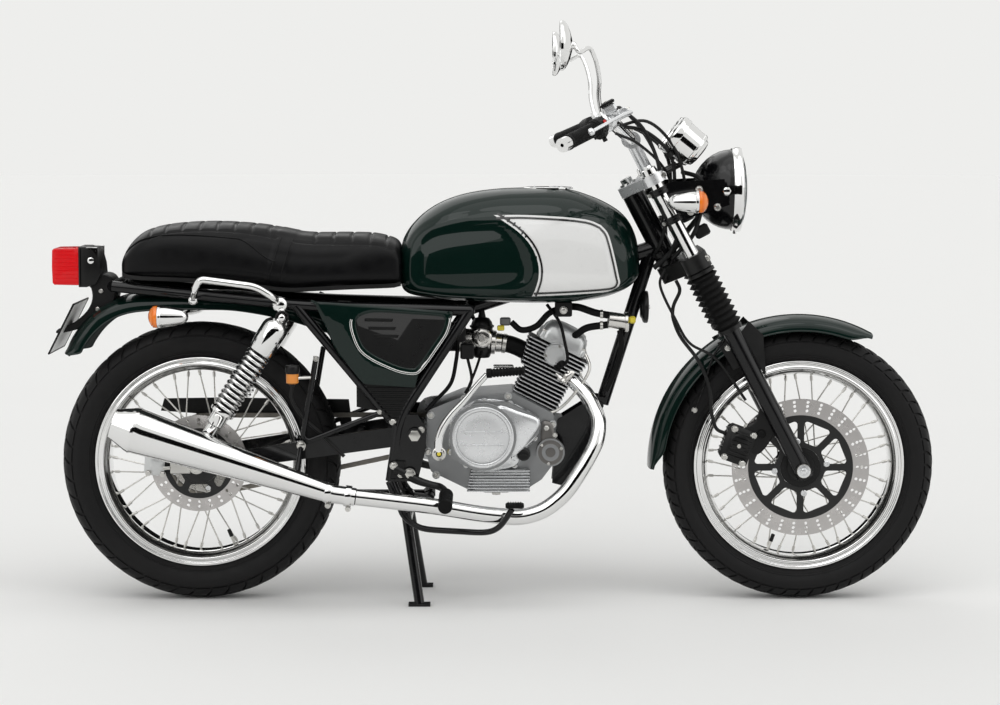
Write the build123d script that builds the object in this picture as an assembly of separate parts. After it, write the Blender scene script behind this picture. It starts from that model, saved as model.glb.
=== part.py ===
from build123d import *
from math import sin, cos, tan, atan2, radians, pi
import os

# Cafe racer motorcycle of the 125 class. X points forward, Y to the rider's left, Z up, in millimetres.
# The origin lies on the ground below the middle of the overall length.

# Driving dimensions: wheels and steering
rear_axle_x = -653
wheelbase = 1330
rear_tyre_radius = 310
front_tyre_radius = 301
rear_tyre_width = 112
front_tyre_width = 98
bead_radius = 218
rim_flange_radius = 234
rim_well_radius = 203
rake_degrees = 27.5
fork_offset = 50
fork_half_spacing = 92
axle_radius = 8

# Driving dimensions: body line
tank_rear_x = -207
tank_length = 530
tank_bottom_z = 665
tank_height = 253
tank_half_width = 130
seat_rear_x = -828
seat_lap = 24
seat_bottom_z = 700
seat_height = 142
rail_half_spacing = 112
tube_radius = 12

# Driving dimensions: engine and exhaust
engine_half_width = 92
cylinder_tilt_degrees = 26.5
exhaust_radius = 17.5
muffler_side = 195

# Running and seating clearances
run_fit = 0.05
seat_gap = 0.3
overrun = 5

front_axle_x = rear_axle_x + wheelbase
rake = radians(rake_degrees)
steer_up = Vector(-sin(rake), 0, cos(rake))
steer_ahead = Vector(cos(rake), 0, sin(rake))
front_axle = Vector(front_axle_x, 0, front_tyre_radius)
rear_axle = Vector(rear_axle_x, 0, rear_tyre_radius)
seat_front_x = tank_rear_x + seat_lap
seat_length = seat_front_x - seat_rear_x
side = Vector(0, 1, 0)
forward = Vector(1, 0, 0)
upward = Vector(0, 0, 1)

nodes = {}


def fork_at(up, ahead, left):
    """Point in the fork's own frame: up the legs, ahead of them, to the left."""
    return front_axle + steer_up * up + steer_ahead * ahead + side * left


def polar(radius, angle):
    """Arm in a wheel's plane, measured from straight ahead towards straight up."""
    return forward * (radius * cos(angle)) + upward * (radius * sin(angle))


def outline(corner, length, height, shares):
    """Points in X and Z at shares of a length and a height from one corner."""
    return [(corner[0] + length * along, corner[1] + height * up) for along, up in shares]


def route(start, reach, shares):
    """Points at shares of a reach along X, Y and Z from one start."""
    start, reach = Vector(start), Vector(reach)
    return [start + Vector(reach.X * a, reach.Y * b, reach.Z * c) for a, b, c in shares]


def rod(start, end, radius, bore=0):
    """Round bar between two points, or a tube when it has a bore."""
    start = Vector(start)
    line = Vector(end) - start
    body = Solid.make_cylinder(radius, line.length, Plane(origin=start, z_dir=line))
    if bore:
        reach = line.normalized() * overrun
        body = body - Solid.make_cylinder(bore, line.length + 2 * overrun, Plane(origin=start - reach, z_dir=line))
    return body


def cone(start, end, start_radius, end_radius):
    """Round bar whose radius changes evenly from one end to the other."""
    start = Vector(start)
    line = Vector(end) - start
    return Solid.make_cone(start_radius, end_radius, line.length, Plane(origin=start, z_dir=line))


def ball(centre, radius):
    return Pos(*Vector(centre)) * Sphere(radius)


def bend_radii(points, share=0.45):
    """Arc radii that use the given share of the shorter run beside each corner."""
    radii = []
    for before, corner, after in zip(points, points[1:], points[2:]):
        run_in = corner - before
        run_out = after - corner
        turn = radians(run_in.get_angle(run_out))
        radii.append(share * min(run_in.length, run_out.length) / tan(turn / 2))
    return radii


def bent_tube(points, radius, bore=0, share=0.45):
    """Tube along straight runs joined by tangent arcs."""
    points = [Vector(p) for p in points]
    if len(points) == 2:
        return rod(points[0], points[1], radius, bore)
    path = FilletPolyline(*points, radius=bend_radii(points, share))
    start = Plane(origin=path @ 0, z_dir=path % 0)
    body = sweep(start * Circle(radius), path=path)
    if bore:
        body = body - sweep(start * Circle(bore), path=path)
    return body


def slab(outline, from_y, to_y, corner=0):
    """Flat plate with an outline in X and Z, between two places across the machine."""
    points = [Vector(x, from_y, z) for x, z in outline]
    if corner:
        edge = FilletPolyline(*points, radius=corner, close=True)
    else:
        edge = Polyline(*points, close=True)
    return extrude(make_face(edge), amount=to_y - from_y, dir=(0, 1, 0))


def spin(section, centre, sweep_degrees=360):
    """Turned body about a crosswise axle; the section lists places across and radii."""
    points = [centre + side * across + upward * radius for across, radius in section]
    face = make_face(Polyline(*points, close=True))
    return revolve(face, axis=Axis(centre, (0, 1, 0)), revolution_arc=sweep_degrees)


def mirrored(body):
    return mirror(body, about=Plane.XZ)


def pair(body):
    """A piece and its like on the other side."""
    return [body, mirrored(body)]


def put(name, *bodies):
    """Store one node; several bodies in it don't touch one another."""
    solids = []
    for body in bodies:
        for item in body if isinstance(body, (list, tuple)) else [body]:
            solids.extend(item.solids())
    nodes[name] = solids[0] if len(solids) == 1 else Compound(children=solids)


def join(*bodies):
    """One solid from touching bodies."""
    flat = []
    for body in bodies:
        flat.extend(body if isinstance(body, (list, tuple)) else [body])
    total = flat[0]
    for body in flat[1:]:
        total = total + body
    return total


def trim(body, *cutters):
    """The body less what crosses it, without the loose ends that the cuts leave."""
    for cutter in cutters:
        body = body - cutter
    return max(body.solids(), key=lambda solid: solid.volume)


# Wheels
spoke_pairs = 9
spoke_radius = 1.6
nipple_radius = 3.2
nipple_length = 14
hub_flange_radius = 44
hub_flange_width = 5
hub_barrel_radius = 27
hub_end_radius = 17
spoke_lead_degrees = 62
disc_thickness = 4
disc_side = 62
tyre_shoulder_share = 0.80
tyre_bulge_share = 0.48
front_rim_half = 36
rear_rim_half = 43


def tyre(centre, outer, width, rim_half):
    """Tyre ring seated on the bead seats between the rim's flanges."""
    half = width / 2
    rise = outer - rim_flange_radius
    bulge_radius = rim_flange_radius + rise * tyre_bulge_share
    shoulder_radius = rim_flange_radius + rise * tyre_shoulder_share
    shoulder_half = half * tyre_shoulder_share
    bead_half = rim_half - rim_wall - seat_gap
    foot = bead_radius + seat_gap

    def spot(across, radius):
        return centre + side * across + upward * radius

    edges = [
        Line(spot(-bead_half, foot), spot(bead_half, foot)),
        Line(spot(bead_half, foot), spot(bead_half, rim_flange_radius + seat_gap)),
        ThreePointArc(spot(bead_half, rim_flange_radius + seat_gap), spot(half, bulge_radius),
                      spot(shoulder_half, shoulder_radius)),
        ThreePointArc(spot(shoulder_half, shoulder_radius), spot(0, outer), spot(-shoulder_half, shoulder_radius)),
        ThreePointArc(spot(-shoulder_half, shoulder_radius), spot(-half, bulge_radius),
                      spot(-bead_half, rim_flange_radius + seat_gap)),
        Line(spot(-bead_half, rim_flange_radius + seat_gap), spot(-bead_half, foot)),
    ]
    return revolve(make_face(edges), axis=Axis(centre, (0, 1, 0)))


rim_wall = 4
rim_well_half_share = 0.45
rim_bead_depth = 5


def rim(centre, half):
    """Steel rim with flanges, bead seats and a dropped well."""
    well = half * rim_well_half_share
    section = [
        (-half, rim_flange_radius), (-half + rim_wall, rim_flange_radius), (-half + rim_wall, bead_radius),
        (-well, bead_radius - rim_bead_depth), (well, bead_radius - rim_bead_depth),
        (half - rim_wall, bead_radius), (half - rim_wall, rim_flange_radius), (half, rim_flange_radius),
        (half, bead_radius - rim_wall), (well, rim_well_radius), (-well, rim_well_radius),
        (-half, bead_radius - rim_wall),
    ]
    return spin(section, centre)


def laced_hub(centre, flange_side, end_side):
    """Hub with two flanges and crossing spokes that end at the rim well."""
    half_flange = hub_flange_width / 2
    bore = axle_radius + run_fit
    section = [(-end_side, bore), (-end_side, hub_end_radius), (-flange_side - half_flange, hub_barrel_radius)]
    for place in (-flange_side, flange_side):
        section += [(place - half_flange, hub_barrel_radius), (place - half_flange, hub_flange_radius),
                    (place + half_flange, hub_flange_radius), (place + half_flange, hub_barrel_radius)]
    section += [(end_side, hub_end_radius), (end_side, bore)]
    body = spin(list(dict.fromkeys(section)), centre)
    root = hub_flange_radius - hub_flange_width
    tip = rim_well_radius - seat_gap
    bars = []
    count = 2 * spoke_pairs
    for turn in range(count):
        for flange in (-1, 1):
            lead = spoke_lead_degrees if turn % 2 else -spoke_lead_degrees
            hub_angle = radians(360 / count * (turn + (flange > 0) / 2))
            rim_angle = hub_angle + radians(lead)
            rim_side = flange * flange_side / hub_flange_width
            start = centre + polar(root, hub_angle) + side * (flange * flange_side)
            end = centre + polar(tip, rim_angle) + side * rim_side
            run = (end - start).normalized()
            bars.append(rod(start, end - run * seat_gap, spoke_radius))
            bars.append(rod(end - run * nipple_length, end - run * nipple_radius, nipple_radius))
    return body, bars


def drilled_disc(centre, place, outer, inner, carrier_inner, window_count, hole_rings):
    """Brake disc: a drilled ring, and the windowed carrier that bolts it to the hub."""
    at = centre + side * place
    half = side * (disc_thickness / 2)
    ring = rod(at - half, at + half, outer, inner)
    holes = []
    for row_share, count in hole_rings:
        for turn in range(count):
            spot = at + polar(outer * row_share, 2 * pi * turn / count)
            holes.append(rod(spot - side * disc_thickness, spot + side * disc_thickness, disc_hole_radius))
    carrier = rod(at - half, at + half, inner, carrier_inner)
    disc_land = (inner - carrier_inner) * disc_land_share
    window_low = carrier_inner + disc_land
    window_high = inner - disc_land
    windows = []
    for turn in range(window_count):
        middle = 2 * pi * (turn + window_turn_share) / window_count
        corners = []
        for radius, way in ((window_low, -1), (window_high, -1), (window_high, 1), (window_low, 1)):
            spread = way * (pi / window_count - disc_spoke_width / 2 / radius)
            corners.append(centre + side * (place - disc_thickness) + polar(radius, middle + spread))
        edge = FilletPolyline(*corners, radius=window_corner, close=True)
        windows.append(extrude(make_face(edge), amount=2 * disc_thickness, dir=(0, 1, 0)))
    return ring - holes, carrier - windows


disc_hole_radius = 3.5
disc_land_share = 0.155
disc_spoke_width = 15
window_corner = 7
window_turn_share = 0.5
front_disc_radius = 152
front_disc_inner = 116
rear_disc_radius = 107
rear_disc_inner = 78
disc_seat = 1
disc_carrier_inner = hub_flange_radius + disc_seat
front_hub_flange = 30
rear_hub_flange = 33
front_hub_end = 66
rear_hub_end = 75
sprocket_radius = 84
sprocket_side = 70
sprocket_thickness = 6
# Rows of holes: radius as a share of the disc's, and count
front_hole_shares = ((0.829, 30), (0.895, 30), (0.954, 30))
rear_hole_shares = ((0.804, 24), (0.907, 24))

for name, centre, radius, width, rim_half, flange, end_side in (
    ("front", front_axle, front_tyre_radius, front_tyre_width, front_rim_half, front_hub_flange, front_hub_end),
    ("rear", rear_axle, rear_tyre_radius, rear_tyre_width, rear_rim_half, rear_hub_flange, rear_hub_end),
):
    put(name + "_tyre", tyre(centre, radius, width, rim_half))
    put(name + "_rim", rim(centre, rim_half))
    hub, spokes = laced_hub(centre, flange, end_side)
    boss = rod(centre - side * flange, centre - side * (disc_side + disc_thickness / 2),
               disc_carrier_inner - seat_gap, axle_radius + run_fit)
    bosses = [boss]
    if name == "rear":
        bosses.append(rod(centre + side * flange, centre + side * (sprocket_side + sprocket_thickness / 2),
                          disc_carrier_inner - seat_gap, axle_radius + run_fit))
        sprocket_low = centre + side * (sprocket_side - sprocket_thickness / 2)
        bosses.append(rod(sprocket_low, sprocket_low + side * sprocket_thickness, sprocket_radius, axle_radius + run_fit))
    put(name + "_hub", join(hub, bosses).fuse(*spokes))

front_ring, front_carrier = drilled_disc(front_axle, -disc_side, front_disc_radius, front_disc_inner,
                                         disc_carrier_inner, 8, front_hole_shares)
rear_ring, rear_carrier = drilled_disc(rear_axle, -disc_side, rear_disc_radius, rear_disc_inner,
                                       disc_carrier_inner, 6, rear_hole_shares)
put("front_disc", join(front_ring, front_carrier))
put("rear_disc", join(rear_ring, rear_carrier))

# Fork
slider_radius = 19.5
slider_length = 345
slider_foot = 20
gaiter_radius = 30
gaiter_waist_radius = 26
gaiter_length = 149
gaiter_folds = 9
yoke_foot = 495
lower_yoke_height = 35
lower_yoke_reach = 30
upper_yoke_foot = 706
upper_yoke_height = 22
upper_yoke_reach = 26
stanchion_radius = 15.5
leg_top = 742
stem_radius = 13
yoke_tail_share = 0.5
head_tube_radius = 25
head_tube_gap = 2
spacer_radius = 13
side_play = 0.5
axle_nut_radius = 15
axle_nut_height = 14
axle_boss_radius = 17
yoke_bore = stanchion_radius + run_fit


def yoke(foot, height, reach):
    """Yoke that holds both legs and the steering stem."""
    low = fork_at(foot, 0, 0)
    profile = [
        low + steer_ahead * reach + side * (fork_half_spacing - reach),
        low + steer_ahead * reach - side * (fork_half_spacing - reach),
        low - side * (fork_half_spacing + reach / 2),
        low - steer_ahead * (fork_offset + reach) - side * (reach * yoke_tail_share),
        low - steer_ahead * (fork_offset + reach) + side * (reach * yoke_tail_share),
        low + side * (fork_half_spacing + reach / 2),
    ]
    body = extrude(make_face(Polyline(*profile, close=True)), amount=height, dir=steer_up)
    for left in (-fork_half_spacing, fork_half_spacing):
        body = body + rod(fork_at(foot, 0, left), fork_at(foot + height, 0, left), reach)
        body = body - rod(fork_at(foot - overrun, 0, left), fork_at(foot + height + overrun, 0, left), yoke_bore)
    return body


def fork_leg(left):
    """Slider with its axle boss, the stanchion, and the bellows between them."""
    slider = rod(fork_at(-slider_foot, 0, left), fork_at(slider_length, 0, left), slider_radius)
    inner = fork_half_spacing - slider_radius
    outer = fork_half_spacing + slider_radius
    way = 1 if left > 0 else -1
    boss = rod(fork_at(0, 0, way * inner), fork_at(0, 0, way * outer), axle_boss_radius)
    bore = rod(fork_at(0, 0, way * (inner - overrun)), fork_at(0, 0, way * (outer + overrun)), axle_radius + run_fit)
    stanchion = rod(fork_at(slider_length + seat_gap, 0, left), fork_at(leg_top, 0, left), stanchion_radius)
    foot = slider_length + seat_gap
    pleat = gaiter_length / gaiter_folds
    outline = [(foot, stanchion_radius + run_fit)]
    for fold in range(gaiter_folds):
        outline.append((foot + pleat * fold, gaiter_waist_radius))
        outline.append((foot + pleat * (fold + 0.5), gaiter_radius))
    outline.append((foot + gaiter_length, gaiter_waist_radius))
    outline.append((foot + gaiter_length, stanchion_radius + run_fit))
    points = [fork_at(up, out, left) for up, out in outline]
    gaiter = revolve(make_face(Polyline(*points, close=True)), axis=Axis(fork_at(0, 0, left), steer_up))
    return join(slider, boss) - bore, stanchion, gaiter


right_leg = fork_leg(-fork_half_spacing)
left_leg = fork_leg(fork_half_spacing)
put("fork_sliders", right_leg[0], left_leg[0])
put("fork_stanchions", right_leg[1], left_leg[1])
put("fork_gaiters", right_leg[2], left_leg[2])
stem = rod(fork_at(yoke_foot, -fork_offset, 0), fork_at(leg_top, -fork_offset, 0), stem_radius)
put("lower_yoke", join(yoke(yoke_foot, lower_yoke_height, lower_yoke_reach), stem))
stem_bore = rod(fork_at(yoke_foot, -fork_offset, 0), fork_at(leg_top + overrun, -fork_offset, 0),
                stem_radius + run_fit)
upper_yoke = yoke(upper_yoke_foot, upper_yoke_height, upper_yoke_reach) - stem_bore


def axle(centre, hub_end, seat, nut_from):
    """Axle with its spacers, and a nut at each end."""
    reach = nut_from + axle_nut_height
    body = rod(centre - side * reach, centre + side * reach, axle_radius)
    for way in (-1, 1):
        body = body + rod(centre + side * (way * (hub_end + side_play)), centre + side * (way * seat), spacer_radius)
        body = body + rod(centre + side * (way * nut_from), centre + side * (way * reach), axle_nut_radius)
    return body


put("front_axle", axle(front_axle, front_hub_end, fork_half_spacing - slider_radius - run_fit,
                       fork_half_spacing + slider_radius + run_fit))

# Front mudguard
guard_radius = 335
guard_edge_radius = 302
guard_half_width = 62
guard_wall = 2.5
guard_front_degrees = 28.5
guard_rear_degrees = 91
guard_lug_radius = 9
guard_lug_up = 312
guard_lug_bite = 4
guard_lug_share = 0.5


def guard_shell(centre, crown, edge, half_width, wall, rear_degrees, front_degrees):
    """Curved guard over a tyre, from rear_degrees behind the top to front_degrees ahead of it."""
    def spot(across, radius):
        return centre + side * across + upward * radius

    outer = ThreePointArc(spot(-half_width, edge), spot(0, crown), spot(half_width, edge))
    inner = ThreePointArc(spot(half_width, edge - wall), spot(0, crown - wall), spot(-half_width, edge - wall))
    face = make_face([outer, Line(outer @ 1, inner @ 0), inner, Line(inner @ 1, outer @ 0)])
    body = revolve(face, axis=Axis(centre, (0, 1, 0)), revolution_arc=rear_degrees + front_degrees)
    return body.rotate(Axis(centre, (0, 1, 0)), -rear_degrees)


front_guard = guard_shell(front_axle, guard_radius, guard_edge_radius, guard_half_width, guard_wall,
                          guard_rear_degrees, guard_front_degrees)
slider_inner = fork_half_spacing - slider_radius
guard_lug = rod(fork_at(guard_lug_up, 0, guard_half_width * guard_lug_share),
                fork_at(guard_lug_up, 0, slider_inner + guard_lug_bite), guard_lug_radius)
put("front_guard", join(front_guard, pair(guard_lug)) - [right_leg[0], left_leg[0]])

# Headlamp
lamp_up = 605
lamp_ahead = 162
lamp_radius = 88
lamp_ring_radius = 93
lamp_ring_depth = 18
lamp_bowl_depth = 86.5
lamp_glass_depth = 16
lamp_wall = 3
lamp_centre = fork_at(lamp_up, lamp_ahead, 0)


def turned(section, origin, direction):
    """Turned body from places along a direction and radii around it."""
    direction = Vector(direction).normalized()
    across = side if abs(direction.Y) < 0.5 else upward
    points = [origin + direction * along + across * radius for along, radius in section]
    return revolve(make_face(Polyline(*points, close=True)), axis=Axis(origin, direction))


def dome(origin, direction, radius, height):
    """Spherical cap that rises by its height from a flat disc."""
    direction = Vector(direction).normalized()
    across = side if abs(direction.Y) < 0.5 else upward
    curve = (radius * radius + height * height) / (2 * height)
    middle_rise = (curve * curve - radius * radius / 4) ** 0.5 - (curve - height)
    arc = ThreePointArc(origin + across * radius, origin + across * (radius / 2) + direction * middle_rise,
                        origin + direction * height)
    face = make_face([arc, Line(arc @ 1, origin), Line(origin, arc @ 0)])
    return revolve(face, axis=Axis(origin, direction))


def bowl(origin, direction, radius, depth, wall):
    """Rounded shell, open at the disc it rises from."""
    return dome(origin, direction, radius, depth) - dome(origin, direction, radius - wall, depth - wall)


ring_back = lamp_centre - forward * lamp_ring_depth
put("headlamp_bowl", join(bowl(ring_back, -forward, lamp_radius, lamp_bowl_depth, lamp_wall),
                          rod(ring_back, lamp_centre, lamp_ring_radius, lamp_radius - lamp_wall)))
put("headlamp_glass", dome(lamp_centre, forward, lamp_radius, lamp_glass_depth))

# Headlamp brackets: plates from clamps on the stanchions to the bowl's sides
bracket_side = 99
bracket_thickness = 4
bracket_shoulder = 30
bracket_clamp_radius = 21
bracket_clamp_height = 16
bracket_pin_radius = 10
bracket_pin_bite = 1
bracket_pin_share = 0.93
# Clamps' feet between the yokes, and the plate's front corners below and above, ahead of the lamp's centre
bracket_clamp_shares = (0.466, 0.852)
bracket_front_shares = ((-0.148, -0.455), (0.477, -0.284))
clamp_span_foot = yoke_foot + lower_yoke_height
clamp_low, clamp_high = [clamp_span_foot + (upper_yoke_foot - clamp_span_foot) * share
                         for share in bracket_clamp_shares]
clamp_top = clamp_high + bracket_clamp_height
bracket_corners = [(clamp_low, 0)]
bracket_corners += [(lamp_up + lamp_radius * up, lamp_ahead + lamp_radius * ahead) for up, ahead in bracket_front_shares]
bracket_corners += [(clamp_top, bracket_shoulder), (clamp_top, 0)]
bracket_points = [fork_at(up, ahead, bracket_side) for up, ahead in bracket_corners]
bracket = extrude(make_face(Polyline(*bracket_points, close=True)), amount=bracket_thickness, dir=(0, 1, 0))
for up in (clamp_low, clamp_high):
    bracket = bracket + rod(fork_at(up, 0, fork_half_spacing), fork_at(up + bracket_clamp_height, 0, fork_half_spacing),
                            bracket_clamp_radius)
lamp_pin = lamp_centre - forward * (lamp_ring_depth * 2)
bracket = bracket + rod(lamp_pin + side * (lamp_radius * bracket_pin_share),
                        lamp_pin + side * (bracket_side + bracket_pin_bite), bracket_pin_radius)
bracket = bracket - rod(fork_at(slider_length, 0, fork_half_spacing), fork_at(leg_top + overrun, 0, fork_half_spacing),
                        yoke_bore)
bracket = bracket - dome(ring_back, -forward, lamp_radius + run_fit, lamp_bowl_depth + run_fit)
put("headlamp_brackets", pair(bracket))

# Indicators: the front pair stands on the headlamp's bracket plates
indicator_side = 150
indicator_radius = 25
indicator_body_length = 57
indicator_lens_length = 21
indicator_lens_margin = 1
indicator_tail_share = 0.62
indicator_nose_share = 0.4
indicator_place_share = 0.282
stalk_radius = 6
stalk_share = 0.5


def indicator(joint, way):
    """Bullet housing and lens that point along the machine; the joint is the lens's seat."""
    back = joint - forward * (way * indicator_body_length)
    tail_radius = indicator_radius * indicator_tail_share
    housing = join(cone(back, joint, tail_radius, indicator_radius),
                   dome(back, -forward * way, tail_radius, indicator_radius * indicator_nose_share))
    lens = dome(joint, forward * way, indicator_radius - indicator_lens_margin, indicator_lens_length)
    return housing, Pos(way * seat_gap, 0, 0) * lens


plate_middle = fork_at((clamp_low + clamp_top) / 2, 0, 0)
stalk_spot = plate_middle + (lamp_pin - plate_middle) * indicator_place_share
stalk_root = stalk_spot + side * indicator_side
front_joint = stalk_root + forward * (indicator_body_length * stalk_share)
front_housing, front_lens = indicator(front_joint, 1)
stalk = rod(stalk_spot + side * (bracket_side + bracket_thickness), stalk_root, stalk_radius)
put("front_indicators", pair(join(front_housing, stalk)), pair(front_lens))

# Instruments
dial_up = 752
dial_ahead = 102
dial_side = 50
dial_radius = 44
dial_depth = 77
dial_tilt_degrees = 51
dial_arm_radius = 6
dial_face_depth = 5
dial_arm_bite = 10
dial_normal = Vector(-sin(radians(dial_tilt_degrees)), 0, cos(radians(dial_tilt_degrees)))
dial_centre = fork_at(dial_up, dial_ahead, dial_side)
dial_low = dial_centre - dial_normal * (dial_depth / 2)
dial_high = dial_centre + dial_normal * (dial_depth / 2)
can = rod(dial_low, dial_high, dial_radius)
can = can - rod(dial_high - dial_normal * dial_face_depth, dial_high + dial_normal * overrun,
                dial_radius - dial_face_depth)
yoke_front = fork_at(upper_yoke_foot + upper_yoke_height / 2, upper_yoke_reach, dial_side)
dial_arm_length = dial_ahead - dial_radius - upper_yoke_reach + dial_arm_bite
dial_arm = rod(yoke_front, yoke_front + steer_ahead * dial_arm_length, dial_arm_radius)
put("instruments", pair(join(can, dial_arm)))

# Handlebar on its risers, with grips and end weights
bar_radius = 11
bar_rise = 67
bar_pullback = 135
bar_half_width = 350
riser_height = 85
riser_side = 30
riser_radius = 13
clamp_radius = 19
clamp_width = 30
grip_radius = 16
grip_length = 118
bar_end_radius = 15
bar_end_length = 20
bar_end_bore = 4
bar_end_bore_depth = 30
switch_radius = 20
switch_length = 24
bar_bend_share = 0.12
# Handlebar's corners: up, ahead and left as shares of its rise, pullback and half width
bar_route_shares = (
    (1, -1, 1), (0.9403, -0.3556, 0.6429), (0.8209, -0.1481, 0.4714), (0, 0, 0.1714),
)
bar_up = upper_yoke_foot + upper_yoke_height + riser_height


def at_bar(up, ahead, left):
    """Point beside the handlebar at shares of its rise, pullback and half width."""
    return fork_at(bar_up + bar_rise * up, bar_pullback * ahead, bar_half_width * left)


bar_points = [at_bar(*row) for row in bar_route_shares]
bar_points += [at_bar(up, ahead, -left) for up, ahead, left in reversed(bar_route_shares)]
bar = bent_tube(bar_points, bar_radius, share=bar_bend_share)
bar_tip = bar_points[0]
bar_inward = (bar_points[1] - bar_points[0]).normalized()
end_bore = rod(bar_tip - bar_inward * overrun, bar_tip + bar_inward * bar_end_bore_depth, bar_end_bore)
handlebar = bar - pair(end_bore)
clamp_centre = fork_at(bar_up, 0, riser_side)
riser = rod(fork_at(upper_yoke_foot + upper_yoke_height, 0, riser_side), clamp_centre, riser_radius)
clamp = rod(clamp_centre - side * (clamp_width / 2), clamp_centre + side * (clamp_width / 2), clamp_radius)
clamp_bore = rod(clamp_centre - side * clamp_width, clamp_centre + side * clamp_width, bar_radius + run_fit)
put("upper_yoke", join(upper_yoke, pair(join(riser, clamp) - clamp_bore)))
grip_bore = bar_radius + run_fit
grips = pair(rod(bar_tip, bar_tip + bar_inward * grip_length, grip_radius, grip_bore))
end_weight = rod(bar_tip - bar_inward * (bar_end_length + seat_gap), bar_tip - bar_inward * seat_gap,
                 bar_end_radius, bar_end_bore)
put("handlebar", handlebar, pair(end_weight))
switch_from = bar_tip + bar_inward * (grip_length + seat_gap)
switch = rod(switch_from, switch_from + bar_inward * switch_length, switch_radius, grip_bore)
put("grips_and_switches", grips, pair(switch))
bar_fat = bent_tube(bar_points, grip_bore, share=bar_bend_share)

# Levers on their perches, and the brake's master cylinder on the right
lever_radius = 6
lever_ball_radius = 9
perch_radius = 20
perch_width = 13
perch_arm_radius = 9
master_length = 44
master_depth = 34
master_height = 26
# Places beside the bar, in the bar's shares: up, ahead, left
lever_route_shares = (
    (0.8806, 0.0889, 0.56), (0.9104, 0, 0.7486), (0.9552, -0.5778, 1.0057),
)
perch_place_shares = (0.8955, -0.2667, 0.5614)
master_place_shares = (1.3433, -0.1778, -0.5657)
lever_points = [at_bar(*row) for row in lever_route_shares]
perch_at = at_bar(*perch_place_shares)
perch = rod(perch_at - side * (perch_width / 2), perch_at + side * (perch_width / 2), perch_radius)
perch = perch + rod(perch_at, lever_points[0], perch_arm_radius)
lever = join(bent_tube(lever_points, lever_radius), perch, ball(lever_points[-1], lever_ball_radius))
master_frame = Plane(origin=at_bar(*master_place_shares), x_dir=(0, 1, 0), z_dir=steer_up)
left_lever = lever - bar_fat
right_lever = join(mirrored(lever), master_frame * Box(master_length, master_depth, master_height)) - bar_fat
put("levers", left_lever, right_lever)

# Mirrors
mirror_radius = 51.5
mirror_depth = 20
mirror_rim = 6
mirror_wall = 2
mirror_glass_sink = 1
mirror_side = 350
mirror_rise = 249
mirror_back = 50
stem_wire_radius = 5
stem_seat_share = 0.7
stem_root_shares = (0.9104, -0.2963, 0.5971)
# Stem's corners: up, ahead and left as shares of the mirror's rise, setback and side
mirror_stem_shares = (
    (0.3655, -0.72, 0.6029), (0.6145, -0.24, 0.7486), (0.8795, -0.02, 0.8571),
)
mirror_centre = fork_at(bar_up + mirror_rise, -mirror_back, mirror_side)
mirror_shell = join(dome(mirror_centre, forward, mirror_radius, mirror_depth),
                    rod(mirror_centre - forward * mirror_rim, mirror_centre, mirror_radius, mirror_radius - mirror_wall))
stem_points = [at_bar(*stem_root_shares)]
stem_points += [fork_at(bar_up + mirror_rise * up, mirror_back * ahead, mirror_side * left)
                for up, ahead, left in mirror_stem_shares]
mirror_stem = bent_tube(stem_points + [mirror_centre + forward * (mirror_depth * stem_seat_share)], stem_wire_radius)
left_mirror = trim(join(mirror_shell, mirror_stem), bar_fat, switch)
mirror_glass = rod(mirror_centre - forward * (mirror_rim - mirror_glass_sink), mirror_centre - forward * seat_gap,
                   mirror_radius - mirror_wall - seat_gap)
put("mirrors", trim(left_mirror, left_lever), trim(mirrored(left_mirror), right_lever), pair(mirror_glass))

# Front brake caliper and its hose
caliper_turn_degrees = 160
caliper_reach = 148
caliper_depth = 68
caliper_height = 84
caliper_half_width = 23
caliper_arm_gap = 4
caliper_arm_thickness = 12
disc_clear = 6
# Arm's corners round the axle, as shares of the caliper's reach
caliper_arm_shares = (
    (-0.8919, 0.5338), (-0.75, 0.1959), (-0.4797, 0.3986), (-0.3176, 0.8041), (-0.4797, 1.0203),
    (-0.6014, 0.9797),
)
caliper_centre = front_axle + polar(caliper_reach, radians(caliper_turn_degrees)) - side * disc_side
caliper_frame = Plane(origin=caliper_centre, x_dir=polar(1, radians(caliper_turn_degrees)), z_dir=(0, 1, 0))
caliper_body = caliper_frame * Box(caliper_depth, caliper_height, 2 * caliper_half_width)
disc_room = rod(front_axle - side * (disc_side + disc_thickness / 2 + disc_clear),
                front_axle - side * (disc_side - disc_thickness / 2 - disc_clear), front_disc_radius + disc_clear)
caliper_arm_inner = disc_side + disc_clear + caliper_arm_gap
caliper_arm = slab(outline((front_axle.X, front_axle.Z), caliper_reach, caliper_reach, caliper_arm_shares),
                   -(caliper_arm_inner + caliper_arm_thickness), -caliper_arm_inner)
put("front_caliper", trim(join(caliper_body, caliper_arm), disc_room, right_leg[0]))
hose_radius = 4
hose_route = [(511.1, -70, 377.4), (489, -71, 385.4), (478, -74, 420), (474, -78, 480), (452, -79, 537),
              (404, -66, 596), (388, -56, 648), (411, -45, 692.7), (399.9, -45, 714)]
put("brake_hose", trim(bent_tube(hose_route, hose_radius), nodes["front_caliper"]))

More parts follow.
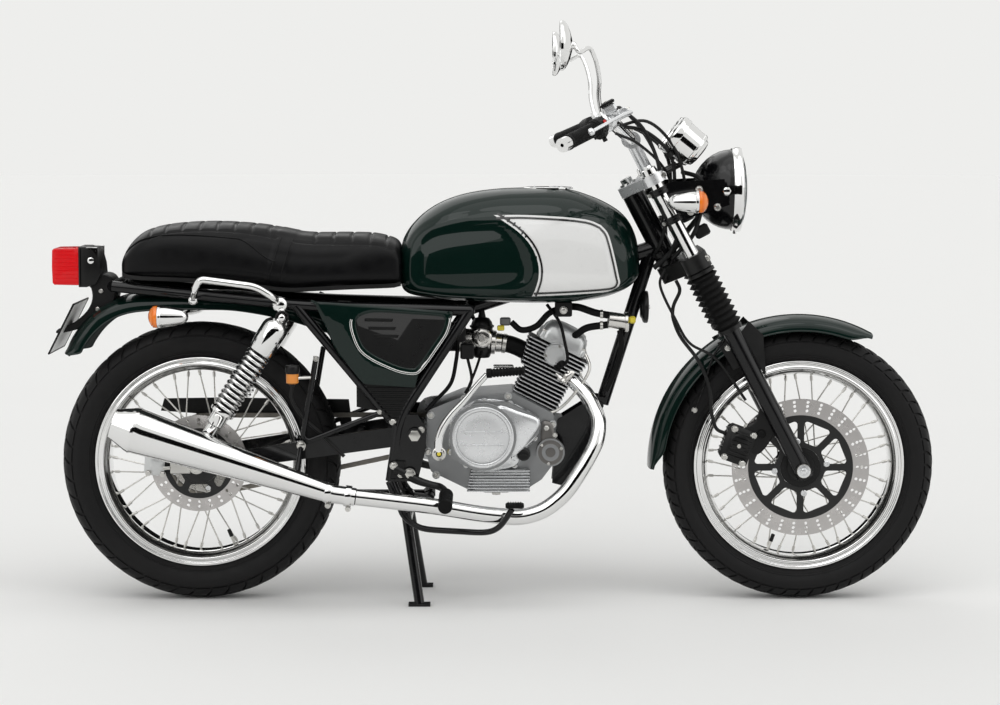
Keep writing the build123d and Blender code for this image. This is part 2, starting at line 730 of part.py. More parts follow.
# Frame
backbone_radius = 18
backbone_up = 575
down_radius = 15
cross_x = -54
cross_z = 652
pivot_x = -174
pivot_z = 380
rail_middle_x = -398
rail_middle_z = 662
rail_overhang = 8
rail_end_z = 703
rail_end_side = 80
rail_bend_share = 0.2
frame_foot_x = -227
frame_foot_z = 278
side_bend_x = -206
side_bend_z = 420
side_bend_share = 0.3
down_top_up = 597
down_foot_x = 240
down_foot_z = 436
head_foot = yoke_foot + lower_yoke_height + head_tube_gap
head_top = upper_yoke_foot - head_tube_gap
head_tube = rod(fork_at(head_foot, -fork_offset, 0), fork_at(head_top, -fork_offset, 0), head_tube_radius)
stem_room = rod(fork_at(head_foot - overrun, -fork_offset, 0), fork_at(head_top + overrun, -fork_offset, 0),
                stem_radius + run_fit)
backbone_front = fork_at(backbone_up, -fork_offset, 0)
backbone_rear = Vector(cross_x, 0, cross_z)
cross_tube = rod(backbone_rear - side * (rail_half_spacing - tube_radius),
                 backbone_rear + side * (rail_half_spacing - tube_radius), tube_radius)
backbone = join(head_tube, rod(backbone_front, backbone_rear, backbone_radius), cross_tube) - stem_room
put("backbone", backbone)
down_top = fork_at(down_top_up, -fork_offset, 0)
downtube_foot = Vector(down_foot_x, 0, down_foot_z)
downtube = trim(rod(down_top, downtube_foot, down_radius), backbone, head_tube, stem_room)


def at_rail(x, z, left=rail_half_spacing):
    return Vector(x, left, z)


rail_front = at_rail(cross_x, cross_z)
rail_middle = at_rail(rail_middle_x, rail_middle_z)
rail_end = at_rail(seat_rear_x - rail_overhang, rail_end_z, rail_end_side)
rail = join(bent_tube([rail_front, rail_middle, rail_end], tube_radius, share=rail_bend_share),
            ball(rail_front, tube_radius))
rail_loop = rod(rail_end - side * (2 * rail_end_side), rail_end, tube_radius)
rails = join(rail, mirrored(rail), rail_loop) - backbone
put("seat_rails", rails)
pivot_plate_half = 9
pivot_plate_length = 86
pivot_plate_height = 147
# Corners of the swingarm's pivot plate from the pivot
pivot_plate_shares = (
    (-0.5581, 0.3061), (0.0698, 0.3061), (0.3023, 0.0816), (0.2791, -0.2041), (0.0698, -0.6939),
    (-0.6977, -0.6939),
)
side_tube = bent_tube([rail_front, at_rail(side_bend_x, side_bend_z), at_rail(frame_foot_x, frame_foot_z)],
                      tube_radius, share=side_bend_share)
pivot_plate = slab(outline((pivot_x, pivot_z), pivot_plate_length, pivot_plate_height, pivot_plate_shares),
                   rail_half_spacing - pivot_plate_half, rail_half_spacing + pivot_plate_half)
side_tube = join(side_tube, pivot_plate)

# Rear side tubes with the muffler's stays
rear_tube_radius = 11
rear_tube_back = 34
rear_tube_drop = 30
stay_foot_x = -422
stay_foot_z = 360
stay_length = 172
stay_height = 192
stay_radius = 6
stay_bend_share = 0.12
stay_shares = ((0.192, 1), (0, 0), (1, 0.354))
rear_tube = rod(at_rail(rail_middle_x - rear_tube_back, rail_middle_z),
                at_rail(side_bend_x, side_bend_z - rear_tube_drop), rear_tube_radius)
rear_tube = trim(rear_tube, rails, side_tube)
stay_points = [at_rail(*spot) for spot in outline((stay_foot_x, stay_foot_z), stay_length, stay_height, stay_shares)]
stay = bent_tube(stay_points, stay_radius, share=stay_bend_share)
put("rear_side_tubes", pair(join(rear_tube, trim(stay, side_tube))))

# Swingarm
arm_side = 89
arm_width = 20
arm_height = 44
arm_tail_height = 34
arm_overhang = 32
pivot_radius = 16
pivot_shaft_radius = 9
pivot_shaft_overhang = 8
pivot_head_radius = 17
pivot_head_length = 6
brace_back = 126
brace_radius = 16
shock_side = 133
shock_top_x = -460
shock_top_z = 640
shock_foot_x = -628
shock_foot_z = 378
shock_eye_radius = 14
lug_from = 10
lug_to = 60
# Lug's upper corners from the shock absorber's foot, as shares of its eye's radius
lug_top_shares = ((1.143, 0.429), (-0.857, 0.714))
arm_front = Vector(pivot_x, 0, pivot_z)
arm_line = (rear_axle - arm_front).normalized()
arm_rise = Vector(arm_line.Z, 0, -arm_line.X)


def arm_corner(spot, rise):
    point = spot + arm_rise * rise
    return point.X, point.Z


tail = rear_axle + arm_line * arm_overhang
arm_outline = [arm_corner(arm_front, arm_height / 2), arm_corner(arm_front, -arm_height / 2),
               arm_corner(tail, -arm_tail_height / 2), arm_corner(tail, arm_tail_height / 2)]
arm = slab(arm_outline, arm_side - arm_width / 2, arm_side + arm_width / 2)
brace = arm_front + arm_line * brace_back
swingarm = join(arm, mirrored(arm), rod(arm_front - side * arm_side, arm_front + side * arm_side, pivot_radius),
                rod(brace - side * arm_side, brace + side * arm_side, brace_radius))
shaft_half = rail_half_spacing + tube_radius + pivot_shaft_overhang
swing_bore = rod(arm_front - side * shaft_half, arm_front + side * shaft_half, pivot_shaft_radius + run_fit)
axle_bore = rod(rear_axle - side * shaft_half, rear_axle + side * shaft_half, axle_radius + run_fit)
lug_outline = [arm_corner(rear_axle - arm_line * lug_from, 0), arm_corner(rear_axle - arm_line * lug_to, 0)]
lug_outline += outline((shock_foot_x, shock_foot_z), shock_eye_radius, shock_eye_radius, lug_top_shares)
lug = slab(lug_outline, arm_side, arm_side + arm_width / 2)
swingarm = join(swingarm, pair(lug)) - swing_bore - axle_bore
put("swingarm", swingarm)
put("rear_axle", axle(rear_axle, rear_hub_end, arm_side - arm_width / 2 - run_fit, arm_side + arm_width / 2 + run_fit))

# Side frames with the swingarm's shaft and a bolt boss
boss_x = -185
boss_z = 296
boss_radius = 14
shaft = rod(arm_front - side * shaft_half, arm_front + side * shaft_half, pivot_shaft_radius)
shaft_head = rod(arm_front + side * (shaft_half - pivot_head_length), arm_front + side * shaft_half, pivot_head_radius)
frame_boss = rod((boss_x, rail_half_spacing, boss_z), (boss_x, shaft_half, boss_z), boss_radius)
side_frame = join(trim(side_tube, rails, backbone), frame_boss)
side_frames = join(side_frame, mirrored(side_frame), shaft, pair(shaft_head))
put("side_frames", side_frames)

# Shock absorbers
spring_radius = 26
spring_core_radius = 19
spring_turns = 11
shock_body_radius = 15
shock_eye_half = 12
shock_pin_reach = 22
shock_pin_radius = 6
spring_cap_lip = 1
spring_cap_draw = 4
spring_foot_share = 0.20
spring_from_share = 0.23
spring_to_share = 0.90
shock_top = Vector(shock_top_x, shock_side, shock_top_z)
shock_foot = Vector(shock_foot_x, shock_side, shock_foot_z)
shock_run = (shock_top - shock_foot).length
shock_section = [(0, 0), (0, shock_body_radius), (shock_run * spring_foot_share, shock_body_radius),
                 (shock_run * spring_foot_share, spring_radius), (shock_run * spring_from_share, spring_radius)]
pitch = shock_run * (spring_to_share - spring_from_share) / spring_turns
for turn in range(spring_turns):
    base = shock_run * spring_from_share + pitch * turn
    shock_section += [(base, spring_core_radius), (base + pitch / 2, spring_radius)]
shock_section += [(shock_run * spring_to_share, spring_core_radius),
                  (shock_run * spring_to_share, spring_radius + spring_cap_lip),
                  (shock_run, spring_radius - spring_cap_draw), (shock_run, 0)]
shock = turned(shock_section, shock_foot, shock_top - shock_foot)
pin_from = side * (arm_side + arm_width / 2 + run_fit - shock_side)
eyes = [rod(end - side * shock_eye_half, end + side * shock_eye_half, shock_eye_radius)
        for end in (shock_foot, shock_top)]
shock_pins = [rod(end + pin_from, end + side * shock_pin_reach, shock_pin_radius) for end in (shock_foot, shock_top)]
put("shock_absorbers", pair(trim(join(shock, eyes, shock_pins), swingarm, rails)))

# Tank
tunnel_half = backbone_radius + seat_gap
tunnel_clear = 4
tank_corner_share = 0.42
# Stations: along, bottom, top and half width
tank_section_shares = (
    (0.000, 0.120, 0.560, 0.50),
    (0.120, 0.060, 0.850, 0.78),
    (0.300, 0.015, 0.985, 0.90),
    (0.530, 0.000, 1.000, 1.00),
    (0.760, 0.000, 0.955, 0.98),
    (0.890, 0.050, 0.850, 0.84),
    (0.960, 0.110, 0.640, 0.66),
    (1.000, 0.190, 0.430, 0.40),
)
# Tunnel's corners over the backbone's two ends, as shares of the tunnel's rise
tunnel_front_shares = ((2, -2), (2, 2.2))
tunnel_rear_shares = ((-1, 0.9), (-1, -2))
sections = []
for along, low, high, wide in tank_section_shares:
    width = 2 * tank_half_width * wide
    height = tank_height * (high - low)
    middle = tank_bottom_z + tank_height * (high + low) / 2
    station = Plane(origin=(tank_rear_x + tank_length * along, 0, middle), x_dir=(0, 1, 0), z_dir=(1, 0, 0))
    sections.append(station * RectangleRounded(width, height, min(width, height) * tank_corner_share))
tunnel_rise = backbone_radius + tunnel_clear
tunnel_outline = [(backbone_front.X + tunnel_rise * tunnel_front_shares[0][0],
                   backbone_rear.Z + tunnel_rise * tunnel_front_shares[0][1])]
tunnel_outline += outline((backbone_front.X, backbone_front.Z), tunnel_rise, tunnel_rise, tunnel_front_shares[1:])
tunnel_outline += outline((backbone_rear.X, backbone_rear.Z), tunnel_rise, tunnel_rise, tunnel_rear_shares)
tank = loft(sections) - slab(tunnel_outline, -tunnel_half, tunnel_half)
put("fuel_tank", tank)
cap_x = 118
cap_half_length = 55
cap_half_width = 36
cap_rise = 4
cap_depth = 12
cap_foot_z = tank.bounding_box().max.Z + cap_rise - cap_depth
cap = extrude(Plane(origin=(cap_x, 0, cap_foot_z)) * Ellipse(cap_half_length, cap_half_width), cap_depth)
put("filler_cap", cap - Pos(0, 0, seat_gap) * tank)

# Seat
seat_half_width = 128
seat_edge_radius = 9
seat_plan_radius = 30
seat_plan_margin = 10
seat_plan_height = 426
# Side view: along from the rear, up from the seat's lowest line
seat_outline_shares = (
    (0.012, 0.215), (0.060, 0.84), (0.120, 0.945), (0.240, 0.97), (0.375, 0.965), (0.555, 0.865), (0.750, 0.76),
    (0.955, 0.775), (1.000, 0.000), (0.665, -0.03), (0.200, 0.105),
)
# Plan: width where the sides begin and end, and how far along the full width runs
seat_rear_share, seat_front_share = 0.72, 0.78
seat_full_shares = (0.2, 0.7)
seat_points = [Vector(x, -seat_half_width, z)
               for x, z in outline((seat_rear_x, seat_bottom_z), seat_length, seat_height, seat_outline_shares)]
seat_edge = FilletPolyline(*seat_points, radius=seat_edge_radius, close=True)
seat = extrude(make_face(seat_edge), amount=2 * seat_half_width, dir=(0, 1, 0))
seat_side = [(seat_rear_x - seat_plan_margin, seat_half_width * seat_rear_share),
             (seat_rear_x + seat_length * seat_full_shares[0], seat_half_width),
             (seat_rear_x + seat_length * seat_full_shares[1], seat_half_width),
             (seat_front_x + seat_plan_margin, seat_half_width * seat_front_share)]
seat_plan = FilletPolyline(*seat_side, *[(x, -y) for x, y in reversed(seat_side)], radius=seat_plan_radius, close=True)
seat = seat & extrude(Pos(0, 0, seat_bottom_z - seat_height) * make_face(Plane.XY * seat_plan), seat_plan_height)
put("seat", trim(seat, tank))

# Side covers, each with a D-shaped panel sunk into it
cover_wall = 5
cover_corner = 7
cover_x = -390
cover_z = 486
cover_length = 300
cover_height = 188
cover_panel_depth = 1.8
cover_panel_corner = 6
cover_side = rail_half_spacing + tube_radius + seat_gap
cover_outline_shares = (
    (0, 1), (0.98, 0.883), (1, 0.8191), (0.9067, 0.4894), (0.7667, 0.2447), (0.7267, 0), (0.3667,
    0.0426), (0.1667, 0.3936),
)
cover_panel_shares = (
    (0.9133, 0.7872), (0.4267, 0.883), (0.29, 0.7553), (0.3433, 0.4787), (0.5133, 0.3032), (0.7333,
    0.2394),
)
cover = slab(outline((cover_x, cover_z), cover_length, cover_height, cover_outline_shares),
             cover_side, cover_side + cover_wall, corner=cover_corner)
cover_panel = slab(outline((cover_x, cover_z), cover_length, cover_height, cover_panel_shares),
                   cover_side + cover_wall - cover_panel_depth, cover_side + cover_wall + overrun,
                   corner=cover_panel_corner)
put("side_covers", pair(cover - cover_panel))

# Rear mudguard, hung behind the seat
rear_guard_overhang = 120
rear_guard_length = 596
rear_guard_z = 553
rear_guard_height = 137
rear_guard_half = 76
rear_guard_wall = 3
rear_guard_skirt = 38
rear_guard_lip = 8
rear_guard_lip_wall = 2
guard_bolt_radius = 5
guard_bolt_x = -600
guard_bolt_z = 683
# Crown line from the rear tip to the front
guard_line_shares = ((0, 0), (0.2282, 0.9489), (0.651, 1), (1, 0.635))
guard_room_shares = ((-0.07, -0.387), (1.02, 0.051))
guard_corner = (seat_rear_x - rear_guard_overhang, rear_guard_z)
guard_line = outline(guard_corner, rear_guard_length, rear_guard_height, guard_line_shares)
guard_room_ends = outline(guard_corner, rear_guard_length, rear_guard_height, guard_room_shares)
skirt_line = [(x + rear_guard_lip, z - rear_guard_skirt) for x, z in reversed(guard_line)]
thin_line = [(x + rear_guard_lip_wall, z - rear_guard_wall) for x, z in guard_line]
guard_body = slab(guard_line + skirt_line, -rear_guard_half, rear_guard_half)
guard_room = slab(guard_room_ends[:1] + thin_line + guard_room_ends[1:],
                  rear_guard_wall - rear_guard_half, rear_guard_half - rear_guard_wall)
guard_bolt_end = at_rail(guard_bolt_x, guard_bolt_z, rail_half_spacing - tube_radius - seat_gap)
guard_bolt = rod(guard_bolt_end - side * (2 * guard_bolt_end.Y), guard_bolt_end, guard_bolt_radius)
rear_guard = trim(join(trim(guard_body, guard_room, rails, backbone), guard_bolt), rails)
put("rear_guard", rear_guard)

# Tail lamp: lens and housing behind the seat
lens_back = 148
lens_length = 56
lens_height = 83
lens_z = 700
lens_half_width = 46
lens_corner = 5
housing_length = 52
housing_height = 92
housing_drop = 3
housing_margin = 3
lens_shares = (
    (1, 0), (1, 1), (0.1429, 0.9518), (0, 0.7108), (0.25, 0.1205),
)
housing_shares = (
    (0, 0), (0, 1), (0.9942, 0.9565), (1.0712, 0.2935),
)
lens_x = seat_rear_x - lens_back
housing_x = lens_x + lens_length + seat_gap
lens = slab(outline((lens_x, lens_z), lens_length, lens_height, lens_shares),
            -lens_half_width, lens_half_width, corner=lens_corner)
housing_half = lens_half_width + housing_margin
housing = slab(outline((housing_x, lens_z - housing_drop), housing_length, housing_height, housing_shares),
               -housing_half, housing_half, corner=lens_corner)
put("tail_lamp", housing, lens)

# Number plate and the tail bracket that carries it and the lamp
plate_back = 150
plate_length = 56
plate_z = 556
plate_height = 108
plate_half_width = 95
plate_thickness = 3
plate_hole_radius = 3.2
plate_hole_half = 70
plate_hole_share = 0.7
plate_drop_share = 0.5
tail_arm_half = 30
tail_arm_length = 128
tail_arm_height = 127
plate_foot = Vector(seat_rear_x - plate_back, 0, plate_z)
plate_run = Vector(plate_length, 0, plate_height)
plate_top = plate_foot + plate_run
plate_fall = plate_thickness * plate_drop_share
plate = slab([(plate_top.X, plate_top.Z), (plate_foot.X, plate_foot.Z),
              (plate_foot.X + plate_thickness, plate_foot.Z - plate_fall),
              (plate_top.X + plate_thickness, plate_top.Z - plate_fall)], -plate_half_width, plate_half_width)
hole_at = plate_foot + plate_run * plate_hole_share
plate_normal = Vector(plate_run.Z, 0, -plate_run.X).normalized() * (plate_thickness + overrun)
for way in (-1, 1):
    spot = hole_at + side * (way * plate_hole_half)
    plate = plate - rod(spot - plate_normal, spot + plate_normal, plate_hole_radius)
# Corners of the tail bracket from its lowest point on the plate
tail_arm_shares = (
    (0.7812, 1), (1, 0.8189), (0.9688, 0.5669), (0.6328, 0.1732), (0, 0), (0.0312, 0.063), (0.3984,
    0.3465), (0.8125, 0.5984), (0.8125, 0.8189), (0.5156, 0.7953), (0.5156, 0.8189),
)
tail_arm_back = 138
tail_arm_z = 596
tail_arm = slab(outline((seat_rear_x - tail_arm_back, tail_arm_z), tail_arm_length, tail_arm_height, tail_arm_shares),
                -tail_arm_half, tail_arm_half)
put("tail_bracket", trim(tail_arm, rails, rear_guard, housing, plate), plate)

# Rear indicators and grab rails
rear_joint_x = -728
rear_joint_z = 642
rear_stalk_share = 0.55
rear_housing, rear_lens = indicator(Vector(rear_joint_x, indicator_side, rear_joint_z), -1)
rear_stalk_x = rear_joint_x + indicator_body_length * rear_stalk_share
rear_stalk = rod((rear_stalk_x, rear_guard_half, rear_joint_z), (rear_stalk_x, indicator_side, rear_joint_z),
                 stalk_radius)
put("rear_indicators", pair(join(rear_housing, rear_stalk) - rear_guard), pair(rear_lens))
grab_radius = 8
grab_x = -655
grab_z = 668
grab_length = 185
grab_width = 40
grab_height = 56
grab_bend_share = 0.42
grab_side = 118
grab_shares = (
    (0, 0, 0.1786), (0.0378, 0.8, 0.5714), (0.1027, 1, 1), (0.7568, 1, 0.7143), (0.9568, 0.8,
    0.2857), (1, 0, 0),
)
grab_points = route((grab_x, grab_side, grab_z), (grab_length, grab_width, grab_height), grab_shares)
put("grab_rails", pair(trim(bent_tube(grab_points, grab_radius, share=grab_bend_share), rails)))

# Engine: cylinder with its fins, tilted forward
barrel_foot_x = 88
barrel_foot_z = 444
barrel_rise = 62
barrel_half_length = 54
barrel_half_width = 56
fin_core_share = 0.70
head_rise = 74
head_half_length = 74
head_half_width = 64
head_back = 4
head_low_fin_share = 0.84
rocker_rise = 50
rocker_half_length = 56
rocker_half_width = 48
rocker_back = 2
rocker_corner = 18
fin_thickness = 3
barrel_fins = 6
head_fins = 7
barrel_fin_share = 0.5
head_fin_share = 0.4
tilt = radians(cylinder_tilt_degrees)
bore_up = Vector(sin(tilt), 0, cos(tilt))
bore_ahead = Vector(cos(tilt), 0, -sin(tilt))
barrel_foot = Vector(barrel_foot_x, 0, barrel_foot_z)


def bore_box(up, ahead, half_length, half_width, rise):
    """Box in the cylinder's own frame that stands on the given height."""
    spot = barrel_foot + bore_up * (up + rise / 2) + bore_ahead * ahead
    return Plane(origin=spot, x_dir=bore_ahead, z_dir=bore_up) * Box(2 * half_length, 2 * half_width, rise)


barrel = [bore_box(0, 0, barrel_half_length * fin_core_share, barrel_half_width * fin_core_share, barrel_rise)]
for fin in range(barrel_fins):
    fin_up = barrel_rise * (fin + barrel_fin_share) / barrel_fins
    barrel.append(bore_box(fin_up, 0, barrel_half_length, barrel_half_width, fin_thickness))
head = [bore_box(barrel_rise, 0, head_half_length * fin_core_share, head_half_width * fin_core_share, head_rise)]
for fin in range(head_fins):
    grow = head_low_fin_share + (1 - head_low_fin_share) * fin / (head_fins - 1)
    fin_up = barrel_rise + head_rise * (fin + head_fin_share) / head_fins
    head.append(bore_box(fin_up, -head_back, head_half_length * grow, head_half_width * grow, fin_thickness))
rocker = bore_box(barrel_rise + head_rise, -rocker_back, rocker_half_length, rocker_half_width, rocker_rise)
rocker = fillet(rocker.edges().filter_by(Axis((0, 0, 0), bore_up)), rocker_corner)
put("cylinder", join(barrel, head, rocker))

# Engine: crankcase and covers
case_x = -148
case_z = 256
case_length = 282
case_height = 214
case_corner = 8
nose_half = 30
side_plate_depth = 30
clutch_x = -25
clutch_z = 377
clutch_radius = 73
clutch_depth = 46
clutch_face_radius = 57
clutch_face_depth = 3
sump_ribs = 5
sump_rib_width = 4
sump_rib_pitch = 9
sump_rib_depth = 16
sump_rib_length = 128
sump_rib_x = -52
sump_rib_z = 262
left_cover_x = 18
left_cover_z = 356
left_cover_radius = 74
left_cover_depth = 34
starter_x = 123
starter_z = 341
starter_radius = 31
starter_depth = 22
starter_arm_depth = 10
case_shares = (
    (0, 0.3458), (0.0284, 0.1869), (0.2766, 0.028), (0.3191, 0), (0.773, 0), (0.8936, 0.1028), (1,
    0.2897), (1, 0.5794), (0.9858, 0.785), (0.6667, 1), (0.2766, 0.9626), (0, 0.8131),
)
nose_shares = (
    (0.9504, 0.2056), (1.0922, 0.3458), (1.1206, 0.5794), (1.0567, 0.7196), (0.9504, 0.743),
)
side_plate_shares = (
    (0.1986, 0.7196), (0.383, 0.9299), (0.6312, 0.9159), (0.8652, 0.7664), (0.8723, 0.6028),
    (0.6667, 0.3458), (0.383, 0.2056), (0.1879, 0.3458),
)
starter_arm_shares = (
    (0.8794, 0.6729), (0.9645, 0.6729), (1.0213, 0.3925), (0.9078, 0.3458),
)


def case_outline(shares):
    return outline((case_x, case_z), case_length, case_height, shares)


def cover(x, z, radius, depth, towards):
    """Round cover on the right (-1) or left (1) face of the crankcase."""
    foot = Vector(x, towards * engine_half_width, z)
    return rod(foot, foot + side * (towards * depth), radius)


case = slab(case_outline(case_shares), -engine_half_width, engine_half_width, corner=case_corner)
case = join(case, slab(case_outline(nose_shares), -nose_half, nose_half))
clutch_face = Vector(clutch_x, -engine_half_width - clutch_depth, clutch_z)
clutch_cover = cover(clutch_x, clutch_z, clutch_radius, clutch_depth, -1)
clutch_cover = clutch_cover - rod(clutch_face - side * overrun, clutch_face + side * clutch_face_depth, clutch_face_radius)
side_plate = slab(case_outline(side_plate_shares), -engine_half_width - side_plate_depth, -engine_half_width)
sump = []
for rib in range(sump_ribs):
    rib_z = sump_rib_z + sump_rib_pitch * rib
    sump.append(slab([(sump_rib_x, rib_z), (sump_rib_x + sump_rib_length, rib_z),
                      (sump_rib_x + sump_rib_length, rib_z + sump_rib_width), (sump_rib_x, rib_z + sump_rib_width)],
                     -engine_half_width - sump_rib_depth, -engine_half_width))
left_cover = cover(left_cover_x, left_cover_z, left_cover_radius, left_cover_depth, 1)
starter = cover(starter_x, starter_z, starter_radius, starter_depth, -1)
starter_arm = slab(case_outline(starter_arm_shares), -engine_half_width - starter_arm_depth, -engine_half_width)
engine = trim(join(case, clutch_cover, side_plate, left_cover, starter, starter_arm, sump), *barrel)

# Carburettor and intake, from the head back to the air box
carb_x = -28
carb_z = 585
carb_half_width = 26
carb_cover_radius = 22
carb_body_radius = 24
carb_body_half = 40
carb_throat_radius = 21
carb_throat_half = 34
carb_throat_drop = 7
throat_fall = 6
intake_radius = 18
intake_length = 65.7
intake_fall = 24
air_duct_radius = 24
air_duct_length = 98
intake_shares = ((0, 0), (0.452, -0.25), (1, -1))
carb_spot = Vector(carb_x, 0, carb_z)
throat_rear = carb_spot - forward * carb_throat_half - upward * carb_throat_drop
throat_front = throat_rear + forward * (carb_body_half + carb_throat_half) - upward * throat_fall
carb_body = join(rod(carb_spot - side * carb_half_width, carb_spot + side * carb_half_width, carb_cover_radius),
                 rod(carb_spot - upward * carb_body_half, carb_spot + upward * carb_body_half, carb_body_radius),
                 rod(throat_rear, throat_front, carb_throat_radius))
intake_spots = outline((throat_front.X + seat_gap, throat_front.Z), intake_length, intake_fall, intake_shares)
intake = bent_tube([Vector(x, 0, z) for x, z in intake_spots], intake_radius)
air_duct = rod(throat_rear, throat_rear - forward * air_duct_length, air_duct_radius)
put("carburettor", trim(join(carb_body, intake, air_duct), *head, rocker))

# Air box behind the duct, and the battery below it
box_side_gap = 0.7
box_length = 169.7
box_height = 112
box_z = 520
box_corner = 8
battery_x = -302
battery_z = 425
battery_length = 76
battery_height = 75
box_half = rail_half_spacing - tube_radius + box_side_gap
box_x = throat_rear.X - air_duct_length - seat_gap - box_length
box_shares = ((1, 0), (1, 0.911), (0, 1), (0, 0))
battery_shares = ((1, 1), (0, 1), (0, 0.2), (1, 0))
air_box = slab(outline((box_x, box_z), box_length, box_height, box_shares), -box_half, box_half, corner=box_corner)
battery = slab(outline((battery_x, battery_z), battery_length, battery_height, battery_shares), -box_half, box_half)
put("air_box_and_battery", trim(air_box, rear_guard, rails), battery)

# Engine mounts below the downtube
engine_plate_x = 128
engine_plate_z = 254
engine_plate_length = 126
engine_plate_height = 202
engine_plate_thickness = 5
mount_bolt_radius = 8
mount_bolt_reach = 12
mount_bolt_drop = 16
mount_bolt_back = 20
engine_plate_shares = (
    (1, 0.9802), (0.746, 1), (0.0952, 0.7426), (0, 0.0396), (0.2381, 0), (0.6984, 0.5347), (0.7778,
    0.8218),
)
plate_y = nose_half + seat_gap
engine_plate = slab(outline((engine_plate_x, engine_plate_z), engine_plate_length, engine_plate_height,
                            engine_plate_shares), plate_y, plate_y + engine_plate_thickness)
mount_spot = Vector(engine_plate_x + engine_plate_length - mount_bolt_back, 0,
                    engine_plate_z + engine_plate_height - mount_bolt_back)
mount_reach = side * (plate_y + mount_bolt_reach)
mount_bolt = rod(mount_spot - mount_reach, mount_spot + mount_reach, mount_bolt_radius)
put("downtube", downtube)
put("engine_plates", join(engine_plate, mount_bolt, mirrored(engine_plate)) - [engine, downtube])

# Exhaust pipe, from the head's port round the engine's right side
port_x = 166
port_z = 500
port_side = 34
port_radius = 24
port_length = 20
exhaust_length = 466
exhaust_drop = 296
muffler_front_z = 255
# Corners: along, across and up as shares of the pipe's length, the muffler's side and the pipe's drop
exhaust_shares = (
    (0, -0.1744, 0), (0.0858, -0.3179, -0.1284), (0.1373, -0.5333, -0.3041), (0.1245, -0.6359,
    -0.4527), (0.0601, -0.7179, -0.6351), (-0.0215, -0.7692, -0.8243), (-0.1202, -0.8, -0.9493),
    (-0.2318, -0.8308, -1), (-0.4227, -0.8615, -0.9696), (-0.6094, -0.8974, -0.9122), (-0.8069,
    -0.9487, -0.8682), (-1, -1, -0.8277),
)
exhaust_points = route((port_x, 0, port_z), (exhaust_length, muffler_side, exhaust_drop), exhaust_shares)
port_spot = Vector(port_x, -port_side, port_z)
port_line = (port_spot - exhaust_points[1]).normalized()
port = rod(port_spot, port_spot + port_line * port_length, port_radius)
exhaust_pipe = trim(join(bent_tube(exhaust_points, exhaust_radius), port), *head, *barrel, rocker)
put("exhaust_pipe", exhaust_pipe)

# Muffler: inlet, long cone, short reverse cone, and the strap to its stay
muffler_inlet_length = 52
muffler_inlet_rise = 7
muffler_length = 426
muffler_rise = 139
muffler_front_radius = 20
muffler_rear_radius = 50
muffler_tip_radius = 33
muffler_tip_length = 46
muffler_wall = 4
strap_radius = 7
strap_drop = 64
strap_lean = 6
strap_side = rail_half_spacing + stay_radius
exhaust_end = exhaust_points[-1]
muffler_front = exhaust_end - forward * seat_gap
muffler_joint = exhaust_end - forward * muffler_inlet_length + upward * muffler_inlet_rise
muffler_shoulder = muffler_joint - forward * muffler_length + upward * muffler_rise
muffler_line = (muffler_shoulder - muffler_joint).normalized()
muffler_end = muffler_shoulder + muffler_line * muffler_tip_length
muffler = join(rod(muffler_front, muffler_joint, muffler_front_radius),
               cone(muffler_joint, muffler_shoulder, muffler_front_radius, muffler_rear_radius),
               cone(muffler_shoulder, muffler_end, muffler_rear_radius, muffler_tip_radius))
muffler = muffler - rod(muffler_shoulder, muffler_end + muffler_line * overrun, muffler_tip_radius - muffler_wall)
muffler_strap = rod((stay_foot_x, -strap_side - seat_gap, stay_foot_z),
                    (stay_foot_x - strap_lean, -muffler_side, stay_foot_z - strap_drop), strap_radius)
put("muffler", trim(join(muffler, muffler_strap), exhaust_pipe, stay, mirrored(stay)))

# Footrests on hangers from the side frames
peg_x = -104
peg_z = 256
peg_inner = 192
peg_outer = 302
peg_radius = 15
peg_bar_radius = 8
peg_rise = 4
peg_droop = 6
hanger_length = 114
hanger_height = 50
hanger_reach = 71.5
hanger_side = 124.5
# Corners: along, across and up from the frame to the peg
hanger_shares = (
    (0, 0, 1), (0.4386, 0.1049, 0.52), (0.8772, 0.3007, 0.32), (1, 1, 0.08),
)
hanger_points = route((peg_x - hanger_length, hanger_side, peg_z), (hanger_length, hanger_reach, hanger_height),
                      hanger_shares)
peg = rod((peg_x, peg_inner, peg_z + peg_rise), (peg_x, peg_outer, peg_z - peg_droop), peg_radius)
put("footrests", pair(trim(join(bent_tube(hanger_points, peg_bar_radius), peg), side_frames)))

# Brake pedal and kick lever on the right, gear lever on the left
pedal_x = -210
pedal_z = 174
pedal_side = 130.3
pedal_length = 250
pedal_spread = 75.7
pedal_height = 62
pedal_bar_radius = 6
pedal_pad_radius = 9
pedal_pad_half = 15
pedal_pad_lift = 2
pedal_pad_out = 3
pedal_shares = (
    (0, 0, 0.9355), (0.096, 0.0489, 0.3548), (0.24, 0.2074, 0.0323), (0.76, 0.5509, 0), (0.928,
    0.9207, 0.5161), (1, 1, 1),
)
pedal_points = route((pedal_x, -pedal_side, pedal_z), (pedal_length, -pedal_spread, pedal_height), pedal_shares)
pad_spot = pedal_points[-1] + upward * pedal_pad_lift - side * pedal_pad_out
pedal_pad = rod(pad_spot - side * pedal_pad_half, pad_spot + side * pedal_pad_half, pedal_pad_radius)
gear_x = -70
gear_z = 300
gear_length = 126
gear_spread = 24
gear_fall = 10
gear_side = 126
gear_bar_radius = 6
gear_boss_radius = 7
gear_boss_end = 132
gear_pad_radius = 10
gear_pad_half = 21
gear_pad_out = 15
gear_shares = ((0, 0, 0), (0.397, 0.333, -0.8), (1, 1, -1))
gear_points = route((gear_x, gear_side, gear_z), (gear_length, gear_spread, gear_fall), gear_shares)
gear_pad_spot = gear_points[-1] + side * gear_pad_out
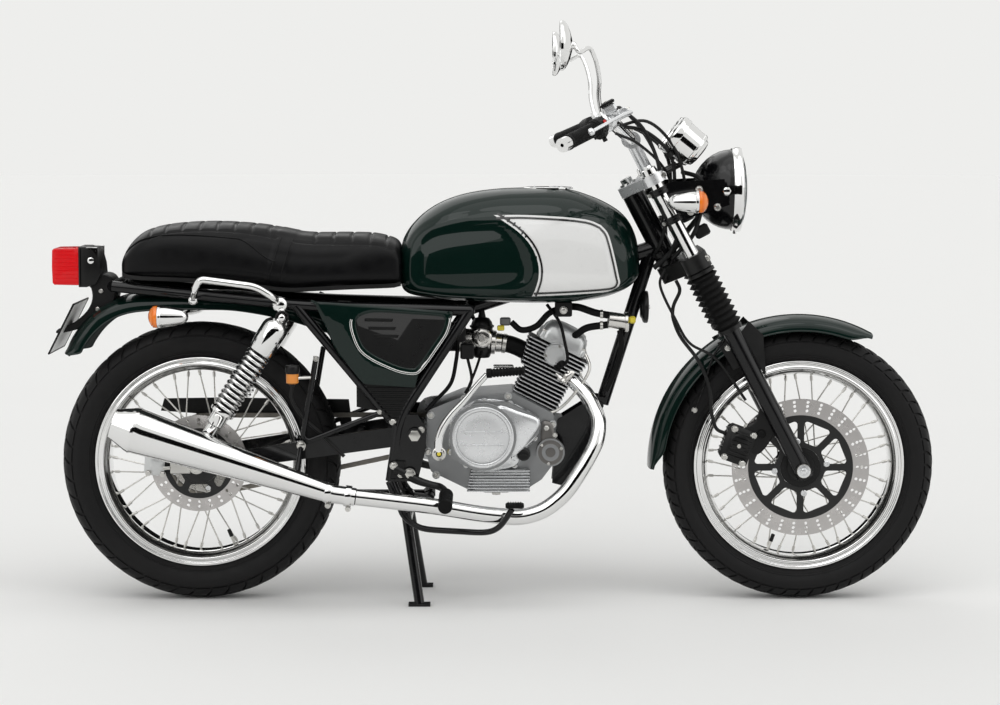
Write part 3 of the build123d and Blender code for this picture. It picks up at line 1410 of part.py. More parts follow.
gear = join(rod((gear_x, engine_half_width, gear_z), (gear_x, gear_boss_end, gear_z), gear_boss_radius),
            bent_tube(gear_points, gear_bar_radius),
            rod(gear_pad_spot - side * gear_pad_half, gear_pad_spot + side * gear_pad_half, gear_pad_radius))
kick_x = -120
kick_z = 345
kick_side = 158
kick_length = 106
kick_spread = 12
kick_height = 176
kick_bar_radius = 7.5
kick_boss_radius = 9
kick_boss_end = 164
kick_pad_radius = 9
kick_pad_length = 78
kick_pad_spread = 12
kick_pad_rise = 7
kick_shares = (
    (0, 0, 0), (0.0755, 0.3333, 0.2898), (0.5283, 0.6667, 0.6534), (1, 1, 1),
)
kick_points = route((kick_x, -kick_side, kick_z), (kick_length, -kick_spread, kick_height), kick_shares)
kick_pad_end = kick_points[-1] + Vector(kick_pad_length, -kick_pad_spread, kick_pad_rise)
kick = join(rod((kick_x, -engine_half_width, kick_z), (kick_x, -kick_boss_end, kick_z), kick_boss_radius),
            bent_tube(kick_points, kick_bar_radius), rod(kick_points[-1], kick_pad_end, kick_pad_radius))
put("foot_levers", join(bent_tube(pedal_points, pedal_bar_radius), pedal_pad), trim(gear, engine), trim(kick, engine))

# Chain and its front sprocket, in a pocket of the crankcase
gearbox_x = -112
gearbox_z = 368
front_sprocket_radius = 28
front_sprocket_side = 57
front_sprocket_reach = 4
chain_play = 1
chain_height = 11
chain_half = 6.5
chain_room_x = -170
chain_room_z = 300
chain_room_length = 104
chain_room_height = 136
chain_room_side = 58


def belt(rear, rear_radius, front, front_radius, from_y, to_y):
    """Band's solid core between two wheels, with straight tangent runs."""
    across = front - rear
    base = atan2(across.Z, across.X)
    lean = pi / 2 - (rear_radius - front_radius) / across.length
    points = []
    for centre, radius in ((rear, rear_radius), (front, front_radius)):
        for way in (1, -1):
            points.append(centre + polar(radius, base + way * lean))
    rear_far = rear + polar(rear_radius, base + pi)
    front_far = front + polar(front_radius, base)
    lift = side * (from_y - rear.Y)
    edges = [ThreePointArc(points[0] + lift, rear_far + lift, points[1] + lift), Line(points[1] + lift, points[3] + lift),
             ThreePointArc(points[3] + lift, front_far + lift, points[2] + lift), Line(points[2] + lift, points[0] + lift)]
    return extrude(make_face(edges), amount=to_y - from_y, dir=(0, 1, 0))


gearbox_axis = Vector(gearbox_x, 0, gearbox_z)
chain_inner = (sprocket_radius + chain_play, front_sprocket_radius + chain_play)
chain = belt(rear_axle, chain_inner[0] + chain_height, gearbox_axis, chain_inner[1] + chain_height,
             sprocket_side - chain_half, sprocket_side + chain_half)
chain = chain - belt(rear_axle, chain_inner[0], gearbox_axis, chain_inner[1],
                     sprocket_side - chain_half * 2, sprocket_side + chain_half * 2)
put("chain", chain)
unit_square_shares = ((0, 0), (1, 0), (1, 1), (0, 1))
chain_room = slab(outline((chain_room_x, chain_room_z), chain_room_length, chain_room_height, unit_square_shares),
                  chain_room_side, engine_half_width + overrun)
pinion = rod((gearbox_x, front_sprocket_side, gearbox_z), (gearbox_x, sprocket_side + front_sprocket_reach, gearbox_z),
             front_sprocket_radius)
put("engine_block", join(trim(engine, chain_room), pinion))

# Chain guard
chain_guard_x = -756
chain_guard_z = 344
chain_guard_length = 434
chain_guard_height = 96
chain_guard_side = 79.5
chain_guard_wall = 3
chain_guard_shares = (
    (0, 0.6875), (0.0184, 0.9792), (0.3134, 1), (0.9816, 0.9583), (1, 0.2917), (0.9493, 0.1667),
    (0.9217, 0.625), (0.3594, 0.625), (0.2673, 0), (0.212, 0), (0.1843, 0.625),
)
chain_guard = slab(outline((chain_guard_x, chain_guard_z), chain_guard_length, chain_guard_height, chain_guard_shares),
                   chain_guard_side, chain_guard_side + chain_guard_wall)
put("chain_guard", trim(chain_guard, swingarm))

# Horn ahead of the downtube
horn_x = 346
horn_z = 652
horn_depth = 22
horn_radius = 36
horn_arm_length = 38
horn_arm_rise = 4
horn_arm_radius = 6
horn_arm_bite = 10
horn_face = Vector(horn_x, 0, horn_z)
horn_back = horn_face - forward * horn_depth
horn_arm_end = horn_face - forward * horn_arm_bite
horn_arm = rod(horn_arm_end - forward * horn_arm_length + upward * horn_arm_rise, horn_arm_end, horn_arm_radius)
put("horn", trim(join(rod(horn_back, horn_face, horn_radius), horn_arm), downtube))

# Rear brake: caliper with its link to the swingarm, and the fluid reservoir
rear_caliper_degrees = 176
rear_caliper_reach = 92
rear_caliper_depth = 52
rear_caliper_height = 66
rear_caliper_half_width = 21
link_outer_y = 86
link_inner_y = 78
link_length = 58.8
link_height = 54
link_x = -744
link_z = 292
link_shares = (
    (1, 0.0741), (1, 0.5926), (0.3061, 1), (0, 1), (0, 0),
)
reservoir_x = -440
reservoir_z = 494
reservoir_side = 128
reservoir_height = 36
reservoir_radius = 13
reservoir_arm_radius = 4
reservoir_arm_length = 38
reservoir_arm_turn = 14
reservoir_arm_share = 0.333
rear_caliper_turn = radians(rear_caliper_degrees)
rear_caliper_at = rear_axle + polar(rear_caliper_reach, rear_caliper_turn) - side * disc_side
rear_caliper_frame = Plane(origin=rear_caliper_at, x_dir=polar(1, rear_caliper_turn), z_dir=(0, 1, 0))
rear_caliper = rear_caliper_frame * Box(rear_caliper_depth, rear_caliper_height, 2 * rear_caliper_half_width)
rear_disc_room = rod(rear_axle - side * (disc_side + disc_thickness / 2 + disc_clear),
                     rear_axle - side * (disc_side - disc_thickness / 2 - disc_clear), rear_disc_radius + disc_clear)
caliper_link = slab(outline((link_x, link_z), link_length, link_height, link_shares), -link_outer_y, -link_inner_y)
reservoir_foot = Vector(reservoir_x, -reservoir_side, reservoir_z)
reservoir_arm = reservoir_foot + upward * (reservoir_height * reservoir_arm_share)
reservoir = join(rod(reservoir_foot, reservoir_foot + upward * reservoir_height, reservoir_radius),
                 rod(reservoir_arm, reservoir_arm + forward * reservoir_arm_length + side * reservoir_arm_turn,
                     reservoir_arm_radius))
put("rear_brake", join(rear_caliper - rear_disc_room, trim(caliper_link, swingarm)), trim(reservoir, mirrored(stay)))

# Stand bracket below the side frames, with the side stand's eye on the left
stand_x = -198
stand_z = 218
stand_shaft_radius = 10
stand_leg_bend_x = -212
stand_leg_bend_z = 238
stand_leg_bend_share = 0.4
prop_eye_x = -150
prop_eye_side = 146
prop_eye_z = 212
prop_eye_radius = 12
prop_pin_radius = 6
prop_washer_radius = 10
prop_arm_radius = 7
prop_half = 6
prop_length = 190
prop_pin_in = 17
prop_pin_out = 12
prop_arm_in = 14
prop_arm_back = 36
prop_arm_side = 100
prop_arm_rise = 2
stand_axis = Vector(stand_x, 0, stand_z)
lower_leg = bent_tube([at_rail(frame_foot_x, frame_foot_z), at_rail(stand_leg_bend_x, stand_leg_bend_z),
                       at_rail(stand_x, stand_z)], tube_radius, share=stand_leg_bend_share)
stand_shaft = rod(stand_axis - side * rail_half_spacing, stand_axis + side * rail_half_spacing, stand_shaft_radius)
prop_axis = Vector(0, 0.8, 0.6)
prop_eye = Vector(prop_eye_x, prop_eye_side, prop_eye_z)
prop_arm_root = Vector(prop_eye_x - prop_arm_back, prop_arm_side, prop_eye_z + prop_arm_rise)
prop_pin = join(rod(prop_eye - prop_axis * prop_pin_in, prop_eye + prop_axis * prop_pin_out, prop_pin_radius),
                rod(prop_eye + prop_axis * (prop_half + side_play), prop_eye + prop_axis * prop_pin_out,
                    prop_washer_radius),
                rod(prop_eye - prop_axis * prop_pin_in, prop_eye - prop_axis * (prop_half + side_play),
                    prop_eye_radius),
                rod(prop_eye - prop_axis * prop_arm_in, prop_arm_root, prop_arm_radius))
carrier = join(stand_shaft, pair(ball(at_rail(stand_x, stand_z), tube_radius)), pair(lower_leg), prop_pin)
put("stand_bracket", trim(carrier, side_tube, mirrored(side_tube)))

# Centre stand
stand_collar_radius = 17
stand_collar_side = 72
stand_collar_half = 13
stand_foot_x = -165
stand_foot_side = 112
stand_leg_radius = 11
stand_bar_radius = 9
stand_bar_z = 180
stand_pad_half = 24
stand_pad_height = 7
collar = rod(stand_axis + side * (stand_collar_side - stand_collar_half),
             stand_axis + side * (stand_collar_side + stand_collar_half), stand_collar_radius)
leg = rod(stand_axis + side * stand_collar_side, (stand_foot_x, stand_foot_side, stand_leg_radius / 2), stand_leg_radius)
pad = Pos(stand_foot_x, stand_foot_side, stand_pad_height / 2) * Box(2 * stand_pad_half, 2 * stand_leg_radius,
                                                                     stand_pad_height)
floor_cut = Pos(stand_foot_x, stand_foot_side, -stand_pad_half) * Box(4 * stand_pad_half, 4 * stand_pad_half,
                                                                      2 * stand_pad_half)
foot = join(collar, leg, pad) - floor_cut
bar_drop_share = (stand_z - stand_bar_z) / stand_z
bar_at = Vector(stand_x + (stand_foot_x - stand_x) * bar_drop_share, 0, stand_bar_z)
bar_reach = side * (stand_collar_side + (stand_foot_side - stand_collar_side) * bar_drop_share)
stand = join(foot, mirrored(foot), rod(bar_at - bar_reach, bar_at + bar_reach, stand_bar_radius))
stand_bore = rod(stand_axis - side * rail_half_spacing, stand_axis + side * rail_half_spacing,
                 stand_shaft_radius + run_fit)
put("centre_stand", stand - stand_bore)

# Side stand, folded along the machine
prop_hub_wall = 2
prop_start_gap = 0.8
prop_bar_radius = 8
prop_shoe_radius = 16
prop_shoe_half = 4
prop_tip = prop_eye - forward * prop_length
prop = join(rod(prop_eye - prop_axis * prop_half, prop_eye + prop_axis * prop_half, prop_eye_radius + prop_hub_wall),
            rod(prop_eye - forward * (prop_eye_radius + prop_start_gap), prop_tip, prop_bar_radius),
            rod(prop_tip - upward * prop_shoe_half, prop_tip + upward * prop_shoe_half, prop_shoe_radius))
prop_bore = rod(prop_eye - prop_axis * 2 * prop_half, prop_eye + prop_axis * 2 * prop_half, prop_pin_radius + run_fit)
put("side_stand", prop - prop_bore)

os.makedirs("parts", exist_ok=True)
for name, body in nodes.items():
    export_step(body, f"parts/{name}.step")
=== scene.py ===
import math
import random

import bmesh
import bpy
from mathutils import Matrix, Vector
from mathutils.bvhtree import BVHTree


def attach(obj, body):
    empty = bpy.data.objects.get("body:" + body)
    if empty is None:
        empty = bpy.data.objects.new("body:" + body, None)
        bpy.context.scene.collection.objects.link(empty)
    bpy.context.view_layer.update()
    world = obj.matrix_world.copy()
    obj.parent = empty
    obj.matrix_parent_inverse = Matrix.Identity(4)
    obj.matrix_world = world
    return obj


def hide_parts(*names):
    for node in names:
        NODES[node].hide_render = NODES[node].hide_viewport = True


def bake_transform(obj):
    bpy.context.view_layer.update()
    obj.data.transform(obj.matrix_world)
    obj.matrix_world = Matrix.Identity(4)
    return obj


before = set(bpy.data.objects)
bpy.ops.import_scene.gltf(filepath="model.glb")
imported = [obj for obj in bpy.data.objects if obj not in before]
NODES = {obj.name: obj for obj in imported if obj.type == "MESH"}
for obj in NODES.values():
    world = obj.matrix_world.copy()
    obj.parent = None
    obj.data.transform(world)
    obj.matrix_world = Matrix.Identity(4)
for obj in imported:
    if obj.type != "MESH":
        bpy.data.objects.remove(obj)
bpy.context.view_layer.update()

bl_info = {
    "name": "Cafe Racer Motorcycle",
    "version": (1, 0, 0),
    "blender": (4, 5, 0),
    "location": "3D View > Sidebar > Cafe Racer",
    "description": "Dresses the packed motorcycle with its detailed pieces, finishes and studio",
    "category": "Object",
}

# Places and sizes are in millimetres in the tables and shapes: X forward, Y to the left, Z up.
MM = 0.001
RAKE = math.radians(27.5)
FORK_UP = Vector((-math.sin(RAKE), 0, math.cos(RAKE)))
FORK_AHEAD = Vector((math.cos(RAKE), 0, math.sin(RAKE)))
LEFT = Vector((0, 1, 0))
FORWARD = Vector((1, 0, 0))
UP = Vector((0, 0, 1))
FRONT_AXLE = Vector((677, 0, 301))
REAR_AXLE = Vector((-653, 0, 310))
FORK_SIDE = 92
RIM_FLANGE = 234


def fork_at(up, ahead, left):
    """Place in the fork's own frame: up the legs, ahead of them, to the left."""
    return FRONT_AXLE + FORK_UP * up + FORK_AHEAD * ahead + LEFT * left


def polar(radius, angle):
    """Arm in the wheels' plane, from straight ahead towards straight up."""
    return FORWARD * (radius * math.cos(angle)) + UP * (radius * math.sin(angle))


def across_of(axis):
    """Two directions square to an axis and to each other."""
    axis = Vector(axis).normalized()
    first = axis.cross(UP if abs(axis.z) < 0.9 else FORWARD).normalized()
    return first, axis.cross(first).normalized()


def smooth_line(points, steps=8, closed=False):
    """Even curve through the given places."""
    points = [Vector(p) for p in points]
    count = len(points)
    line = []
    for i in range(count if closed else count - 1):
        if closed:
            a, b, c, d = (points[(i + k) % count] for k in (-1, 0, 1, 2))
        else:
            b, c = points[i], points[i + 1]
            a = points[i - 1] if i else b * 2 - c
            d = points[i + 2] if i + 2 < count else c * 2 - b
        for step in range(steps):
            t = step / steps
            line.append(((b * 2) + (c - a) * t + (a * 2 - b * 5 + c * 4 - d) * t * t
                         + (b * 3 - a - c * 3 + d) * t * t * t) * 0.5)
    if not closed:
        line.append(points[-1])
    return line


def ramp(value, low, high):
    """Soft step from 0 at low to 1 at high."""
    share = min(max((value - low) / (high - low), 0), 1)
    return share * share * (3 - 2 * share)


def between(table, place):
    """Value of a table of (place, value, ...) rows at a place, smooth from row to row."""
    if place <= table[0][0]:
        return table[0][1:]
    for i in range(len(table) - 1):
        if place <= table[i + 1][0]:
            span = table[i + 1][0] - table[i][0]
            t = (place - table[i][0]) / span
            values = []
            for k in range(1, len(table[0])):
                b, c = table[i][k], table[i + 1][k]
                before = table[i - 1] if i else None
                after = table[i + 2] if i + 2 < len(table) else None
                left_slope = (c - before[k]) / (table[i + 1][0] - before[0]) * span if before else c - b
                right_slope = (after[k] - b) / (after[0] - table[i][0]) * span if after else c - b
                t2, t3 = t * t, t * t * t
                values.append((2 * t3 - 3 * t2 + 1) * b + (t3 - 2 * t2 + t) * left_slope
                              + (3 * t2 - 2 * t3) * c + (t3 - t2) * right_slope)
            return tuple(values)
    return table[-1][1:]


class Shape:
    """Mesh under construction: places in millimetres, faces, and the finish of each face."""

    def __init__(self):
        self.points = []
        self.faces = []
        self.marks = []

    def add(self, points, faces, mark=0):
        base = len(self.points)
        self.points.extend(Vector(p) for p in points)
        self.faces.extend(tuple(base + i for i in face) for face in faces)
        self.marks.extend([mark] * len(faces))

    def rings(self, rows, mark=0, loop=False, caps=False, seam=True):
        """Skin over rows of places; loop joins the last row to the first, seam closes each row."""
        wide = len(rows[0])
        faces = []
        for i in range(len(rows) if loop else len(rows) - 1):
            for j in range(wide if seam else wide - 1):
                k, n = (i + 1) % len(rows), (j + 1) % wide
                faces.append((i * wide + j, i * wide + n, k * wide + n, k * wide + j))
        if caps:
            faces.append(tuple(range(wide)))
            faces.append(tuple(reversed(range((len(rows) - 1) * wide, len(rows) * wide))))
        self.add([p for row in rows for p in row], faces, mark)

    def lathe(self, origin, axis, section, steps=48, mark=0, loop=False):
        """Turned skin from (along, radius) pairs; a radius of 0 closes the end with a fan."""
        axis = Vector(axis).normalized()
        first, second = across_of(axis)
        origin = Vector(origin)
        rows = []
        for along, radius in section:
            centre = origin + axis * along
            rows.append([centre + (first * math.cos(a) + second * math.sin(a)) * max(radius, 0.01)
                         for a in (2 * math.pi * s / steps for s in range(steps))])
        self.rings(rows, mark, loop=loop)

    def rod(self, start, end, radius, mark=0, steps=20, bevel=None, end_radius=None):
        """Round bar with chamfered ends."""
        start, end = Vector(start), Vector(end)
        length = (end - start).length
        last = radius if end_radius is None else end_radius
        bevel = min(radius, last) * 0.15 if bevel is None else bevel
        self.lathe(start, end - start, [(0, 0), (0, radius - bevel), (bevel, radius), (length - bevel, last),
                                        (length, last - bevel), (length, 0)], steps, mark)

    def tube(self, route, radius, steps=12, mark=0, caps=True, flat=1.0):
        """Round skin along a route; radius may be one number or a list."""
        route = [Vector(p) for p in route]
        radii = radius if isinstance(radius, (list, tuple)) else [radius] * len(route)
        heading = (route[1] - route[0]).normalized()
        first, second = across_of(heading)
        rows = []
        for i, place in enumerate(route):
            ahead = route[min(i + 1, len(route) - 1)] - route[max(i - 1, 0)]
            ahead.normalize()
            turn = heading.rotation_difference(ahead)
            first = turn @ first
            second = turn @ second
            heading = ahead
            rows.append([place + (first * math.cos(a) + second * math.sin(a) * flat) * radii[i]
                         for a in (2 * math.pi * s / steps for s in range(steps))])
        self.rings(rows, mark, caps=caps)

    def block(self, centre, sizes, axes=(FORWARD, LEFT, UP), bevel=1.5, mark=0):
        """Box with chamfered edges, along its own three axes."""
        centre = Vector(centre)
        half = [s / 2 for s in sizes]
        bevel = min(bevel, min(half) * 0.6)
        rows = []
        for along, inset in ((-1, bevel), (-1, 0), (1, 0), (1, bevel)):
            lift = half[2] - (bevel if inset == 0 else 0)
            corners = []
            for sx, sy in ((1, 1), (-1, 1), (-1, -1), (1, -1)):
                x, y = half[0] - inset, half[1] - inset
                pair = [(x, y - bevel), (x - bevel, y)]
                if sx * sy < 0:
                    pair.reverse()
                for px, py in pair:
                    spot = centre + axes[0] * (sx * px) + axes[1] * (sy * py)
                    corners.append(spot + axes[2] * (along * lift))
            rows.append(corners)
        self.rings(rows, mark, caps=True)

    def plate(self, outline, depth, mark=0, bevel=0.6):
        """Flat plate from an outline in space and the vector of its thickness, with eased edges."""
        outline = [Vector(p) for p in outline]
        depth = Vector(depth)
        middle = sum(outline, Vector()) / len(outline)
        ease = depth.normalized() * bevel
        count = len(outline)
        pulled = []
        for i, p in enumerate(outline):
            before = (p - outline[i - 1]).normalized()
            after = (outline[(i + 1) % count] - p).normalized()
            inward = (after - before)
            if inward.length < 0.05:
                inward = depth.cross(after)
            inward.normalize()
            if inward.dot(middle - p) < 0 and count < 9:
                inward = -inward
            pulled.append(p + inward * bevel)
        rows = [pulled, [p + ease for p in outline], [p + depth - ease for p in outline],
                [p + depth for p in pulled]]
        self.rings(rows, mark, caps=True)

    def slab(self, outline, levels, mark=0):
        """Solid between the levels of a side outline, from (inset, Y) pairs."""
        rows = []
        for inset, y in levels:
            ring = inset_outline(outline, inset) if inset else outline
            rows.append([Vector((x, y, z)) for x, z in ring])
        self.rings(rows, mark, caps=True)

    def bolt(self, head, axis, radius=6, height=5, mark=0, socket=False):
        """Hexagon head, or a round head with a socket, that sits on a surface and faces along an axis."""
        axis = Vector(axis).normalized()
        head = Vector(head)
        if socket:
            self.lathe(head, axis, [(-1, radius), (height * 0.7, radius), (height, radius * 0.8),
                                    (height, radius * 0.5), (height * 0.5, radius * 0.45),
                                    (height * 0.5, 0)], 16, mark)
            return
        self.lathe(head, axis, [(-1, radius * 1.25), (1, radius * 1.25), (1.2, radius)], 20, mark)
        self.lathe(head, axis, [(1, radius), (height - 0.8, radius), (height, radius * 0.82), (height, 0)], 6,
                   mark)

    def mirror(self):
        """Adds the same skin on the other side of the machine."""
        base = len(self.points)
        self.points.extend([Vector((p.x, -p.y, p.z)) for p in self.points])
        self.faces.extend([tuple(base + i for i in reversed(face)) for face in self.faces])
        self.marks.extend(list(self.marks))

    def build(self, name, finishes, body, sharp=38):
        """Turns the skin into a piece that rides on a body, in metres."""
        mesh = bpy.data.meshes.new(name)
        mesh.from_pydata([p * MM for p in self.points], [], self.faces)
        for finish in finishes if isinstance(finishes, (list, tuple)) else [finishes]:
            mesh.materials.append(finish_of(finish))
        mesh.polygons.foreach_set("material_index", self.marks)
        mesh.validate()
        work = bmesh.new()
        work.from_mesh(mesh)
        bmesh.ops.remove_doubles(work, verts=work.verts, dist=0.00002)
        bmesh.ops.recalc_face_normals(work, faces=work.faces)
        work.to_mesh(mesh)
        work.free()
        mesh.shade_smooth()
        mesh.set_sharp_from_angle(angle=math.radians(sharp))
        piece = bpy.data.objects.new(name, mesh)
        bpy.context.scene.collection.objects.link(piece)
        if body:
            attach(piece, body)
        return piece


def even_outline(outline, steps=4):
    """Rounded closed outline in X and Z."""
    return [(p.x, p.y) for p in smooth_line([Vector((x, z, 0)) for x, z in outline], steps, closed=True)]


def tree_of(shape):
    """Search tree over a skin, in millimetres."""
    return BVHTree.FromPolygons([tuple(p) for p in shape.points], shape.faces)


def drape(tree, x, z, way, lift, start=400):
    """Place on a skin's side at an X and Z, a little proud of it; way is 1 for left, -1 for right."""
    hit, normal = tree.ray_cast(Vector((x, way * start, z)), Vector((0, -way, 0)))[:2]
    if hit is None:
        hit, normal = tree.find_nearest(Vector((x, way * start * 0.3, z)))[:2]
    if normal.y * way < 0:
        normal = -normal
    return hit + normal * lift


def inset_outline(outline, depth):
    """Closed outline in X and Z moved inwards by an even width."""
    area = sum(a[0] * b[1] - b[0] * a[1] for a, b in zip(outline, outline[1:] + outline[:1]))
    turn = 1 if area > 0 else -1
    moved = []
    count = len(outline)
    for i in range(count):
        before, here, after = (Vector((outline[(i + k) % count][0], outline[(i + k) % count][1])) for k in (-1,
                                                                                                            0,
                                                                                                            1))
        run_in = (here - before).normalized()
        run_out = (after - here).normalized()
        normal_in = Vector((-run_in.y, run_in.x)) * turn
        normal_out = Vector((-run_out.y, run_out.x)) * turn
        middle = (normal_in + normal_out)
        middle.normalize()
        moved.append(tuple(here + middle * (depth / max(middle.dot(normal_out), 0.12))))
    return moved


def side_runs(runs, count):
    """Each side of an outline resampled evenly to the same number of places."""
    sides = []
    for run in runs:
        line = smooth_line([Vector((x, z, 0)) for x, z in run], 12)
        lengths = [0]
        for a, b in zip(line, line[1:]):
            lengths.append(lengths[-1] + (b - a).length)
        side_points = []
        k = 0
        for i in range(count):
            want = lengths[-1] * i / (count - 1)
            while k < len(line) - 2 and lengths[k + 1] < want:
                k += 1
            share = (want - lengths[k]) / max(lengths[k + 1] - lengths[k], 1e-9)
            place = line[k].lerp(line[k + 1], share)
            side_points.append((place.x, place.y))
        sides.append(side_points)
    return sides


def patch_grid(sides):
    """Even grid of places inside four sides that run round an outline in order."""
    top, right, bottom, left = sides[0], sides[1], list(reversed(sides[2])), list(reversed(sides[3]))
    count = len(top)
    rows = []
    for i in range(count):
        v = i / (count - 1)
        row = []
        for j in range(count):
            u = j / (count - 1)
            x, z = ((1 - v) * top[j][k] + v * bottom[j][k] + (1 - u) * left[i][k] + u * right[i][k]
                    - ((1 - u) * (1 - v) * top[0][k] + u * (1 - v) * top[-1][k]
                       + (1 - u) * v * bottom[0][k] + u * v * bottom[-1][k]) for k in (0, 1))
            row.append((x, z))
        rows.append(row)
    return rows


class CafeColours(bpy.types.PropertyGroup):
    """Colours that a user would change."""
    paint: bpy.props.FloatVectorProperty(
        name="Paint", description="Colour of the tank, covers and guards", subtype="COLOR", size=3, min=0,
        max=1, default=(0.0012, 0.0085, 0.0062))
    panel: bpy.props.FloatVectorProperty(
        name="Tank panel", description="Colour of the panel and stripes on the tank", subtype="COLOR", size=3,
        min=0, max=1, default=(0.80, 0.80, 0.79))
    leather: bpy.props.FloatVectorProperty(
        name="Seat", description="Colour of the seat's cover", subtype="COLOR", size=3, min=0, max=1,
        default=(0.0025, 0.0025, 0.0028))
    indicator: bpy.props.FloatVectorProperty(
        name="Indicator lenses", description="Colour of the indicator lenses", subtype="COLOR", size=3, min=0,
        max=1, default=(0.95, 0.26, 0.02))


# Finish: colour, second colour, metal, roughness, its spread, relief kind, relief size (1/m), relief depth (mm)
FINISHES = {
    "paint": ((0.0012, 0.0085, 0.0062), (0.0018, 0.0115, 0.0085), 0, 0.34, 0.05, "grain", 260, 0.01),
    "panel": ((0.80, 0.80, 0.79), (0.76, 0.76, 0.75), 0, 0.30, 0.05, "grain", 260, 0.01),
    "stripe_black": ((0.010, 0.010, 0.010), (0.016, 0.016, 0.016), 0, 0.30, 0.05, "grain", 260, 0.01),
    "leather": ((0.0035, 0.0035, 0.0038), (0.0055, 0.0055, 0.006), 0, 0.36, 0.08, "leather", 900, 0.10),
    "stitching": ((0.020, 0.020, 0.022), (0.030, 0.030, 0.032), 0, 0.60, 0.05, "weave", 1400, 0.10),
    "tyre": ((0.0085, 0.0085, 0.009), (0.0125, 0.012, 0.012), 0, 0.56, 0.10, "grain", 1500, 0.06),
    "rubber": ((0.0035, 0.0035, 0.0035), (0.0055, 0.0055, 0.0055), 0, 0.54, 0.08, "grain", 1800, 0.05),
    "chrome": ((0.84, 0.84, 0.84), (0.78, 0.78, 0.77), 1, 0.07, 0.03, "grain", 300, 0.006),
    "satin_chrome": ((0.72, 0.71, 0.69), (0.64, 0.62, 0.59), 1, 0.20, 0.06, "brushed", 500, 0.010),
    "cast_alloy": ((0.66, 0.67, 0.67), (0.58, 0.59, 0.59), 0.7, 0.36, 0.07, "cast", 1300, 0.05),
    "machined_alloy": ((0.80, 0.81, 0.82), (0.75, 0.76, 0.77), 0.65, 0.27, 0.03, "brushed", 700, 0.003),
    # Crankcase alloy held darker than the covers as painted shade, for the shade that falls behind the covers
    # and between the engine's parts
    "case_alloy": ((0.34, 0.345, 0.35), (0.27, 0.275, 0.28), 1, 0.42, 0.07, "cast", 1300, 0.05),
    "dark_alloy": ((0.20, 0.19, 0.18), (0.14, 0.135, 0.13), 1, 0.44, 0.08, "cast", 1300, 0.06),
    "frame_black": ((0.0025, 0.0025, 0.003), (0.004, 0.004, 0.0045), 0, 0.22, 0.06, "grain", 220, 0.02),
    "satin_black": ((0.004, 0.004, 0.004), (0.0065, 0.0065, 0.0065), 0, 0.36, 0.08, "cast", 1100, 0.04),
    "black_plastic": ((0.005, 0.005, 0.005), (0.008, 0.008, 0.008), 0, 0.45, 0.08, "cast", 1600, 0.05),
    "grey_plastic": ((0.055, 0.052, 0.056), (0.075, 0.072, 0.075), 0, 0.52, 0.08, "cast", 1600, 0.05),
    "zinc": ((0.70, 0.69, 0.66), (0.58, 0.57, 0.54), 1, 0.30, 0.08, "brushed", 900, 0.010),
    "disc_steel": ((0.60, 0.58, 0.57), (0.52, 0.50, 0.49), 1, 0.30, 0.07, "turned", 1600, 0.012),
    "chain_steel": ((0.30, 0.28, 0.25), (0.20, 0.19, 0.17), 1, 0.40, 0.10, "grain", 900, 0.04),
    "spring_chrome": ((0.80, 0.80, 0.80), (0.72, 0.72, 0.72), 1, 0.10, 0.04, "grain", 300, 0.006),
    "amber_fluid": ((0.80, 0.30, 0.05), (0.70, 0.24, 0.04), 0, 0.20, 0.05, "grain", 300, 0.01),
    "amber_lens": ((0.95, 0.26, 0.02), (0.90, 0.20, 0.01), 0, 0.12, 0.03, "ribs", 260, 0.25),
    "red_lens": ((0.82, 0.006, 0.010), (0.72, 0.004, 0.008), 0, 0.20, 0.03, "prism", 220, 0.35),
    "red_plastic": ((0.60, 0.015, 0.012), (0.52, 0.012, 0.010), 0, 0.40, 0.06, "cast", 1600, 0.04),
    "yellow_mark": ((0.75, 0.62, 0.05), (0.66, 0.54, 0.04), 0, 0.45, 0.06, "cast", 1600, 0.03),
    "dial_face": ((0.010, 0.010, 0.011), (0.014, 0.014, 0.015), 0, 0.40, 0.05, "cast", 1600, 0.01),
    "dial_white": ((0.80, 0.80, 0.78), (0.74, 0.74, 0.72), 0, 0.45, 0.05, "cast", 1600, 0.01),
    "mirror_glass": ((0.90, 0.91, 0.92), (0.86, 0.87, 0.88), 1, 0.02, 0.01, "grain", 200, 0.002),
    "reflector": ((0.92, 0.92, 0.92), (0.86, 0.86, 0.86), 1, 0.08, 0.03, "ribs", 120, 0.30),
    "hose": ((0.010, 0.010, 0.010), (0.015, 0.015, 0.015), 0, 0.42, 0.08, "weave", 900, 0.08),
    "gasket_grey": ((0.16, 0.16, 0.16), (0.12, 0.12, 0.12), 0, 0.60, 0.08, "cast", 1200, 0.05),
    "plate_white": ((0.78, 0.78, 0.77), (0.72, 0.72, 0.71), 0, 0.40, 0.06, "grain", 240, 0.02),
}
# Clear lacquer over a finish: weight, roughness
LACQUER = {"paint": (0.6, 0.03), "panel": (1.0, 0.03), "stripe_black": (1.0, 0.03), "frame_black": (0.3, 0.05),
           "amber_lens": (1.0, 0.02), "red_lens": (0.3, 0.04), "leather": (0.0, 0.3)}
# How far a finish's own reflection is held back, where 0.5 is the plain level
DULLED = {"red_lens": 0.1, "amber_lens": 0.2, "tyre": 0.16, "rubber": 0.12, "leather": 0.15, "paint": 0.04,
          "black_plastic": 0.25, "satin_black": 0.28, "stripe_black": 0.1, "stitching": 0.2, "frame_black": 0.2,
          "hose": 0.2, "panel": 0.2}
PLAIN_REFLECTION = 0.5
# Colour that the user may change, for each finish that has one
SET_COLOURS = {"paint": "paint", "panel": "panel", "leather": "leather", "amber_lens": "indicator"}


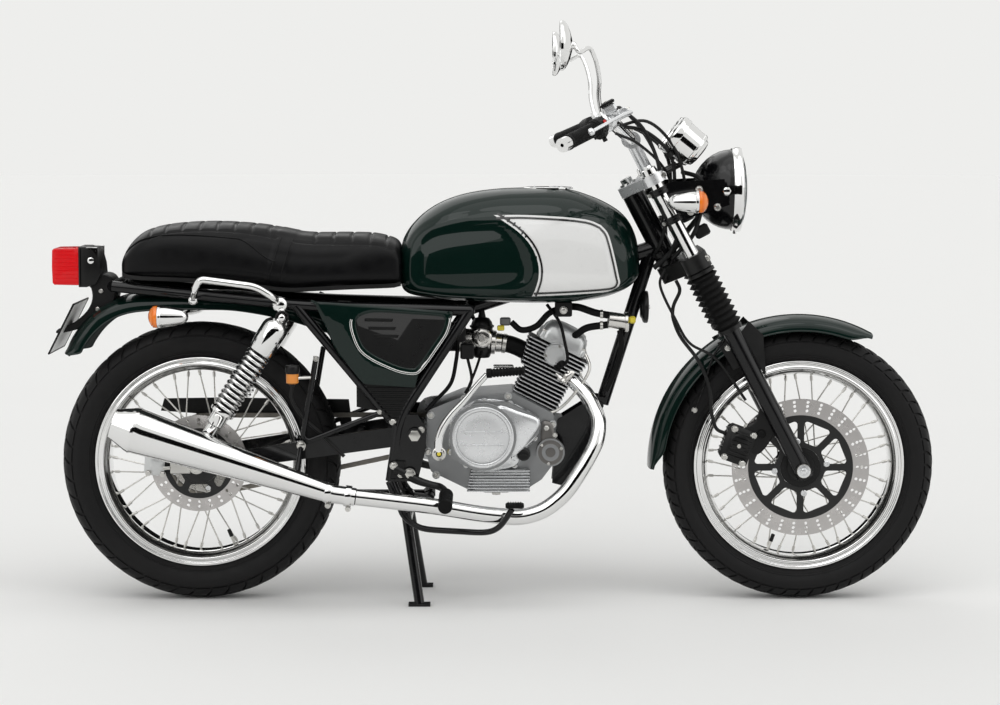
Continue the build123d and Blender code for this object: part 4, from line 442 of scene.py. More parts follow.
class Nodes:
    """Short calls for wiring a material's nodes."""

    def __init__(self, name):
        self.material = bpy.data.materials.new(name)
        self.material.use_nodes = True
        self.tree = self.material.node_tree
        self.shader = next(n for n in self.tree.nodes if n.type == "BSDF_PRINCIPLED")
        self.place = self.node("ShaderNodeTexCoord").outputs["Object"]

    def node(self, kind, **values):
        made = self.tree.nodes.new(kind)
        for key, value in values.items():
            setattr(made, key, value)
        return made

    def link(self, source, target):
        self.tree.links.new(source, target)

    def maths(self, operation, first, second=0.0):
        made = self.node("ShaderNodeMath", operation=operation)
        for socket, value in zip(made.inputs, (first, second)):
            if hasattr(value, "links"):
                self.link(value, socket)
            else:
                socket.default_value = value
        return made.outputs[0]

    def noise(self, size, detail=3.0, vector=None):
        made = self.node("ShaderNodeTexNoise")
        made.inputs["Scale"].default_value = size
        made.inputs["Detail"].default_value = detail
        self.link(vector or self.place, made.inputs["Vector"])
        return made.outputs["Fac"]

    def stretched(self, scale, shift=(0, 0, 0)):
        made = self.node("ShaderNodeMapping")
        made.inputs["Scale"].default_value = scale
        made.inputs["Location"].default_value = shift
        self.link(self.place, made.inputs["Vector"])
        return made.outputs["Vector"]

    def spread(self, factor, low, high, from_low=0.3, from_high=0.7):
        made = self.node("ShaderNodeMapRange")
        made.inputs["From Min"].default_value = from_low
        made.inputs["From Max"].default_value = from_high
        made.inputs["To Min"].default_value = low
        made.inputs["To Max"].default_value = high
        self.link(factor, made.inputs["Value"])
        return made.outputs["Result"]

    def mix(self, factor, first, second):
        made = self.node("ShaderNodeMix", data_type="RGBA")
        if hasattr(factor, "links"):
            self.link(factor, made.inputs["Factor"])
        for socket, value in ((made.inputs[6], first), (made.inputs[7], second)):
            if hasattr(value, "links"):
                self.link(value, socket)
            else:
                socket.default_value = (*value, 1)
        return made.outputs[2]

    def wave(self, size, direction="X", vector=None, profile="SIN"):
        made = self.node("ShaderNodeTexWave", wave_type="BANDS", bands_direction=direction,
                         wave_profile=profile)
        made.inputs["Scale"].default_value = size
        self.link(vector or self.place, made.inputs["Vector"])
        return made.outputs["Fac"]

    def cells(self, size, feature="F1"):
        made = self.node("ShaderNodeTexVoronoi", feature=feature)
        made.inputs["Scale"].default_value = size
        self.link(self.place, made.inputs["Vector"])
        return made.outputs["Distance"]

    def from_axle(self, centre):
        """Distance from a crosswise axle, in metres."""
        flat = self.node("ShaderNodeMapping")
        flat.inputs["Scale"].default_value = (1, 0, 1)
        flat.inputs["Location"].default_value = (-centre[0] * MM, 0, -centre[2] * MM)
        self.link(self.place, flat.inputs["Vector"])
        length = self.node("ShaderNodeVectorMath", operation="LENGTH")
        self.link(flat.outputs["Vector"], length.inputs[0])
        return length.outputs["Value"]

    def relief(self, kind, size, depth, centre=None):
        """Height of the surface's fine relief, as a bump on the shader."""
        if kind == "leather":
            height = self.maths("ADD", self.cells(size, "SMOOTH_F1"),
                                self.maths("MULTIPLY", self.noise(size * 0.3), 0.6))
        elif kind == "brushed":
            height = self.noise(size, 4.0, self.stretched((1, 0.08, 1)))
        elif kind == "cast":
            height = self.maths("ADD", self.noise(size, 2.0), self.cells(size * 0.7))
        elif kind == "weave":
            height = self.maths("MULTIPLY", self.wave(size, "X"), self.wave(size, "Z"))
        elif kind == "ribs":
            height = self.maths("ADD", self.wave(size, "Y"), self.maths("MULTIPLY", self.noise(size), 0.2))
        elif kind == "prism":
            height = self.maths("ADD", self.wave(size, "Y", profile="TRI"), self.wave(size, "Z", profile="TRI"))
        elif kind == "turned":
            ring = self.node("ShaderNodeCombineXYZ")
            self.link(self.from_axle(centre), ring.inputs["X"])
            height = self.noise(size, 4.0, ring.outputs["Vector"])
        else:
            height = self.noise(size, 3.0)
        bump = self.node("ShaderNodeBump")
        bump.inputs["Distance"].default_value = depth * MM
        bump.inputs["Strength"].default_value = 1.0
        self.link(height, bump.inputs["Height"])
        self.link(bump.outputs["Normal"], self.shader.inputs["Normal"])
        return bump


def finish_of(name):
    """The material of a finish, made when it is first asked for."""
    known = bpy.data.materials.get("finish_" + name)
    if known:
        return known
    if name in ZONED:
        return zoned_finish(name)
    if name == "lamp_glass":
        return glass_finish(name)
    colour, other, metal, rough, spread, kind, size, depth = FINISHES[name]
    if name in SET_COLOURS:
        chosen = tuple(getattr(bpy.context.scene.cafe_colours, SET_COLOURS[name]))
        other = tuple(b * c / max(a, 0.001) for a, b, c in zip(colour, other, chosen))
        colour = chosen
    made = Nodes("finish_" + name)
    made.link(made.mix(made.noise(9, 5.0), colour, other), made.shader.inputs["Base Color"])
    made.link(made.spread(made.noise(40, 6.0), rough - spread, rough + spread), made.shader.inputs["Roughness"])
    made.shader.inputs["Metallic"].default_value = metal
    made.shader.inputs["Specular IOR Level"].default_value = DULLED.get(name, PLAIN_REFLECTION)
    if name in LACQUER:
        made.shader.inputs["Coat Weight"].default_value = LACQUER[name][0]
        made.shader.inputs["Coat Roughness"].default_value = LACQUER[name][1]
    made.relief(kind, size, depth, (0, 0, 0))
    return made.material


# Finish in two zones: axle, radius between them (mm), inner finish, outer finish
ZONED = {
    "front_hub_finish": (FRONT_AXLE, 46.5, "satin_black", "zinc"),
    "rear_hub_finish": (REAR_AXLE, 46.5, "satin_black", "zinc"),
    "front_disc_finish": (FRONT_AXLE, 116.2, "satin_black", "disc_steel"),
    "rear_disc_finish": (REAR_AXLE, 78.2, "satin_black", "disc_steel"),
}


def zoned_finish(name):
    """One finish inside a radius about an axle, another outside it."""
    centre, radius, inner, outer = ZONED[name]
    first, second = FINISHES[inner], FINISHES[outer]
    made = Nodes("finish_" + name)
    share = made.spread(made.from_axle(centre), 0, 1, (radius - 0.3) * MM, (radius + 0.3) * MM)
    tint = made.noise(9, 5.0)
    made.link(made.mix(share, made.mix(tint, first[0], first[1]), made.mix(tint, second[0], second[1])),
              made.shader.inputs["Base Color"])
    made.link(made.maths("ADD", made.maths("MULTIPLY", share, second[2] - first[2]), first[2]),
              made.shader.inputs["Metallic"])
    worn = made.spread(made.noise(40, 6.0), -first[4], first[4])
    made.link(made.maths("ADD", made.maths("ADD", made.maths("MULTIPLY", share, second[3] - first[3]),
                                           first[3]), worn),
              made.shader.inputs["Roughness"])
    made.relief("turned", 1400, 0.012, centre)
    return made.material


def glass_finish(name):
    """Clear lamp glass with moulded flutes."""
    made = Nodes("finish_" + name)
    made.shader.inputs["Transmission Weight"].default_value = 0.96
    made.shader.inputs["IOR"].default_value = 1.45
    made.link(made.mix(made.noise(9, 4.0), (0.96, 0.98, 0.98), (0.90, 0.94, 0.94)),
              made.shader.inputs["Base Color"])
    made.link(made.spread(made.noise(60, 5.0), 0.02, 0.07), made.shader.inputs["Roughness"])
    made.relief("ribs", 30, 0.20)
    return made.material


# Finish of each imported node
NODE_FINISHES = {
    "chrome": ("front_rim", "rear_rim", "grab_rails", "fork_stanchions", "exhaust_pipe", "handlebar"),
    "front_hub_finish": ("front_hub",),
    "rear_hub_finish": ("rear_hub",),
    "front_disc_finish": ("front_disc",),
    "rear_disc_finish": ("rear_disc",),
    "frame_black": ("backbone", "downtube", "seat_rails", "side_frames", "rear_side_tubes", "swingarm",
                    "stand_bracket", "centre_stand", "side_stand", "engine_plates", "fork_sliders",
                    "headlamp_brackets"),
    "satin_black": ("lower_yoke", "tail_bracket", "chain_guard", "footrests", "foot_levers", "front_caliper"),
    "black_plastic": ("air_box_and_battery", "horn"),
    "cast_alloy": ("carburettor", "rear_brake"),
    "machined_alloy": ("upper_yoke",),
    # The crankcase takes the alloy darkened as painted shade
    "case_alloy": ("engine_block",),
    "zinc": ("front_axle", "rear_axle"),
    "hose": ("brake_hose",),
    "rubber": ("grips_and_switches", "fork_gaiters"),
    "tyre": ("front_tyre", "rear_tyre"),
    "paint": ("fuel_tank", "side_covers", "front_guard", "rear_guard"),
    "leather": ("seat",),
    "chain_steel": ("chain",),
    "satin_chrome": ("cylinder", "levers", "mirrors", "instruments", "front_indicators", "rear_indicators",
                     "tail_lamp", "filler_cap", "muffler", "shock_absorbers", "headlamp_bowl",
                     "headlamp_glass"),
}


class CAFE_OT_node_finishes(bpy.types.Operator):
    """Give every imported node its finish"""
    bl_idname = "cafe.node_finishes"
    bl_label = "Finish the packed nodes"

    def execute(self, context):
        for finish, names in NODE_FINISHES.items():
            for name in names:
                mesh = NODES[name].data
                mesh.materials.clear()
                mesh.materials.append(finish_of(finish))
        return {"FINISHED"}


class CafeStudio(bpy.types.PropertyGroup):
    """Studio that a user would change."""
    backdrop: bpy.props.FloatVectorProperty(
        name="Backdrop", description="Colour of the floor and backdrop", subtype="COLOR", size=3, min=0, max=1,
        default=(0.855, 0.855, 0.84))
    distance: bpy.props.FloatProperty(
        name="Camera distance", description="From the camera to the machine", default=5.5, min=2, max=20,
        unit="LENGTH", subtype="DISTANCE")
    elevation: bpy.props.FloatProperty(
        name="Camera elevation", description="Angle of the camera above level", default=math.radians(5.5),
        min=0, max=1.2, subtype="ANGLE")
    half_view: bpy.props.FloatProperty(
        name="Half view", description="Half of the width that the camera takes in at the machine",
        default=1.114, min=0.2, max=4, unit="LENGTH", subtype="DISTANCE")


VIEW_CENTRE = Vector((0.0123, 0, 0.550))
FLOOR_RADIUS = 40
# How much paler the floor is than the backdrop, so that both show one tone under the lamps
FLOOR_LIFT = 1.038
SKY_LIGHT = 0.44
# Lamp: direction it shines from, strength, apparent width in degrees
LAMPS = {
    "overhead_lamp": ((0.15, -0.30, 1.0), 0.62, 70),
    "strip_lamp_rear": ((-0.55, -0.34, 1.0), 0.13, 22),
    "strip_lamp_middle": ((-0.05, -0.34, 1.0), 0.13, 22),
    "strip_lamp_front": ((0.45, -0.34, 1.0), 0.13, 22),
    "camera_side_lamp": ((-0.55, -1.0, 0.75), 0.55, 50),
    "front_lamp": ((1.0, -0.45, 0.55), 0.36, 45),
    "rear_left_lamp": ((-0.5, 1.0, 0.8), 0.40, 50),
}
# Dark panels on both sides, seen only in reflections: distance aside, height of the middle, width, height
DARK_PANELS = {"dark_panel_right": (-3.4, 0.95, 5.2, 1.5), "dark_panel_left": (3.4, 0.95, 5.2, 1.5)}


def staged(name, points, faces, material):
    """Piece of the studio."""
    mesh = bpy.data.meshes.new(name)
    mesh.from_pydata(points, [], faces)
    mesh.materials.append(material)
    made = bpy.data.objects.new(name, mesh)
    bpy.context.scene.collection.objects.link(made)
    return made


class CAFE_OT_studio(bpy.types.Operator):
    """Set the floor, the soft lamps and the camera"""
    bl_idname = "cafe.studio"
    bl_label = "Studio"

    def execute(self, context):
        scene = context.scene
        studio = scene.cafe_studio
        scene.view_settings.view_transform = "Standard"
        world = bpy.data.worlds.new("studio_world")
        scene.world = world
        world.use_nodes = True
        tree = world.node_tree
        light = tree.nodes["Background"]
        light.inputs["Color"].default_value = (1, 1, 1, 1)
        light.inputs["Strength"].default_value = SKY_LIGHT
        seen = tree.nodes.new("ShaderNodeBackground")
        seen.inputs["Color"].default_value = (*studio.backdrop, 1)
        seen.inputs["Strength"].default_value = 1
        path = tree.nodes.new("ShaderNodeLightPath")
        total = None
        for ray in ("Is Camera Ray", "Is Glossy Ray", "Is Transmission Ray"):
            if total is None:
                total = path.outputs[ray]
                continue
            adder = tree.nodes.new("ShaderNodeMath")
            adder.operation = "MAXIMUM"
            tree.links.new(total, adder.inputs[0])
            tree.links.new(path.outputs[ray], adder.inputs[1])
            total = adder.outputs[0]
        chooser = tree.nodes.new("ShaderNodeMixShader")
        tree.links.new(total, chooser.inputs["Fac"])
        tree.links.new(light.outputs["Background"], chooser.inputs[1])
        tree.links.new(seen.outputs["Background"], chooser.inputs[2])
        tree.links.new(chooser.outputs["Shader"], tree.nodes["World Output"].inputs["Surface"])

        floor = Nodes("floor_finish")
        pale = [min(c * FLOOR_LIFT, 0.98) for c in studio.backdrop]
        floor.link(floor.mix(floor.noise(3, 3.0), tuple(pale), tuple(c * 0.995 for c in pale)),
                   floor.shader.inputs["Base Color"])
        floor.shader.inputs["Roughness"].default_value = 0.9
        floor.shader.inputs["Specular IOR Level"].default_value = 0.1
        ring = [(FLOOR_RADIUS * math.cos(a), FLOOR_RADIUS * math.sin(a), 0)
                for a in (2 * math.pi * i / 64 for i in range(64))]
        staged("floor", ring, [tuple(range(64))], floor.material)

        dark = Nodes("dark_panel_finish")
        dark.link(dark.mix(dark.noise(2, 2.0), (0.004, 0.004, 0.004), (0.008, 0.008, 0.008)),
                  dark.shader.inputs["Base Color"])
        dark.shader.inputs["Roughness"].default_value = 1.0
        dark.shader.inputs["Specular IOR Level"].default_value = 0.0
        for name, (aside, middle_up, width, height) in DARK_PANELS.items():
            arm = Vector((width / 2, 0, 0))
            rise = Vector((0, 0, height / 2))
            middle = Vector((0, aside, middle_up))
            panel = staged(name, [middle - arm - rise, middle + arm - rise, middle + arm + rise,
                                  middle - arm + rise],
                           [(0, 1, 2, 3)], dark.material)
            panel.visible_camera = False
            panel.visible_diffuse = False
            panel.visible_shadow = False
            panel.visible_transmission = False

        for name, (towards, strength, wide) in LAMPS.items():
            lamp = bpy.data.lights.new(name, "SUN")
            lamp.energy = strength
            lamp.angle = math.radians(wide)
            made = bpy.data.objects.new(name, lamp)
            made.rotation_euler = Vector(towards).to_track_quat("Z", "Y").to_euler()
            scene.collection.objects.link(made)

        camera = bpy.data.cameras.new("camera")
        camera.sensor_fit = "HORIZONTAL"
        camera.angle = 2 * math.atan(studio.half_view / studio.distance)
        camera.clip_end = 200
        made = bpy.data.objects.new("camera", camera)
        back = Vector((0, -math.cos(studio.elevation), math.sin(studio.elevation)))
        made.location = VIEW_CENTRE + back * studio.distance
        made.rotation_euler = back.to_track_quat("Z", "Y").to_euler()
        scene.collection.objects.link(made)
        scene.camera = made
        return {"FINISHED"}


class CafeBody(bpy.types.PropertyGroup):
    """Sizes of the tank and seat that a user would change."""
    knee_depth: bpy.props.FloatProperty(
        name="Knee recess", description="Depth of the recess for the rider's knee", default=0.013, min=0,
        max=0.04, unit="LENGTH", subtype="DISTANCE")
    panel_gap: bpy.props.FloatProperty(
        name="Panel line gap", description="Dark line between the panel and its border", default=0.0042,
        min=0.001, max=0.01, unit="LENGTH", subtype="DISTANCE")
    channel_depth: bpy.props.FloatProperty(
        name="Seat channels", description="Depth of the seams sewn across the seat", default=0.0045, min=0,
        max=0.01, unit="LENGTH", subtype="DISTANCE")


# Tank stations: X, top, bottom, half width, roundness of the upper half, height of the widest line
TANK_STATIONS = (
    (-209, 762, 722, 34, 2.0, 741),
    (-205, 792, 700, 62, 2.0, 742),
    (-196, 815, 688, 80, 2.1, 742),
    (-180, 838, 681, 95, 2.2, 743),
    (-150, 866, 676, 108, 2.2, 745),
    (-110, 889, 671, 117, 2.3, 748),
    (-60, 905, 668, 123, 2.3, 752),
    (0, 914, 666, 127, 2.35, 756),
    (60, 917, 664, 129, 2.35, 758),
    (120, 917, 664, 129, 2.4, 758),
    (170, 912, 666, 127, 2.4, 756),
    (215, 898, 672, 122, 2.4, 750),
    (250, 882, 679, 114, 2.4, 742),
    (280, 862, 690, 102, 2.3, 736),
    (300, 838, 702, 86, 2.2, 732),
    (314, 805, 716, 62, 2.1, 730),
    (320, 772, 726, 36, 2.0, 735),
)
TANK_ROWS = 120
TANK_WIDE = 96
# Squareness of the tank's lower half, and how far the knee recess takes to reach its full depth
TANK_FOOT_BEND = 3.4
KNEE_SLOPE = 34
KNEE_EDGE_HEIGHT = 2.2
KNEE_EDGE_WIDTH = 5
# Knee recess, the border of the panel and the border of the dark line, as places in X and Z
KNEE_OUTLINE = ((-190, 735), (-184, 792), (-166, 822), (-130, 842), (-82, 853), (-30, 858), (10, 858),
                (40, 842), (66, 816), (84, 784), (92, 750), (88, 720), (70, 698), (36, 684), (-20, 679),
                (-90, 680), (-150, 688), (-180, 702))
PANEL_TIP = (-1, 860)
PANEL_RUNS = (
    (PANEL_TIP, (60, 860.5), (120, 858), (172, 854), (208, 848), (232, 838)),
    ((232, 838), (246, 822), (254, 800), (264, 760), (271, 728), (274, 714), (271, 703)),
    ((271, 703), (262, 696), (240, 692), (180, 688), (120, 685), (82, 683.5)),
    ((82, 683.5), (89, 700), (96, 726), (95, 756), (82, 790), (57, 820), (26, 843), PANEL_TIP),
)
PANEL_STEPS = 48
STRIPE_WIDTH = 4.6
# How proud of the tank the panel and the dark line stand
PANEL_LIFT = 0.35
LINE_LIFT = 1.3
# Seam round the tank's foot: its ends in X, its steps and its section as (out, up) pairs
SEAM_ENDS = (-196, 306)
SEAM_STEPS = 60
SEAM_SECTION = ((-3, 2.2), (3.2, 1.6), (3.8, 0), (3.2, -1.6), (-3, -2.2))
# Filler cap: middle in X, half length, half width, rim and lid as (rise, share) pairs
CAP_X = 118
CAP_HALF_LENGTH = 55
CAP_HALF_WIDTH = 36
CAP_SECTIONS = (((0, 1.0), (3.0, 1.0), (4.2, 0.97), (4.4, 0.90)),
                ((4.2, 0.90), (4.6, 0.84), (4.8, 0.5), (5.0, 0.02)))


def outline_depth(x, z, outline):
    """How far a place lies inside a closed outline, or a negative depth outside it."""
    nearest = 1e9
    inside = False
    count = len(outline)
    for i in range(count):
        (ax, az), (bx, bz) = outline[i], outline[(i + 1) % count]
        dx, dz = bx - ax, bz - az
        share = min(max(((x - ax) * dx + (z - az) * dz) / (dx * dx + dz * dz), 0), 1)
        nearest = min(nearest, math.hypot(x - ax - dx * share, z - az - dz * share))
        if (az > z) != (bz > z) and x < (bx - ax) * (z - az) / (bz - az) + ax:
            inside = not inside
    return nearest if inside else -nearest


def tank_ring(x):
    """Places round the tank's section at one station, from the crown down the left side."""
    top, low, wide, power, middle = between(TANK_STATIONS, x)
    ring = []
    for i in range(TANK_WIDE):
        angle = 2 * math.pi * i / TANK_WIDE
        s, c = math.sin(angle), math.cos(angle)
        rise, bend = (top - middle, power) if c >= 0 else (middle - low, TANK_FOOT_BEND)
        y = wide * math.copysign(abs(s) ** (2 / bend), s)
        z = middle + rise * math.copysign(abs(c) ** (2 / bend), c)
        ring.append(Vector((x, y, z)))
    return ring


class CAFE_OT_tank(bpy.types.Operator):
    """Fuel tank with its knee recesses, panels, border lines, seam and filler cap"""
    bl_idname = "cafe.tank"
    bl_label = "Fuel tank"

    def execute(self, context):
        sizes = context.scene.cafe_body
        knee_line = even_outline(KNEE_OUTLINE)
        first, last = TANK_STATIONS[0][0], TANK_STATIONS[-1][0]
        rows = []
        for i in range(TANK_ROWS):
            share = i / (TANK_ROWS - 1)
            eased = 0.5 - 0.5 * math.cos(math.pi * share)
            x = first + (last - first) * (share * 0.45 + eased * 0.55)
            ring = tank_ring(x)
            for p in ring:
                if abs(p.y) > 20:
                    deep = outline_depth(p.x, p.z, knee_line)
                    pull = sizes.knee_depth / MM * ramp(deep, -1, KNEE_SLOPE)
                    edge = KNEE_EDGE_HEIGHT * math.exp(-((deep + 1) / KNEE_EDGE_WIDTH) ** 2)
                    p.y -= math.copysign(pull - edge, p.y)
            rows.append(ring)
        shape = Shape()
        shape.rings(rows, caps=True)
        tree = tree_of(shape)
        piece = shape.build("tank", "paint", "chassis", sharp=60)
        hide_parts("fuel_tank")

        outer_sides = side_runs(PANEL_RUNS, PANEL_STEPS)
        outer = [p for side in outer_sides for p in side[:-1]]
        gap = sizes.panel_gap / MM
        lines = [inset_outline(outer, STRIPE_WIDTH + inset) for inset in (0, gap / 2, gap)]
        panels = Shape()
        steps = PANEL_STEPS - 1
        for way in (1, -1):
            sides = [[outer[(k * steps + i) % len(outer)] for i in range(PANEL_STEPS)] for k in range(4)]
            panels.rings([[drape(tree, x, z, way, PANEL_LIFT) for x, z in row] for row in patch_grid(sides)], 0,
                         seam=False)
            panels.rings([[drape(tree, x, z, way, LINE_LIFT) for x, z in line] for line in lines], 1)
        panels.build("tank_panels", ("panel", "stripe_black"), "chassis", sharp=60)

        seam = Shape()
        for way in (1, -1):
            line = []
            for i in range(SEAM_STEPS):
                x = SEAM_ENDS[0] + (SEAM_ENDS[1] - SEAM_ENDS[0]) * i / (SEAM_STEPS - 1)
                low = between(TANK_STATIONS, x)[1]
                line.append(drape(tree, x, low + 13 + 10 * ramp(x, 250, SEAM_ENDS[1]), way, 0.4))
            seam.rings([[p + Vector((0, way * out, rise)) for out, rise in SEAM_SECTION] for p in line],
                       caps=True)
        seam.build("tank_seam", "paint", "chassis")

        cap = Shape()
        base = between(TANK_STATIONS, CAP_X)[0]
        turns = [2 * math.pi * k / 56 for k in range(56)]
        for section in CAP_SECTIONS:
            cap.rings([[Vector((CAP_X + CAP_HALF_LENGTH * share * math.cos(a),
                                CAP_HALF_WIDTH * share * math.sin(a),
                                base - 3.0 + rise)) for a in turns] for rise, share in section])
        cap.lathe((132, 0, base + 1.5), (0, 0, 1),
                  [(-1, 11), (1.2, 11), (1.8, 10), (1.8, 4), (1.0, 3.4), (1.0, 0)], 28, 1)
        cap.block((132, 0, base + 2.8), (7, 1.4, 0.6), mark=2, bevel=0.1)
        for dx, dy in ((-30, 16), (-30, -16), (30, 20), (30, -20), (-44, 0)):
            cap.bolt((CAP_X + dx, dy, base + 1.7), (0, 0, 1), 2.6, 1.2, 1, socket=True)
        filler = cap.build("filler_lid", ("chrome", "machined_alloy", "satin_black"), "chassis")
        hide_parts("filler_cap")
        return {"FINISHED"}


# Seat stations: X, crown, foot, half width, sharpness of the top edge
SEAT_STATIONS = (
    (-820, 764, 728, 66, 2.2),
    (-812, 782, 722, 80, 2.4),
    (-796, 804, 720, 94, 2.6),
    (-772, 824, 718, 104, 2.8),
    (-740, 834.5, 717, 111, 3.0),
    (-700, 839.5, 716, 116, 3.2),
    (-655, 841, 714, 119, 3.3),
    (-600, 840, 711, 121, 3.4),
    (-550, 837, 706, 122, 3.4),
    (-505, 832.5, 700, 123, 3.3),
    (-465, 825, 695, 124, 3.2),
    (-430, 818, 694, 125, 3.1),
    (-390, 815.5, 696, 124, 3.0),
    (-340, 816, 698, 121, 3.0),
    (-290, 815.5, 700, 117, 3.0),
    (-250, 813.5, 701, 112, 3.0),
    (-224, 808, 702, 107, 2.9),
    (-210, 800, 703, 103, 2.7),
    (-203, 784, 706, 98, 2.4),
)
SEAT_ROWS = 110
SEAT_WIDE = 56
# Sewn channels across the seat in X, half width of the ribbed field, and the strap's ends in X
SEAM_PLACES = (-718, -681, -643, -605, -567, -530, -492, -392, -352, -312, -272, -236)
RIB_HALF = 94
STRAP = (-468, -436)
# Rear end of the ribbed field in X, and how wide a sewn channel is
RIBBED_REAR = -752
CHANNEL_WIDTH = 2.6
# Where the lines beside the field fade in, from the rear in X and from the front in -X
RIB_FADE_REAR = (-764, -748)
RIB_FADE_FRONT = (212, 226)
# Height share of the side seam, its depth and width, and the strap's thickness
SIDE_SEAM_SHARE = 0.80
SIDE_SEAM_DEPTH = 1.6
SIDE_SEAM_WIDTH = 3.0
STRAP_THICK = 1.2
# How far the strap leans back for each step down
STRAP_LEAN = 0.26
# Edge of the seat pan as (out, up) pairs from the seat's side and foot
PAN_SECTION = ((-3, 9), (1.2, 9), (1.6, 1), (-4, -0.5))
SEAT_PRESSURE = 1.6
SEAT_CAP_MM = 5


def seat_ring(x, shrink=0.0):
    """Places round the seat's section: a crowned top, rounded edges, sides that taper in and a flat foot."""
    crown, foot, wide, power = between(SEAT_STATIONS, x)
    ring = []
    height = crown - foot
    for i in range(SEAT_WIDE):
        angle = 2 * math.pi * i / SEAT_WIDE
        s, c = math.sin(angle), math.cos(angle)
        if c >= 0:
            y = wide * math.copysign(abs(s) ** (2 / power), s)
            z = foot + height * (0.5 + 0.5 * abs(c) ** (2 / power))
        else:
            y = wide * math.copysign(abs(s) ** (2 / 6.0), s) * (1 - 0.06 * abs(c))
            z = foot + height * (0.5 - 0.5 * abs(c) ** (2 / 5.0))
        ring.append(Vector((x, y * (1 - shrink / wide), z - shrink * max(c, 0))))
    return ring


